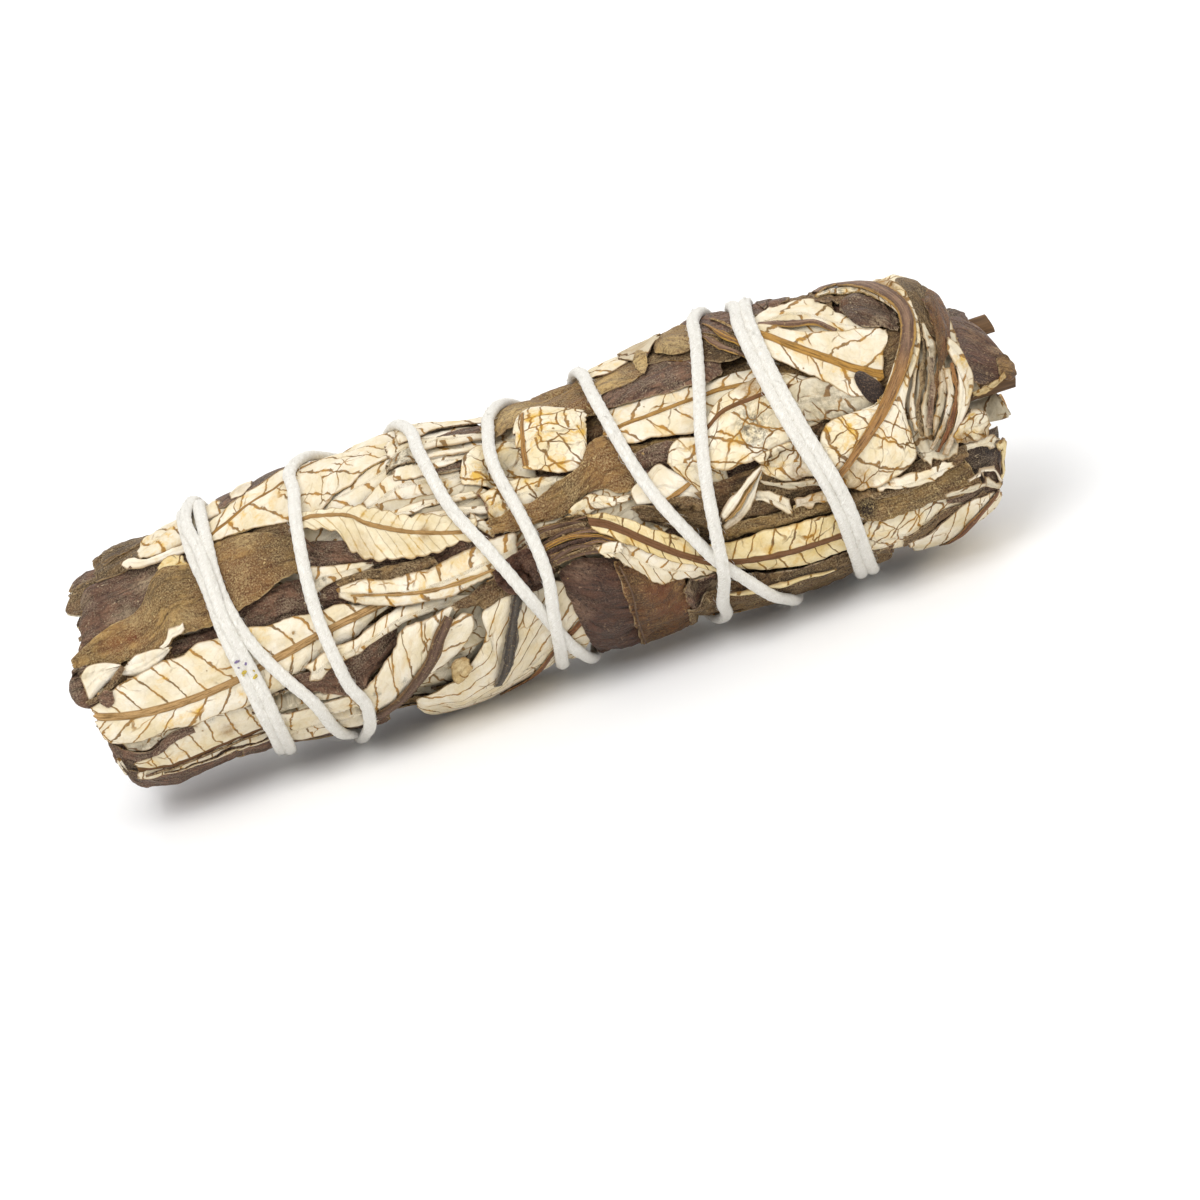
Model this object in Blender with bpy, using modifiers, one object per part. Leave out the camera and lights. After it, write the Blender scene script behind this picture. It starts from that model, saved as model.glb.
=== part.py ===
"""A smudge stick: dried leaves packed round a few cut stems and bound with one cotton string.

The bundle lies along X on a table at z = 0, its folded tip at +X. Every leaf is laid out as on a
drawing of the bundle seen from the front and a little above: (along, height, above, below) are
millimetres along the stick, height of the midrib over the bundle's axis in that front view, and
the widths of the blade on the two sides of the midrib, measured on the round surface. Leaves are
stacked from the stems outwards, each one resting on those laid before it.
"""

import math

import bpy
import numpy as np

MM = 0.001
AXIS_HEIGHT = 15.1  # of the bundle's middle over the table
MIDDLE = 50.3  # along the stick, where x = 0
AXIS_Y = -0.72  # puts the whole bundle's middle at y = 0
FRONT_TILT = math.radians(22)  # the layout is seen from this far above the table
UNROLLED_RADIUS = 13.5  # turns widths on the round surface into angles
GAP = 0.3  # between pieces that lie on each other
STRING_DIAMETER = 1.45
STRING_PITCH = 4.3
COVER_THICKNESS = 0.5
UNDER_THICKNESS = 0.6
INNER_THICKNESS = 0.9
LAYER = 0.9  # how much deeper each level of leaves lies under the outline
TABLE_BAND = 0.6  # a resting leaf is pressed flat where it comes this near to the table
CORE_RADIUS = 4.9  # of the first leaves round the stems
SECOND_RADIUS = 6.9  # of the leaves round those
UNDER_DEPTH = 4.9  # of the dark leaves below the outline
WAVE = 0.35  # how far a wrapped leaf's section waves in and out
SLANT = 0.9  # how far a wrapped leaf's ends slant
LEAF_SEGMENT = 4.6  # length of leaf to each row of its grid
BROAD_COLUMNS = 7  # across the broad leaf that the bundle rests on
BACK_SHARPNESS = 0.6  # lower makes a hidden leaf's ends blunter

# along, radius of the outline, and how far its centre sits above the axis
OUTLINE = (
    (-2, 11.6, -0.8),
    (2, 12.2, -0.6),
    (6, 12.8, -0.6),
    (14, 12.7, 0.0),
    (20, 13.6, 0.2),
    (26, 14.4, 0.3),
    (38, 15.5, 0.0),
    (48, 13.5, 0.0),
    (54, 14.3, -0.3),
    (62, 14.5, 0.4),
    (72, 15.9, 0.5),
    (84, 14.9, 0.3),
    (93, 14.2, 0.2),
    (96, 12.4, 0.0),
    (98.5, 9.0, 0.2),
    (103, 5.2, 0.6),
)

FINISHES = {  # colour, roughness
    "cream": ((0.80, 0.71, 0.54), 0.85),
    "olive": ((0.23, 0.17, 0.08), 0.80),
    "dark": ((0.085, 0.045, 0.030), 0.55),
    "inner": ((0.42, 0.34, 0.20), 0.85),
    "leaf": ((0.050, 0.038, 0.032), 0.60),
    "stem": ((0.30, 0.19, 0.10), 0.80),
    "string": ((0.90, 0.88, 0.83), 0.90),
}

# Outer radius filled so far, in cells of 0.5 mm along and 2 degrees round.
CELL_ALONG = 0.5
CELL_TURN = math.radians(2)
FIRST_ALONG = -6.0
filled = np.zeros((232, 180))


def start_scene():
    for thing in list(bpy.data.objects):
        bpy.data.objects.remove(thing, do_unlink=True)
    collection = bpy.data.collections.new("smudge_stick")
    bpy.context.scene.collection.children.link(collection)
    return collection


def finish_for(name):
    kind = name.split("_")[0]
    material = bpy.data.materials.get(kind)
    if material is None:
        colour, roughness = FINISHES[kind]
        material = bpy.data.materials.new(kind)
        material.use_nodes = True
        shader = material.node_tree.nodes["Principled BSDF"]
        shader.inputs["Base Color"].default_value = (*colour, 1)
        shader.inputs["Roughness"].default_value = roughness
        shader.inputs["Metallic"].default_value = 0
    return material


def outline_at(along):
    stations = np.array(OUTLINE, float)
    radius = np.interp(along, stations[:, 0], stations[:, 1])
    centre = np.interp(along, stations[:, 0], stations[:, 2])
    return radius, centre


def turn_of(along, height):
    """Angle round the axis, 0 at -Y and 90 degrees at the top, of a point of the front view.

    A height past the outline carries on round the back, as a length on the surface.
    """
    radius, centre = outline_at(along)
    share = (np.asarray(height, float) - centre) / radius
    inside = np.arcsin(np.clip(share, -1, 1))
    past = np.sign(share) * np.maximum(np.abs(share) - 1, 0)
    return FRONT_TILT + inside + past


def reach_of(along, turn):
    """Outer radius of the bundle, cut off by the table it lies on."""
    radius, centre = outline_at(along)
    round_reach = radius + centre * np.sin(turn - FRONT_TILT)
    downwards = np.maximum(-np.sin(turn), 1e-3)
    return np.minimum(round_reach, AXIS_HEIGHT / downwards)


def place(along, turn, radius):
    """World position in metres."""
    x = along - MIDDLE
    y = AXIS_Y - radius * np.cos(turn)
    z = AXIS_HEIGHT + radius * np.sin(turn)
    return np.stack([x, y, z], axis=-1) * MM


def cells_of(points):
    """Cell indices and radius of world points in millimetres."""
    along = points[..., 0] + MIDDLE
    back = points[..., 1] - AXIS_Y
    up = points[..., 2] - AXIS_HEIGHT
    radius = np.hypot(back, up)
    turn = np.arctan2(up, -back) % (2 * math.pi)
    row = np.clip(((along - FIRST_ALONG) / CELL_ALONG).astype(int), 1, filled.shape[0] - 2)
    column = (turn / CELL_TURN).astype(int) % filled.shape[1]
    return row, column, radius


def triangle_samples(count):
    """Weights of points spread evenly over a triangle."""
    weights = []
    for i in range(count + 1):
        for j in range(count + 1 - i):
            weights.append((i / count, j / count, (count - i - j) / count))
    return np.array(weights)


FINE = triangle_samples(10)
COARSE = triangle_samples(6)
SETTLE_ROUNDS = 60
SETTLED = 0.005
LIFT_SHARE = 0.8  # of a low spot's depth made good in each round


def fill_under(thing):
    """Marks the space under an object's outer surface as taken."""
    graph = bpy.context.evaluated_depsgraph_get()
    evaluated = thing.evaluated_get(graph)
    mesh = evaluated.to_mesh()
    mesh.calc_loop_triangles()
    corners = np.array([v.co for v in mesh.vertices]) / MM
    faces = np.array([t.vertices for t in mesh.loop_triangles])
    evaluated.to_mesh_clear()
    points = np.einsum("wk,fkc->fwc", FINE, corners[faces]).reshape(-1, 3)
    row, column, radius = cells_of(points)
    for i in (-1, 0, 1):
        for j in (-1, 0, 1):
            np.maximum.at(filled, (row + i, (column + j) % filled.shape[1]), radius)


def curve_through(points, count):
    """Points spread evenly along a smooth curve through the given ones."""
    points = np.array(points, float)
    padded = np.vstack([2 * points[0] - points[1], points, 2 * points[-1] - points[-2]])
    fine = []
    for a, b, c, d in zip(padded, padded[1:], padded[2:], padded[3:]):
        for t in np.linspace(0, 1, 16, endpoint=False):
            fine.append(
                0.5
                * (
                    2 * b
                    + (c - a) * t
                    + (2 * a - 5 * b + 4 * c - d) * t**2
                    + (3 * b - a - 3 * c + d) * t**3
                )
            )
    fine.append(points[-1])
    fine = np.array(fine)
    steps = np.hypot(*np.diff(fine[:, :2], axis=0).T)
    travelled = np.concatenate([[0], np.cumsum(steps)])
    wanted = np.linspace(0, travelled[-1], count)
    return np.stack([np.interp(wanted, travelled, column) for column in fine.T], axis=1)


def blade_grid(stations, rows, columns):
    """Places along and turns of a leaf's grid, from its midrib and the widths on its two sides."""
    layout = np.array(stations, float)
    layout[:, 1] = turn_of(layout[:, 0], layout[:, 1]) * UNROLLED_RADIUS
    line = curve_through(layout, rows)
    slope = np.gradient(line[:, :2], axis=0)
    slope /= np.linalg.norm(slope, axis=1)[:, None]
    across = np.stack([-slope[:, 1], slope[:, 0]], axis=1)
    share = np.linspace(-1, 1, columns)
    width = np.where(share[None] > 0, line[:, 2:3], line[:, 3:4]) * share[None]
    grid = line[:, None, :2] + across[:, None] * width[..., None]
    return grid[..., 0], grid[..., 1] / UNROLLED_RADIUS


def settle(along, turn, radius):
    """Raises a sheet's grid until no part of it dips into what is already packed."""
    rows, columns = along.shape
    index = np.arange(rows * columns).reshape(rows, columns)
    a, b, c, d = index[:-1, :-1], index[1:, :-1], index[1:, 1:], index[:-1, 1:]
    # a cell may be split along either diagonal, so both are tested
    threes = ((a, b, c), (a, c, d), (a, b, d), (b, c, d))
    faces = np.concatenate([np.stack(three, axis=-1).reshape(-1, 3) for three in threes])
    for attempt in range(SETTLE_ROUNDS):
        corners = place(along, turn, radius).reshape(-1, 3) / MM
        points = np.einsum("wk,fkc->fwc", COARSE, corners[faces])
        row, column, reached = cells_of(points)
        short = np.maximum(filled[row, column] + GAP - reached, 0)
        if short.max() < SETTLED:
            break
        # each low spot lifts its triangle's corners by their share in it
        share = COARSE / (COARSE**2).sum(axis=1)[:, None]
        lift = np.zeros(rows * columns)
        np.maximum.at(lift, faces, (short[:, :, None] * share[None]).max(axis=1) * LIFT_SHARE)
        radius = radius + lift.reshape(rows, columns)
    return radius


def even_out(radius):
    """Bridges small hollows, as a stiff dry leaf does."""
    padded = np.pad(radius, 1, mode="edge")
    around = (padded[:-2, 1:-1] + padded[2:, 1:-1] + padded[1:-1, :-2] + padded[1:-1, 2:]) / 4
    return np.maximum(radius, (radius + around) / 2)


def sheet(collection, name, along, turn, radius, thickness, rests=False):
    """One leaf as an open sheet, thickened outwards."""
    radius = settle(along, turn, radius)
    radius = settle(along, turn, even_out(radius))
    rows, columns = along.shape
    corners = place(along, turn, radius).reshape(-1, 3)
    faces = []
    for i in range(rows - 1):
        for j in range(columns - 1):
            start = i * columns + j
            faces.append((start, start + columns, start + columns + 1, start + 1))
    mesh = bpy.data.meshes.new(name)
    mesh.from_pydata(corners.tolist(), [], faces)
    mesh.update()
    thing = bpy.data.objects.new(name, mesh)
    collection.objects.link(thing)
    middle = mesh.polygons[len(mesh.polygons) // 2]
    back = middle.center.y - AXIS_Y * MM
    up = middle.center.z - AXIS_HEIGHT * MM
    if back * middle.normal.y + up * middle.normal.z < 0:
        mesh.flip_normals()
    solidify = thing.modifiers.new("thickness", "SOLIDIFY")
    solidify.thickness = thickness * MM
    solidify.offset = 1
    solidify.use_even_offset = False
    bpy.context.view_layer.update()
    if rests:
        press_flat(thing)
    mesh.materials.append(finish_for(name))
    bpy.context.view_layer.update()
    fill_under(thing)
    return thing


def press_flat(thing):
    """Makes the thickness real and flattens the leaf where it lies on the table."""
    graph = bpy.context.evaluated_depsgraph_get()
    count = len(thing.data.vertices)
    thick = bpy.data.meshes.new_from_object(thing.evaluated_get(graph))
    thing.modifiers.clear()
    thing.data = thick
    for i in range(count):
        pair = (thick.vertices[i], thick.vertices[i + count])
        lower, upper = sorted(pair, key=lambda vertex: vertex.co.z)
        if lower.co.z < TABLE_BAND * MM:
            lower.co.z = 0
            upper.co.z = max(upper.co.z, COVER_THICKNESS * MM)


def leaf(collection, name, level, *stations, rests=False):
    """A cover leaf whose outer face lies level layers under the outline, from its foot to its tip."""
    line = np.array(stations, float)
    length = np.hypot(*np.diff(line[:, :2], axis=0).T).sum()
    widest = (line[:, 2] + line[:, 3]).max()
    rows = int(np.clip(round(length / LEAF_SEGMENT) + 1, 4, 9))
    columns = 3 if widest < 5.5 else 4 if widest < 9 else 6
    along, turn = blade_grid(stations, rows, columns)
    depth = np.linspace(*level, rows)[:, None] * LAYER
    radius = reach_of(along, turn) - depth - COVER_THICKNESS
    return sheet(collection, name, along, turn, radius, COVER_THICKNESS, rests)


def broad_leaf(collection, name, level, *edges, rests=False):
    """A cover leaf given by its lower and upper edges in the front view, two points to a row."""
    edges = np.array(edges, float)
    share = np.linspace(0, 1, BROAD_COLUMNS)[None]
    low = turn_of(edges[:, 0], edges[:, 1])[:, None]
    high = turn_of(edges[:, 2], edges[:, 3])[:, None]
    along = edges[:, 0:1] * (1 - share) + edges[:, 2:3] * share
    turn = low * (1 - share) + high * share
    depth = np.linspace(*level, len(edges))[:, None] * LAYER
    radius = reach_of(along, turn) - depth - COVER_THICKNESS
    return sheet(collection, name, along, turn, radius, COVER_THICKNESS, rests)


def back_leaf(collection, name, level, start, end, degrees, half_width, drift):
    """A cover leaf on the hidden side, given by its turn round the axis and how far it drifts."""
    share = np.linspace(0, 1, 8)
    shape = np.sin(np.pi * (0.08 + 0.84 * share)) ** BACK_SHARPNESS
    middle = np.radians(degrees + drift * (share - 0.5))
    spread = np.linspace(-1, 1, 4)[None] * (half_width * shape / UNROLLED_RADIUS)[:, None]
    along = np.repeat((start + (end - start) * share)[:, None], 4, axis=1)
    turn = middle[:, None] + spread
    radius = reach_of(along, turn) - level * LAYER - COVER_THICKNESS
    return sheet(collection, name, along, turn, radius, COVER_THICKNESS)


def wrap_leaf(collection, name, start, end, degrees, half_turn, depth, thickness, rows, columns):
    """A leaf rolled round what is inside it, with a wavy section and slanting ends."""
    turns = np.radians(np.linspace(degrees - half_turn, degrees + half_turn, columns))
    share = np.linspace(0, 1, rows)
    along, turn = np.meshgrid(share, turns, indexing="ij")
    along = start + (end - start) * along + SLANT * np.sin(2.3 * turn + degrees)
    radius = depth(along, turn) + WAVE * np.sin(3 * turn + degrees) - thickness
    return sheet(collection, name, along, turn, radius, thickness)


def inner_leaf(collection, number, radius, start, end, degrees, half_turn):
    name = f"inner_leaf_{number}"
    depth = lambda s, a: radius + 0 * s
    wrap_leaf(collection, name, start, end, degrees, half_turn, depth, INNER_THICKNESS, 3, 8)


def under_leaf(collection, number, start, end, degrees):
    name = f"dark_under_leaf_{number}"
    depth = lambda s, a: reach_of(s, a) - UNDER_DEPTH
    wrap_leaf(collection, name, start, end, degrees, 50, depth, UNDER_THICKNESS, 7, 6)


def stem(collection, name, start, end, degrees, radius, from_axis=None):
    """A cut stem, lying at the given distance from the axis or on what is packed there."""
    turn = math.radians(degrees)
    if from_axis is None:
        column = int(turn % (2 * math.pi) / CELL_TURN)
        span = int(math.degrees(radius / 6) / 2) + 2
        around = [(column + k) % filled.shape[1] for k in range(-span, span + 1)]
        from_axis = filled[:, around].max() + GAP + radius
    centre = place((start + end) / 2, turn, from_axis)
    bpy.ops.mesh.primitive_cylinder_add(
        vertices=10,
        radius=radius * MM,
        depth=(end - start) * MM,
        location=centre,
        rotation=(0, math.pi / 2, 0),
    )
    thing = bpy.context.object
    thing.name = name
    thing.data.name = name
    bpy.ops.object.transform_apply(location=True, rotation=True, scale=True)
    for owner in list(thing.users_collection):
        owner.objects.unlink(thing)
    collection.objects.link(thing)
    thing.data.materials.append(finish_for(name))
    thing.data.shade_smooth()
    thing.data.set_sharp_from_angle(angle=math.radians(50))
    bpy.context.view_layer.update()
    fill_under(thing)
    return thing


# The string runs down the front of the bundle and up behind it. Each row is one pass over the
# front, from the top edge to the bottom edge, as (along, height).
STRING_PASSES = (
    ((14.7, 12.6), (14.5, 9), (14.9, 5), (15.0, 0), (15.6, -5), (16.4, -10), (17.0, -12.8)),
    (
        (17.8, 13.2), (17.0, 9), (16.9, 5), (17.3, 1.5), (18.9, -3), (20.6, -7), (22.6, -10),
        (25.6, -14),
    ),
    (
        (38.9, 15.4), (40.3, 12), (40.8, 9), (41.7, 5), (43.9, 0), (46.7, -6), (48.2, -10),
        (49.8, -13), (51.4, -17),
    ),
    (
        (58.4, 14.6), (59.3, 12), (60.5, 6), (62.3, 0), (64.5, -5), (66.6, -8.8), (68.8, -11.4),
        (71, -14), (73.2, -18),
    ),
    (
        (76.2, 16.2), (76.1, 14), (76.6, 10), (77.6, 5), (78.4, 0), (79.4, -4), (80.1, -8),
        (80.4, -13.5), (80.2, -18), (79.6, -22),
    ),
    (
        (78.2, 16), (77.7, 14), (78.1, 10), (79.0, 5), (79.8, 0), (80.8, -4), (81.6, -8),
        (82.0, -13.5), (82, -18), (81.3, -22),
    ),
    (
        (72.3, 16.3), (71.6, 14), (69.8, 8.5), (69, 5), (67.7, -0.5), (67, -6), (66.5, -10),
        (65.4, -13), (64.2, -17),
    ),
    (
        (49.3, 13.4), (48.2, 12), (47.2, 8.5), (48.3, 3), (49, -1.5), (49.1, -5), (48.4, -8.5),
        (47.8, -13), (47.8, -17), (47.4, -21), (46.6, -25),
    ),
    ((28.3, 14.6), (26.6, 12.5), (25.6, 5), (24.9, 0), (25.3, -4), (26, -9), (26.4, -13.6)),
    ((16.2, 13), (15.9, 9), (16.2, 5), (16.4, 0), (17.1, -5), (17.9, -10), (18.6, -13)),
)


LAP_SAMPLES = 92
TAIL_TURN = 0.9  # the string's end is tucked this far round after its last pass
BARE_ROUNDS = 40  # of pulling taut over the leaves
CROSSING_ROUNDS = 12  # of pulling taut where it crosses itself
STRING_CLEARANCE = 0.06  # more than its width between two crossing strands
STRING_GAP = 0.4  # over the leaves, and made up by the bends between its points


def string_route():
    """(along, turn) points through all passes; the turn only ever goes down."""
    points = []
    for lap, stations in enumerate(STRING_PASSES):
        for along, height in stations:
            turn = float(turn_of(along, height)) - 2 * math.pi * lap
            points.append((along, turn * UNROLLED_RADIUS))
    last_along, last_turn = points[-1]
    points.append((last_along - 0.4, last_turn - TAIL_TURN * UNROLLED_RADIUS))
    dense = curve_through(points, 1 + len(STRING_PASSES) * LAP_SAMPLES)
    return dense[:, 0], dense[:, 1] / UNROLLED_RADIUS


def string_contact(along, turn):
    """Lowest radius that clears the leaves within the string's own width."""
    half = STRING_DIAMETER / 2
    most = np.zeros(len(along))
    for off_along in (-half, 0, half):
        for off_turn in (-half, 0, half):
            points = place(along + off_along, turn + off_turn / UNROLLED_RADIUS, 10.0) / MM
            row, column, _ = cells_of(points)
            most = np.maximum(most, filled[row, column])
    return most + STRING_GAP + half


def pull_taut(along, turn, floor, radius, rounds):
    """Straightens the string between the places where it bears on something."""
    for attempt in range(rounds):
        points = place(along, turn, radius) / MM
        middle = (points[:-2] + points[2:]) / 2
        chord = np.hypot(middle[:, 1] - AXIS_Y, middle[:, 2] - AXIS_HEIGHT)
        radius[1:-1] = np.maximum(floor[1:-1], chord)
    return radius


def cotton_string(collection):
    along, turn = string_route()
    bare = string_contact(along, turn)
    radius = pull_taut(along, turn, bare, bare.copy(), BARE_ROUNDS)
    places = np.stack([along, (turn % (2 * math.pi)) * UNROLLED_RADIUS], axis=1)
    apart = np.abs(places[:, None] - places[None])
    full = 2 * math.pi * UNROLLED_RADIUS
    apart[..., 1] = np.minimum(apart[..., 1], full - apart[..., 1])
    distance = np.hypot(apart[..., 0], apart[..., 1])
    order = np.arange(len(along))
    earlier = order[None] < order[:, None] - LAP_SAMPLES // 3
    for attempt in range(3):
        near = earlier & (distance < STRING_DIAMETER)
        rise = np.sqrt(np.maximum((STRING_DIAMETER + STRING_CLEARANCE) ** 2 - distance**2, 0))
        over = np.where(near, radius[None] + rise, 0).max(axis=1)
        floor = np.maximum(bare, over)
        radius = pull_taut(along, turn, floor, floor.copy(), CROSSING_ROUNDS)
    points = place(along, turn, radius)
    lengths = np.linalg.norm(np.diff(points, axis=0), axis=1)
    travelled = np.concatenate([[0], np.cumsum(lengths)])
    count = int(travelled[-1] / (STRING_PITCH * MM)) + 1
    wanted = np.linspace(0, travelled[-1], count)
    route = np.stack([np.interp(wanted, travelled, column) for column in points.T], axis=1)
    curve = bpy.data.curves.new("string", "CURVE")
    curve.dimensions = "3D"
    spline = curve.splines.new("POLY")
    spline.points.add(count - 1)
    for point, position in zip(spline.points, route):
        point.co = (*position, 1)
    curve.bevel_depth = STRING_DIAMETER / 2 * MM
    curve.bevel_resolution = 2
    curve.use_fill_caps = True
    thing = bpy.data.objects.new("string", curve)
    collection.objects.link(thing)
    curve.materials.append(finish_for("string"))
    return thing


def stems_and_inner_leaves(collection):
    stem(collection, "stem_1", 1.5, 102.0, 30, 1.35, from_axis=2.1)
    stem(collection, "stem_2", 0.6, 100.0, -50, 1.3, from_axis=2.3)
    inner_leaf(collection, 1, CORE_RADIUS, 0.8, 98.0, 100, 82)
    inner_leaf(collection, 2, CORE_RADIUS, 2.0, 97.2, 280, 80)
    stem(collection, "stem_3", 62.0, 101.2, 112, 1.15)
    inner_leaf(collection, 3, SECOND_RADIUS, 0.5, 96.6, 10, 70)
    inner_leaf(collection, 4, SECOND_RADIUS, 1.2, 96.0, 190, 58)


def under_leaves(collection):
    """Dark and olive faces that show in the gaps between the cover leaves."""
    under_leaf(collection, 1, 0.6, 95.0, 20)
    under_leaf(collection, 2, 1.5, 94.2, 112)
    under_leaf(collection, 3, 0.8, 95.6, 204)
    under_leaf(collection, 4, 1.8, 94.6, 292)
    back_leaf(collection, "dark_back_leaf_2", 3.0, 1.0, 48.0, 258, 6.5, 12)
    back_leaf(collection, "olive_back_leaf_2", 2.7, 43.0, 95.5, 258, 6.5, -14)


def left_leaves(collection):
    leaf(
        collection, "dark_leaf_01", (1.3, 1.3),
        (1.0, 5.4, 2.4, 2.8), (4, 6.3, 3.6, 3.6), (9, 7, 3.8, 4), (15, 7.6, 3.4, 3.6),
        (20, 8, 2.4, 2.4),
    )
    leaf(
        collection, "olive_leaf_01", (1, 1.4),
        (4.6, 11.2, 3, 1.2), (8, 11.8, 6, 3), (12, 12.0, 6.5, 3), (16, 12.2, 4, 1.5),
    )
    leaf(
        collection, "dark_leaf_02", (1.6, 1.8),
        (16, 12.2, 4, 0.8), (21, 12.9, 8, 2), (25, 13.4, 8, 2.4), (29.5, 14, 4, 1),
    )
    leaf(
        collection, "dark_leaf_03", (1.8, 2.4),
        (9, 0.2, 0.8, 0.9), (15, 0.4, 1.3, 1.3), (20, 1.2, 1.9, 1.5), (25, 1.3, 2.2, 1.7),
        (31, 1, 1.2, 1.4), (38, 0.9, 0.7, 1.2), (44, 1.4, 0.8, 1.2), (49, 1.8, 0.6, 0.8),
    )
    leaf(
        collection, "cream_leaf_01", (0.2, 0.6),
        (9.3, 10.1, 0.8, 0.6), (12, 11.0, 4, 1.8), (17, 12.0, 4.5, 2.4), (22, 13.0, 3, 2),
        (26, 14, 1.5, 1),
    )
    leaf(
        collection, "olive_leaf_02", (0, 0.4),
        (-0.3, 1.7, 0.6, 0.9), (4, 2.6, 1.8, 1.9), (9, 4, 2.4, 3), (13, 4.7, 3.6, 3.2),
        (19, 5.7, 4.2, 3.2), (23, 6.1, 3, 2.6), (26, 6, 1.2, 1.4),
    )
    leaf(
        collection, "cream_leaf_02", (0.4, 1.8),
        (16.5, 10.2, 0.8, 0.8), (20, 11.2, 3.2, 2.0), (25, 12, 7, 4.6), (30, 13, 9, 4.9),
        (35, 13.7, 9, 5.0), (40, 14, 7, 3), (45.5, 13.8, 2.5, 1.5),
    )
    leaf(
        collection, "dark_leaf_04", (1.3, 1.3),
        (1.3, -9.6, 1.2, 4), (3.4, -11.2, 1.8, 8), (7, -12, 1.8, 9), (11, -12.4, 1.8, 9),
        (14.3, -12.4, 1, 6), rests=True,
    )
    leaf(
        collection, "cream_leaf_03", (1, 1.2),
        (1.8, -10.9, 1.2, 0.5), (4, -11.3, 3.6, 0.7), (8, -11.5, 5, 0.9), (12, -11.3, 5, 1),
        (16, -11, 4.6, 1), (19.5, -10.9, 2, 0.7),
    )
    leaf(
        collection, "cream_leaf_04", (0, 1.6),
        (0.1, -4, 0.6, 1.2), (2, -4.7, 1.9, 3.1), (5, -5.3, 3.9, 3.2), (10, -5.5, 4.4, 3.0),
        (15, -5.1, 4.6, 3.2), (20, -4.3, 3.7, 2.8), (25, -3.3, 2.3, 2.3), (29.5, -2.6, 1.2, 1.4),
        (33, -2, 0.4, 0.5),
    )


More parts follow.
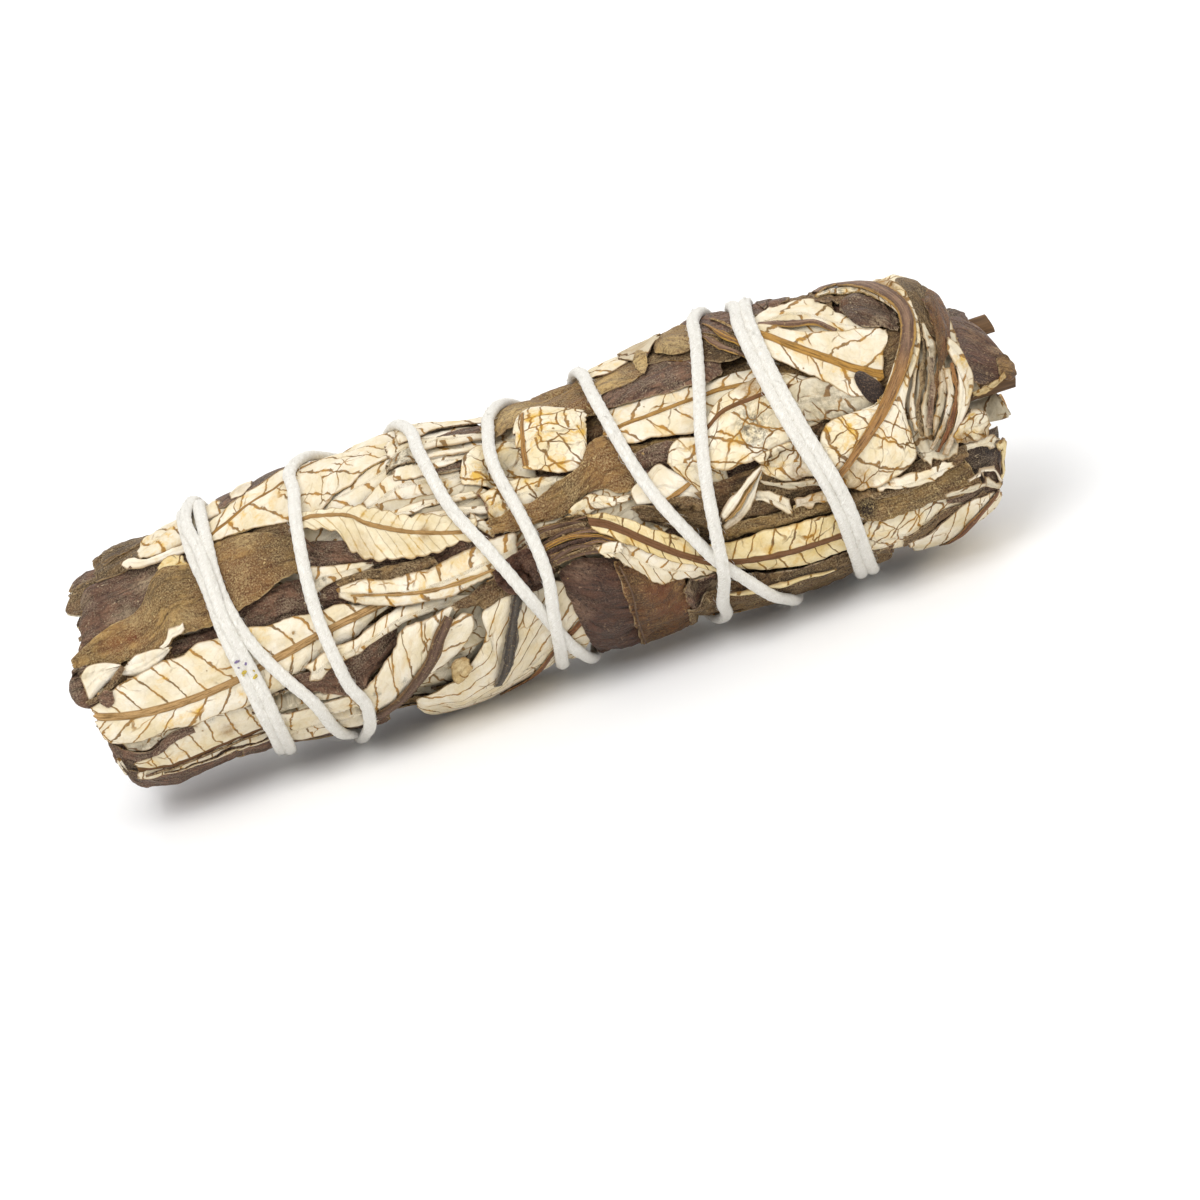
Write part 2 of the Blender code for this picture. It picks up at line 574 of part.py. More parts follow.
def middle_leaves(collection):
    leaf(
        collection, "cream_leaf_05", (1.4, 1.8),
        (17, -10.2, 2, 2), (21, -10.5, 2.6, 2.8), (25, -10.4, 2.6, 3), (28.5, -10.2, 1, 1.2),
    )
    leaf(
        collection, "dark_leaf_05", (1.6, 2.2),
        (21, -7.8, 1, 1), (26, -8, 1.8, 1.8), (30, -7, 1.9, 2.2), (34, -5.4, 0.8, 1.2),
    )
    leaf(
        collection, "cream_leaf_06", (0.8, 1.6),
        (22.3, -6.4, 0.5, 0.5), (26, -5.7, 0.8, 0.9), (31, -4.7, 1.2, 0.9), (35, -4.1, 1.3, 1.0),
        (40, -4.4, 0.6, 0.6),
    )
    leaf(
        collection, "cream_leaf_07", (0.4, 1),
        (26.2, -13.2, 3.2, 0.6), (30, -12.6, 7.0, 0.9), (33, -10.9, 5.2, 1.4),
        (35.6, -8.7, 4.2, 2.6), (37.6, -6.2, 3.0, 2.7), (39.2, -4.2, 1.0, 1.0),
    )
    broad_leaf(
        collection, "cream_leaf_08", (0, 0.2),
        (32.5, -21, 33.2, -15.4), (36, -25.5, 37, -13), (39.5, -27, 40.6, -8.6), (43, -24, 44, -5.4),
        (46, -13.6, 47.4, -5), (49.5, -12.9, 50.6, -5.2), (52, -11.6, 52.8, -6.8), rests=True,
    )
    leaf(
        collection, "leaf_stalk", (-0.3, -0.3),
        (40.8, -13.9, 0.5, 0.5), (42.2, -12.2, 0.7, 0.7), (44.2, -8.2, 0.65, 0.65),
        (46.1, -4.6, 0.6, 0.6),
    )
    leaf(
        collection, "cream_leaf_09", (0.3, 0.9),
        (28, 0.8, 0.4, 0.4), (31, -0.5, 1.1, 1.1), (35, -1.5, 1.6, 1.5), (40, -1.8, 1.9, 1.5),
        (44.5, -1.4, 1.8, 1.4), (47, -1, 0.6, 0.7),
    )
    leaf(
        collection, "cream_leaf_10", (1.6, 1.4),
        (31.5, 7.9, 0.6, 0.5), (35, 8.1, 2.2, 1.0), (39, 8.6, 3.0, 1.5), (44, 8.6, 2.4, 2),
        (50, 8.5, 2.2, 2.2), (53, 8.5, 0.6, 0.6),
    )
    leaf(
        collection, "cream_leaf_11", (0.4, 0.8),
        (25.6, 9.1, 0.8, 0.7), (29, 8.4, 1.1, 1.0), (32, 7.3, 1.8, 2.2), (35, 5.2, 2.7, 2.9),
        (38.5, 3.7, 2.7, 2.1), (43, 2, 1.0, 0.9),
    )
    leaf(
        collection, "cream_leaf_12", (0.8, 1.2),
        (37, 11.8, 2, 2), (41, 12.0, 6, 4), (45, 11.9, 6, 4), (49, 11.4, 4, 2.4),
        (51.5, 11.6, 0.8, 0.8),
    )
    leaf(
        collection, "olive_leaf_03", (1.4, 1.2),
        (47, 11.4, 1, 1), (51, 12.2, 6, 2.8), (55, 12.7, 8, 4), (60, 13.0, 8, 3.4),
        (65, 13.4, 6, 3), (68, 14, 1.5, 1),
    )
    leaf(
        collection, "cream_leaf_13", (1.6, 1.6),
        (44.8, 4.4, 1.6, 1.4), (48, 5, 1.7, 1.5), (52, 4.8, 1.6, 1.3), (55.5, 4.2, 0.6, 0.6),
    )
    leaf(
        collection, "cream_leaf_14", (0, 0.2),
        (50.2, 6.2, 0.6, 4.2), (50.6, 8.4, 0.9, 6.4), (51.2, 10.4, 0.9, 6.6),
        (52.4, 12.2, 0.6, 3.2),
    )
    leaf(
        collection, "olive_leaf_04", (0.6, 0.8),
        (44.5, 1.9, 0.5, 0.5), (49, 1.9, 1, 1), (53, 2.8, 1.3, 1.5), (57, 4.2, 2.7, 2.9),
        (61, 4.4, 2.0, 2.6), (65, 4.6, 0.9, 1.2), (68, 4.8, 0.4, 0.4),
    )
    leaf(
        collection, "dark_leaf_06", (0.8, 0.8),
        (47.5, -2.8, 0.6, 0.6), (50.5, -1.6, 1.3, 1.6), (53.5, -1.2, 1.2, 1.8),
        (56.5, -2.4, 0.9, 1.3), (58.8, -4.2, 0.4, 0.4),
    )
    leaf(
        collection, "dark_leaf_07", (0.4, 0.4),
        (54.2, -4, 1.2, 3.6), (55.8, -6.6, 2.6, 5), (56.5, -9.5, 5, 5), (56.7, -12, 6, 4.6),
        (57.2, -14.0, 5.2, 3.4),
    )


def right_leaves(collection):
    leaf(
        collection, "dark_leaf_09", (0.6, 0.6),
        (97.8, 9, 0.7, 0.7), (98.4, 6, 1.9, 1.8), (98.8, 3, 1.9, 2), (98.9, 0.4, 1, 1.4),
    )
    leaf(
        collection, "cream_leaf_15", (1.2, 1.4),
        (58.8, 7.6, 0.8, 0.8), (62, 7.9, 2.2, 1.9), (66, 8.4, 2.3, 2.8), (70, 8.9, 1.8, 2.6),
        (76, 9, 0.6, 0.8),
    )
    leaf(
        collection, "cream_leaf_16", (1.4, 1.6),
        (59.8, 0.4, 1.2, 1.2), (63, 0.6, 2, 1.8), (66.5, 1.4, 3.4, 2.4), (69.5, 2.4, 2, 2),
        (71, 2.6, 0.5, 0.5),
    )
    leaf(
        collection, "cream_leaf_17", (0.2, 0.6),
        (67.6, 3.8, 0.6, 1.2), (71, 5.4, 1.7, 5), (74.5, 6.3, 2.2, 6.2), (78, 6.6, 1.8, 5.8),
        (81, 6.6, 0.6, 2),
    )
    leaf(
        collection, "dark_leaf_08", (0.6, 0.8),
        (59.8, 11.2, 1.4, 1.2), (64, 11.5, 2.6, 2.7), (68, 11.8, 3.2, 2.8), (71.5, 11.8, 2, 1.6),
    )
    leaf(
        collection, "olive_leaf_05", (0.9, 1),
        (66, 14.6, 3, 1.6), (70, 15.0, 7, 4), (75, 14.8, 8, 6), (80, 14.2, 8, 4),
        (84.5, 13.6, 3, 1.8),
    )
    leaf(
        collection, "cream_leaf_18", (0.2, 1.4),
        (75.6, 13.5, 1, 1), (78, 12, 2.6, 2), (80, 10.3, 3.8, 2.6), (82, 9, 4.4, 3.2),
        (84.5, 7.4, 5.2, 3.5), (87, 5.6, 4.8, 2.4), (89.2, 4, 1.4, 0.8),
    )
    leaf(
        collection, "cream_leaf_19", (1.6, 2),
        (77.5, 4.8, 0.9, 0.9), (80.5, 4.4, 1.9, 2), (84, 3.3, 1.7, 1.6), (87, 2.4, 0.5, 0.5),
    )
    leaf(
        collection, "cream_leaf_21", (0.2, 1),
        (54.8, -0.3, 0.5, 0.5), (58, -2.8, 1.2, 1.2), (61.5, -5.6, 1.7, 1.8), (65, -7.8, 1.9, 1.7),
        (69, -9.4, 2.4, 2.0), (73.5, -10.3, 2.8, 2.5), (78, -10.7, 2.9, 2.9),
        (82.5, -10.6, 1.4, 1.6),
    )
    leaf(
        collection, "cream_leaf_22", (0.8, 0.8),
        (80.5, -11.4, 1, 1.1), (84, -11.5, 2.2, 2.6), (88, -11.3, 2.3, 2.5), (92, -10.8, 1.6, 1.6),
        (96.5, -9.9, 0.5, 0.6),
    )
    leaf(
        collection, "olive_leaf_06", (0.4, 0.3),
        (80.5, -8, 0.9, 0.9), (85, -8.2, 1.5, 1.6), (90, -8.1, 1.8, 1.8), (94.5, -7.4, 2.2, 2.1),
        (98.3, -7, 1, 1.4),
    )
    leaf(
        collection, "cream_leaf_23", (0.6, 0.8),
        (93.8, 12.3, 0.6, 0.6), (95, 9, 1.4, 1.2), (94.6, 4.8, 2, 1.6), (93, 0, 2.2, 2),
        (90.6, -4.7, 0.8, 0.9),
    )
    leaf(
        collection, "cream_leaf_24", (0, 0.2),
        (84.3, 14.1, 0.8, 0.8), (88.4, 14.3, 1.3, 1.3), (91.5, 13, 1.4, 1.4), (93, 10.2, 1.4, 1.4),
        (91.9, 6.6, 1.6, 1.5), (89, 2.7, 2.3, 2.2), (85.2, -1.2, 3.8, 2.9), (81, -3.9, 1.6, 1.3),
    )
    leaf(
        collection, "cream_leaf_25", (0, 0),
        (86, -13.6, 1.0, 5), (90, -13.9, 1.6, 10), (93.5, -12.7, 1.6, 9), (96, -10.8, 0.8, 5),
        rests=True,
    )
    leaf(
        collection, "olive_leaf_07", (0.1, 0.1),
        (67.3, -14, 1.2, 8), (68.3, -14.1, 2.4, 11), (69.5, -14.3, 2.4, 11), (70.5, -14.4, 1.2, 7),
        rests=True,
    )


def back_leaves(collection):
    back_leaf(collection, "cream_back_leaf_1", 1.5, 2.0, 44.0, 150, 6.0, 14)
    back_leaf(collection, "olive_back_leaf_1", 1.6, 40.0, 94.0, 158, 6.5, -12)
    back_leaf(collection, "dark_back_leaf_1", 1.4, 5.0, 50.0, 205, 6.5, -10)
    back_leaf(collection, "cream_back_leaf_2", 0.7, 46.0, 96.0, 192, 6.5, 16)
    back_leaf(collection, "cream_back_leaf_3", 0.4, 18.0, 62.0, 178, 5.5, 12)


def build():
    collection = start_scene()
    stems_and_inner_leaves(collection)
    under_leaves(collection)
    left_leaves(collection)
    middle_leaves(collection)
    right_leaves(collection)
    back_leaves(collection)
    cotton_string(collection)


build()
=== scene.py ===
import math

import bpy
import numpy as np
from mathutils import Matrix, Vector
from mathutils.bvhtree import BVHTree
from mathutils.kdtree import KDTree


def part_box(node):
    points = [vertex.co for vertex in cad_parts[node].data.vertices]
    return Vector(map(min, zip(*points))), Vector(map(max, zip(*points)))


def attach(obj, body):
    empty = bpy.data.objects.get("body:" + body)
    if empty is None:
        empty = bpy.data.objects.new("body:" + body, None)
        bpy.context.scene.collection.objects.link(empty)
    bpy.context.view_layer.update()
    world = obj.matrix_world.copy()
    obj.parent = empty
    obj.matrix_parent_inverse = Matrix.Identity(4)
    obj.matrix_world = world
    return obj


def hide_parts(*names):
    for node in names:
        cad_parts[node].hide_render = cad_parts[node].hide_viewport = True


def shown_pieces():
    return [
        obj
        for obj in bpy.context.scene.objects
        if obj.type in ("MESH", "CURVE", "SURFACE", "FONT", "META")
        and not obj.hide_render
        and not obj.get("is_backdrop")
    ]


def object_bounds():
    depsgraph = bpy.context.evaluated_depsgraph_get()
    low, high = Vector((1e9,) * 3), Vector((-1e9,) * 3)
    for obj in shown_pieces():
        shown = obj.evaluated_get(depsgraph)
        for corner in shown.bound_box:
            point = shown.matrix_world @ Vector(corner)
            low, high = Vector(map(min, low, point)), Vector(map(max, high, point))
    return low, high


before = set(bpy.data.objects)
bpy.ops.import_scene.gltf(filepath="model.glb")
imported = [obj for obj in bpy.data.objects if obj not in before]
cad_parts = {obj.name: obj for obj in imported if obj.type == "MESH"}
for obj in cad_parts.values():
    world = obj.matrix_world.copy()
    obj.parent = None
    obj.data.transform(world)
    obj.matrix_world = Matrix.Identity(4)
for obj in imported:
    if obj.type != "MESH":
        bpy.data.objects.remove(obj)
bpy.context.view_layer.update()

# --- Cut stems ---------------------------------------------------------------------------------
# Three dry twigs of the same shrub, cut nearly square. The bark is brown and finely ridged
# along its length; the cut faces show pale wood round a darker pith. Leaves are packed on them.

MM = 0.001


def colour(code):
    """sRGB hex to the linear colour that a shader takes."""
    parts = [int(code[i:i + 2], 16) / 255 for i in (1, 3, 5)]
    linear = [p / 12.92 if p <= 0.04045 else ((p + 0.055) / 1.055) ** 2.4 for p in parts]
    return (*linear, 1.0)


def set_sockets(node, values):
    """Fills sockets, each from a node, one of its outputs, an sRGB hex code or a plain value."""
    for key, value in values.items():
        if isinstance(value, bpy.types.Node):
            value = next(output for output in value.outputs if output.enabled)
        if isinstance(value, bpy.types.NodeSocket):
            node.id_data.links.new(value, node.inputs[key])
        else:
            node.inputs[key].default_value = colour(value) if isinstance(value, str) else value


def add_node(tree, kind, values=None, **settings):
    node = tree.nodes.new("ShaderNode" + kind)
    for key, value in settings.items():
        setattr(node, key, value)
    set_sockets(node, values or {})
    return node


def new_material(name):
    material = bpy.data.materials.new(name)
    material.use_nodes = True
    tree = material.node_tree
    return material, tree, tree.nodes["Principled BSDF"]


# Twig bark: dry and matt, with ridges about 0.4 mm apart along the twig and grey-brown patches.
twig_bark, tree, shader = new_material("twig_bark")
on_twig = add_node(tree, "TexCoord").outputs["Object"]
along_grain = add_node(tree, "Mapping", {"Vector": on_twig, "Scale": (0.12, 1, 1)})
ridges = add_node(tree, "TexNoise", {"Vector": along_grain, "Scale": 2500, "Detail": 3})
patches = add_node(tree, "TexNoise", {"Vector": on_twig, "Scale": 450, "Detail": 2})
bark_colour = add_node(tree, "ValToRGB", {"Fac": ridges})
bark_mix = add_node(tree, "Mix", {0: patches, 6: bark_colour, 7: "#6B5135"}, data_type="RGBA")
bark_bump = add_node(tree, "Bump", {"Height": ridges, "Distance": 0.0002, "Strength": 0.8})
set_sockets(shader, {"Base Color": bark_mix, "Roughness": 0.8, "Normal": bark_bump})

# Cut wood: pale straw-brown and matt, with end grain about 0.3 mm apart.
cut_wood, tree, shader = new_material("cut_wood")
grain = add_node(tree, "TexNoise", {"Vector": add_node(tree, "TexCoord").outputs["Object"], "Scale": 3000,
                                    "Detail": 2})
wood_colour = add_node(tree, "ValToRGB", {"Fac": grain})
cut_bump = add_node(tree, "Bump", {"Height": grain, "Distance": 0.00015, "Strength": 0.7})
set_sockets(shader, {"Base Color": wood_colour, "Roughness": 0.85, "Normal": cut_bump})

for ramp, stops in ((bark_colour, ((0.35, "#3E2A1C"), (0.68, "#8A6540"))),
                    (wood_colour, ((0.35, "#8C6238"), (0.65, "#C9A26A")))):
    for element, (position, code) in zip(ramp.color_ramp.elements, stops):
        element.position, element.color = position, colour(code)


def cut_stem(name, node, lean):
    """One twig, from a cylinder at the solid's place: ringed ends, knots and bark ridges."""
    low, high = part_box(node)
    middle = (low + high) / 2
    radius = (high.z - low.z) / 2
    bpy.ops.object.select_all(action="DESELECT")
    bpy.ops.mesh.primitive_cylinder_add(
        vertices=28, radius=radius * 0.97, depth=high.x - low.x, location=middle,
        rotation=(0, math.pi / 2, 0),
    )
    twig = bpy.context.object
    twig.name = name
    bpy.ops.object.transform_apply(location=True, rotation=True, scale=True)
    bpy.ops.object.mode_set(mode="EDIT")
    bpy.ops.mesh.select_mode(type="FACE")
    bpy.ops.mesh.select_all(action="DESELECT")
    bpy.ops.object.mode_set(mode="OBJECT")
    for face in twig.data.polygons:
        face.select = abs(face.normal.x) > 0.9
    bpy.ops.object.mode_set(mode="EDIT")
    bpy.ops.mesh.inset(thickness=radius * 0.14, depth=0.0)
    bpy.ops.mesh.inset(thickness=radius * 0.5, depth=-0.00012)
    bpy.ops.mesh.inset(thickness=radius * 0.12, depth=-0.0003)
    bpy.ops.mesh.select_all(action="DESELECT")
    bpy.ops.object.mode_set(mode="OBJECT")
    bpy.ops.object.mode_set(mode="EDIT")
    bpy.ops.mesh.select_mode(type="EDGE")
    bpy.ops.object.mode_set(mode="OBJECT")
    for edge in twig.data.edges:
        a, b = (twig.data.vertices[i].co for i in edge.vertices)
        edge.select = abs(a.x - b.x) > (high.x - low.x) / 2
    bpy.ops.object.mode_set(mode="EDIT")
    bpy.ops.mesh.subdivide(number_cuts=48)
    bpy.ops.object.mode_set(mode="OBJECT")
    twig.data.materials.append(twig_bark)
    twig.data.materials.append(cut_wood)
    for face in twig.data.polygons:
        out = math.hypot(face.center.y - middle.y, face.center.z - middle.z)
        if abs(face.normal.x) > 0.5 and out < radius * 0.9:
            face.material_index = 1
    for vertex in twig.data.vertices:
        across = Vector((0, vertex.co.y - middle.y, vertex.co.z - middle.z))
        turn = math.atan2(across.z, across.y)
        wave = math.sin(3 * turn + vertex.co.x * 210 + lean) + math.sin(5 * turn - vertex.co.x * 140)
        vertex.co += across * (0.035 * wave - 0.03)
        # the ends are cut a little aslant
        vertex.co.x += math.copysign(0.0003, vertex.co.x - middle.x) * (math.sin(turn + lean) - 1)
    twig.data.shade_smooth()
    twig.data.set_sharp_from_angle(angle=math.radians(42))
    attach(twig, "root")
    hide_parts(node)
    return twig


cut_stem("twig_long_upper", "stem_1", 0.4)
cut_stem("twig_long_lower", "stem_2", 2.1)
cut_stem("twig_short", "stem_3", 4.0)


# --- Rolled inner leaves ------------------------------------------------------------------------
# Whole dry leaves rolled round the twigs, thinner ones that fill the spaces between them, and a
# dark lining that shows in every gap. Only the leaves outside them and the string hold them.

AXIS_HEIGHT = 15.1
MIDDLE = 50.3
AXIS_Y = -0.72
FRONT_TILT = math.radians(22)
UNROLLED_RADIUS = 13.5
FULL_TURN = 2 * math.pi
# along the stick, radius of its outline there, and how far its centre sits above the axis
OUTLINE = np.array((
    (-2, 11.6, -0.8), (2, 12.2, -0.6), (6, 12.8, -0.6), (14, 12.7, 0.0), (20, 13.6, 0.2),
    (26, 14.4, 0.3), (38, 15.5, 0.0), (48, 13.5, 0.0), (54, 14.3, -0.3), (62, 14.5, 0.4),
    (72, 15.9, 0.5), (84, 14.9, 0.3), (93, 14.2, 0.2), (96, 12.4, 0.0), (98.5, 9.0, 0.2),
    (103, 5.2, 0.6),
), float)
CELL = 0.3
FIRST_CELL = -8.0
packed = np.zeros((400, 360))  # radius filled so far, in cells of 0.3 mm by one degree


def outline_at(along):
    return (np.interp(along, OUTLINE[:, 0], OUTLINE[:, 1]),
            np.interp(along, OUTLINE[:, 0], OUTLINE[:, 2]))


def turn_of(along, height):
    """Angle round the axis of a point drawn at this height on the bundle's front."""
    radius, centre = outline_at(along)
    height = np.asarray(height, float)
    share = 2 * height / (radius + np.sqrt(np.maximum(radius**2 + 4 * centre * height, 0.1)))
    past = np.sign(share) * np.maximum(np.abs(share) - 1, 0)
    return FRONT_TILT + np.arcsin(np.clip(share, -1, 1)) + past


def reach_of(along, turn):
    """Outer radius of the bundle, cut off by the table it lies on."""
    radius, centre = outline_at(along)
    return np.minimum(radius + centre * np.sin(turn - FRONT_TILT),
                      AXIS_HEIGHT / np.maximum(-np.sin(turn), 1e-3))


def place(along, turn, radius):
    return np.stack([along - MIDDLE, AXIS_Y - radius * np.cos(turn),
                     AXIS_HEIGHT + radius * np.sin(turn)], axis=-1) * MM


def pressed(along, turn, radius):
    """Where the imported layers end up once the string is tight: what stands proud is squeezed in."""
    looser = np.clip((-np.cos(turn) - 0.45) / 0.35, 0, 1)  # the side away from the front is packed less tightly
    start = reach_of(along, turn) - 1.1 + 2.1 * looser
    most = 1.9  # mm, what the proudest fold still stands out from there
    return np.where(radius > start, start + most * (1 - np.exp(-np.maximum(radius - start, 0) / most)), radius)


def cell_of(along, turn):
    row = np.clip(((along - FIRST_CELL) / CELL).astype(int), 2, packed.shape[0] - 3)
    return row, np.degrees(turn).astype(int) % 360


def support(along, turn):
    """Radius that is already filled at and just round each point."""
    row, column = cell_of(along, turn % FULL_TURN)
    most = np.zeros(np.shape(along))
    for i in (-1, 0, 1):
        for j in (-1, 0, 1):
            most = np.maximum(most, packed[row + i, (column + j) % 360])
    return most


def fill_up(along, turn, radius):
    """Marks what a sheet fills, with three points each way inside every face of its grid."""
    for i in np.arange(0, 1, 0.34):
        for j in np.arange(0, 1, 0.34):
            weights = ((1 - i) * (1 - j), i * (1 - j), (1 - i) * j, i * j)
            parts = [sum(w * g for w, g in zip(weights, (grid[:-1, :-1], grid[1:, :-1], grid[:-1, 1:], grid[1:, 1:])))
                     for grid in (along, turn, radius)]
            row, column = cell_of(parts[0], parts[1] % FULL_TURN)
            np.maximum.at(packed, (row, column), parts[2])


def ripple(u, v, size, seed):
    """Smooth random waves about size millimetres long."""
    draw = np.random.default_rng(seed)
    total = 0.0
    for _ in range(7):
        heading, phase, stretch = draw.uniform((0, 0, 0.6), (FULL_TURN, FULL_TURN, 1.5))
        total = total + np.sin(FULL_TURN / (size * stretch) * (u * math.cos(heading) + v * math.sin(heading)) + phase)
    return total / 2.6


def soften(grid, rounds):
    for _ in range(rounds):
        padded = np.pad(grid, 1, mode="edge")
        grid = (grid * 2 + padded[:-2, 1:-1] + padded[2:, 1:-1] + padded[1:-1, :-2] + padded[1:-1, 2:]) / 6
    return grid


def sheet_piece(name, points, thickness, blade_uv, vein_uv, stain, finishes, rib_code="#8F6A40"):
    """Closed thin shell whose outer face runs through the points, with a taper to its margins."""
    rows, columns = points.shape[:2]
    down = np.gradient(points, axis=0)
    over = np.gradient(points, axis=1)
    normal = np.cross(down, over)
    normal /= np.maximum(np.linalg.norm(normal, axis=-1, keepdims=True), 1e-12)
    outward = points - np.array([0, AXIS_Y, AXIS_HEIGHT]) * MM
    outward[..., 0] = 0
    flip = (normal * outward).sum() < 0
    if flip:
        normal = -normal
    inner = points - normal * thickness[..., None] * MM
    inner[..., 2] = np.maximum(inner[..., 2], 0.00004)
    count = rows * columns
    vertices = np.concatenate([points.reshape(-1, 3), inner.reshape(-1, 3)])
    index = np.arange(count).reshape(rows, columns)
    a, b, c, d = index[:-1, :-1], index[1:, :-1], index[1:, 1:], index[:-1, 1:]
    top = np.stack([a, b, c, d], axis=-1).reshape(-1, 4)
    ring = np.concatenate([index[0, :-1], index[:-1, -1], index[-1, :0:-1], index[:0:-1, 0]])
    after = np.roll(ring, -1)
    rim = np.stack([ring, after, after + count, ring + count], axis=-1)
    if flip:
        top, rim = top[:, ::-1], rim[:, (1, 0, 3, 2)]
    faces = np.concatenate([top, top[:, ::-1] + count, rim])
    mesh = bpy.data.meshes.new(name)
    mesh.from_pydata(vertices.tolist(), [], faces.tolist())
    corners = np.empty(len(mesh.loops), int)
    mesh.loops.foreach_get("vertex_index", corners)
    for layer_name, values in (("blade", blade_uv), ("veins", vein_uv)):
        layer = mesh.uv_layers.new(name=layer_name)
        both = np.concatenate([values.reshape(-1, 2)] * 2)
        layer.uv.foreach_set("vector", both[corners].astype(np.float32).ravel())
    for layer_name, values in (("stain", stain.reshape(-1, 4)), ("rib_tint", np.tile(colour(rib_code), (count, 1)))):
        layer = mesh.attributes.new(layer_name, "FLOAT_COLOR", "POINT")
        layer.data.foreach_set("color", np.concatenate([values] * 2).astype(np.float32).ravel())
    for finish in finishes:
        mesh.materials.append(finish)
    slots = np.zeros(len(faces), np.int32)
    slots[len(top):] = 1
    mesh.polygons.foreach_set("material_index", slots)
    mesh.shade_smooth()
    mesh.set_sharp_from_angle(angle=math.radians(55))
    mesh.validate()
    thing = bpy.data.objects.new(name, mesh)
    bpy.context.scene.collection.objects.link(thing)
    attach(thing, "root")
    return thing


def leaf_material(name):
    """A material that reads the leaf's own maps: place on it, vein count and midrib, and its stains."""
    material, tree, shader = new_material(name)
    blade = add_node(tree, "UVMap", uv_map="blade")
    veins = add_node(tree, "SeparateXYZ", {0: add_node(tree, "UVMap", uv_map="veins")})
    off_rib = add_node(tree, "Math", {0: veins.outputs["Y"]}, operation="ABSOLUTE")
    marks = add_node(tree, "Attribute", attribute_name="stain")
    stains = add_node(tree, "SeparateColor", {0: marks}).outputs
    return material, tree, shader, blade, veins.outputs["X"], off_rib, marks.outputs["Alpha"], stains


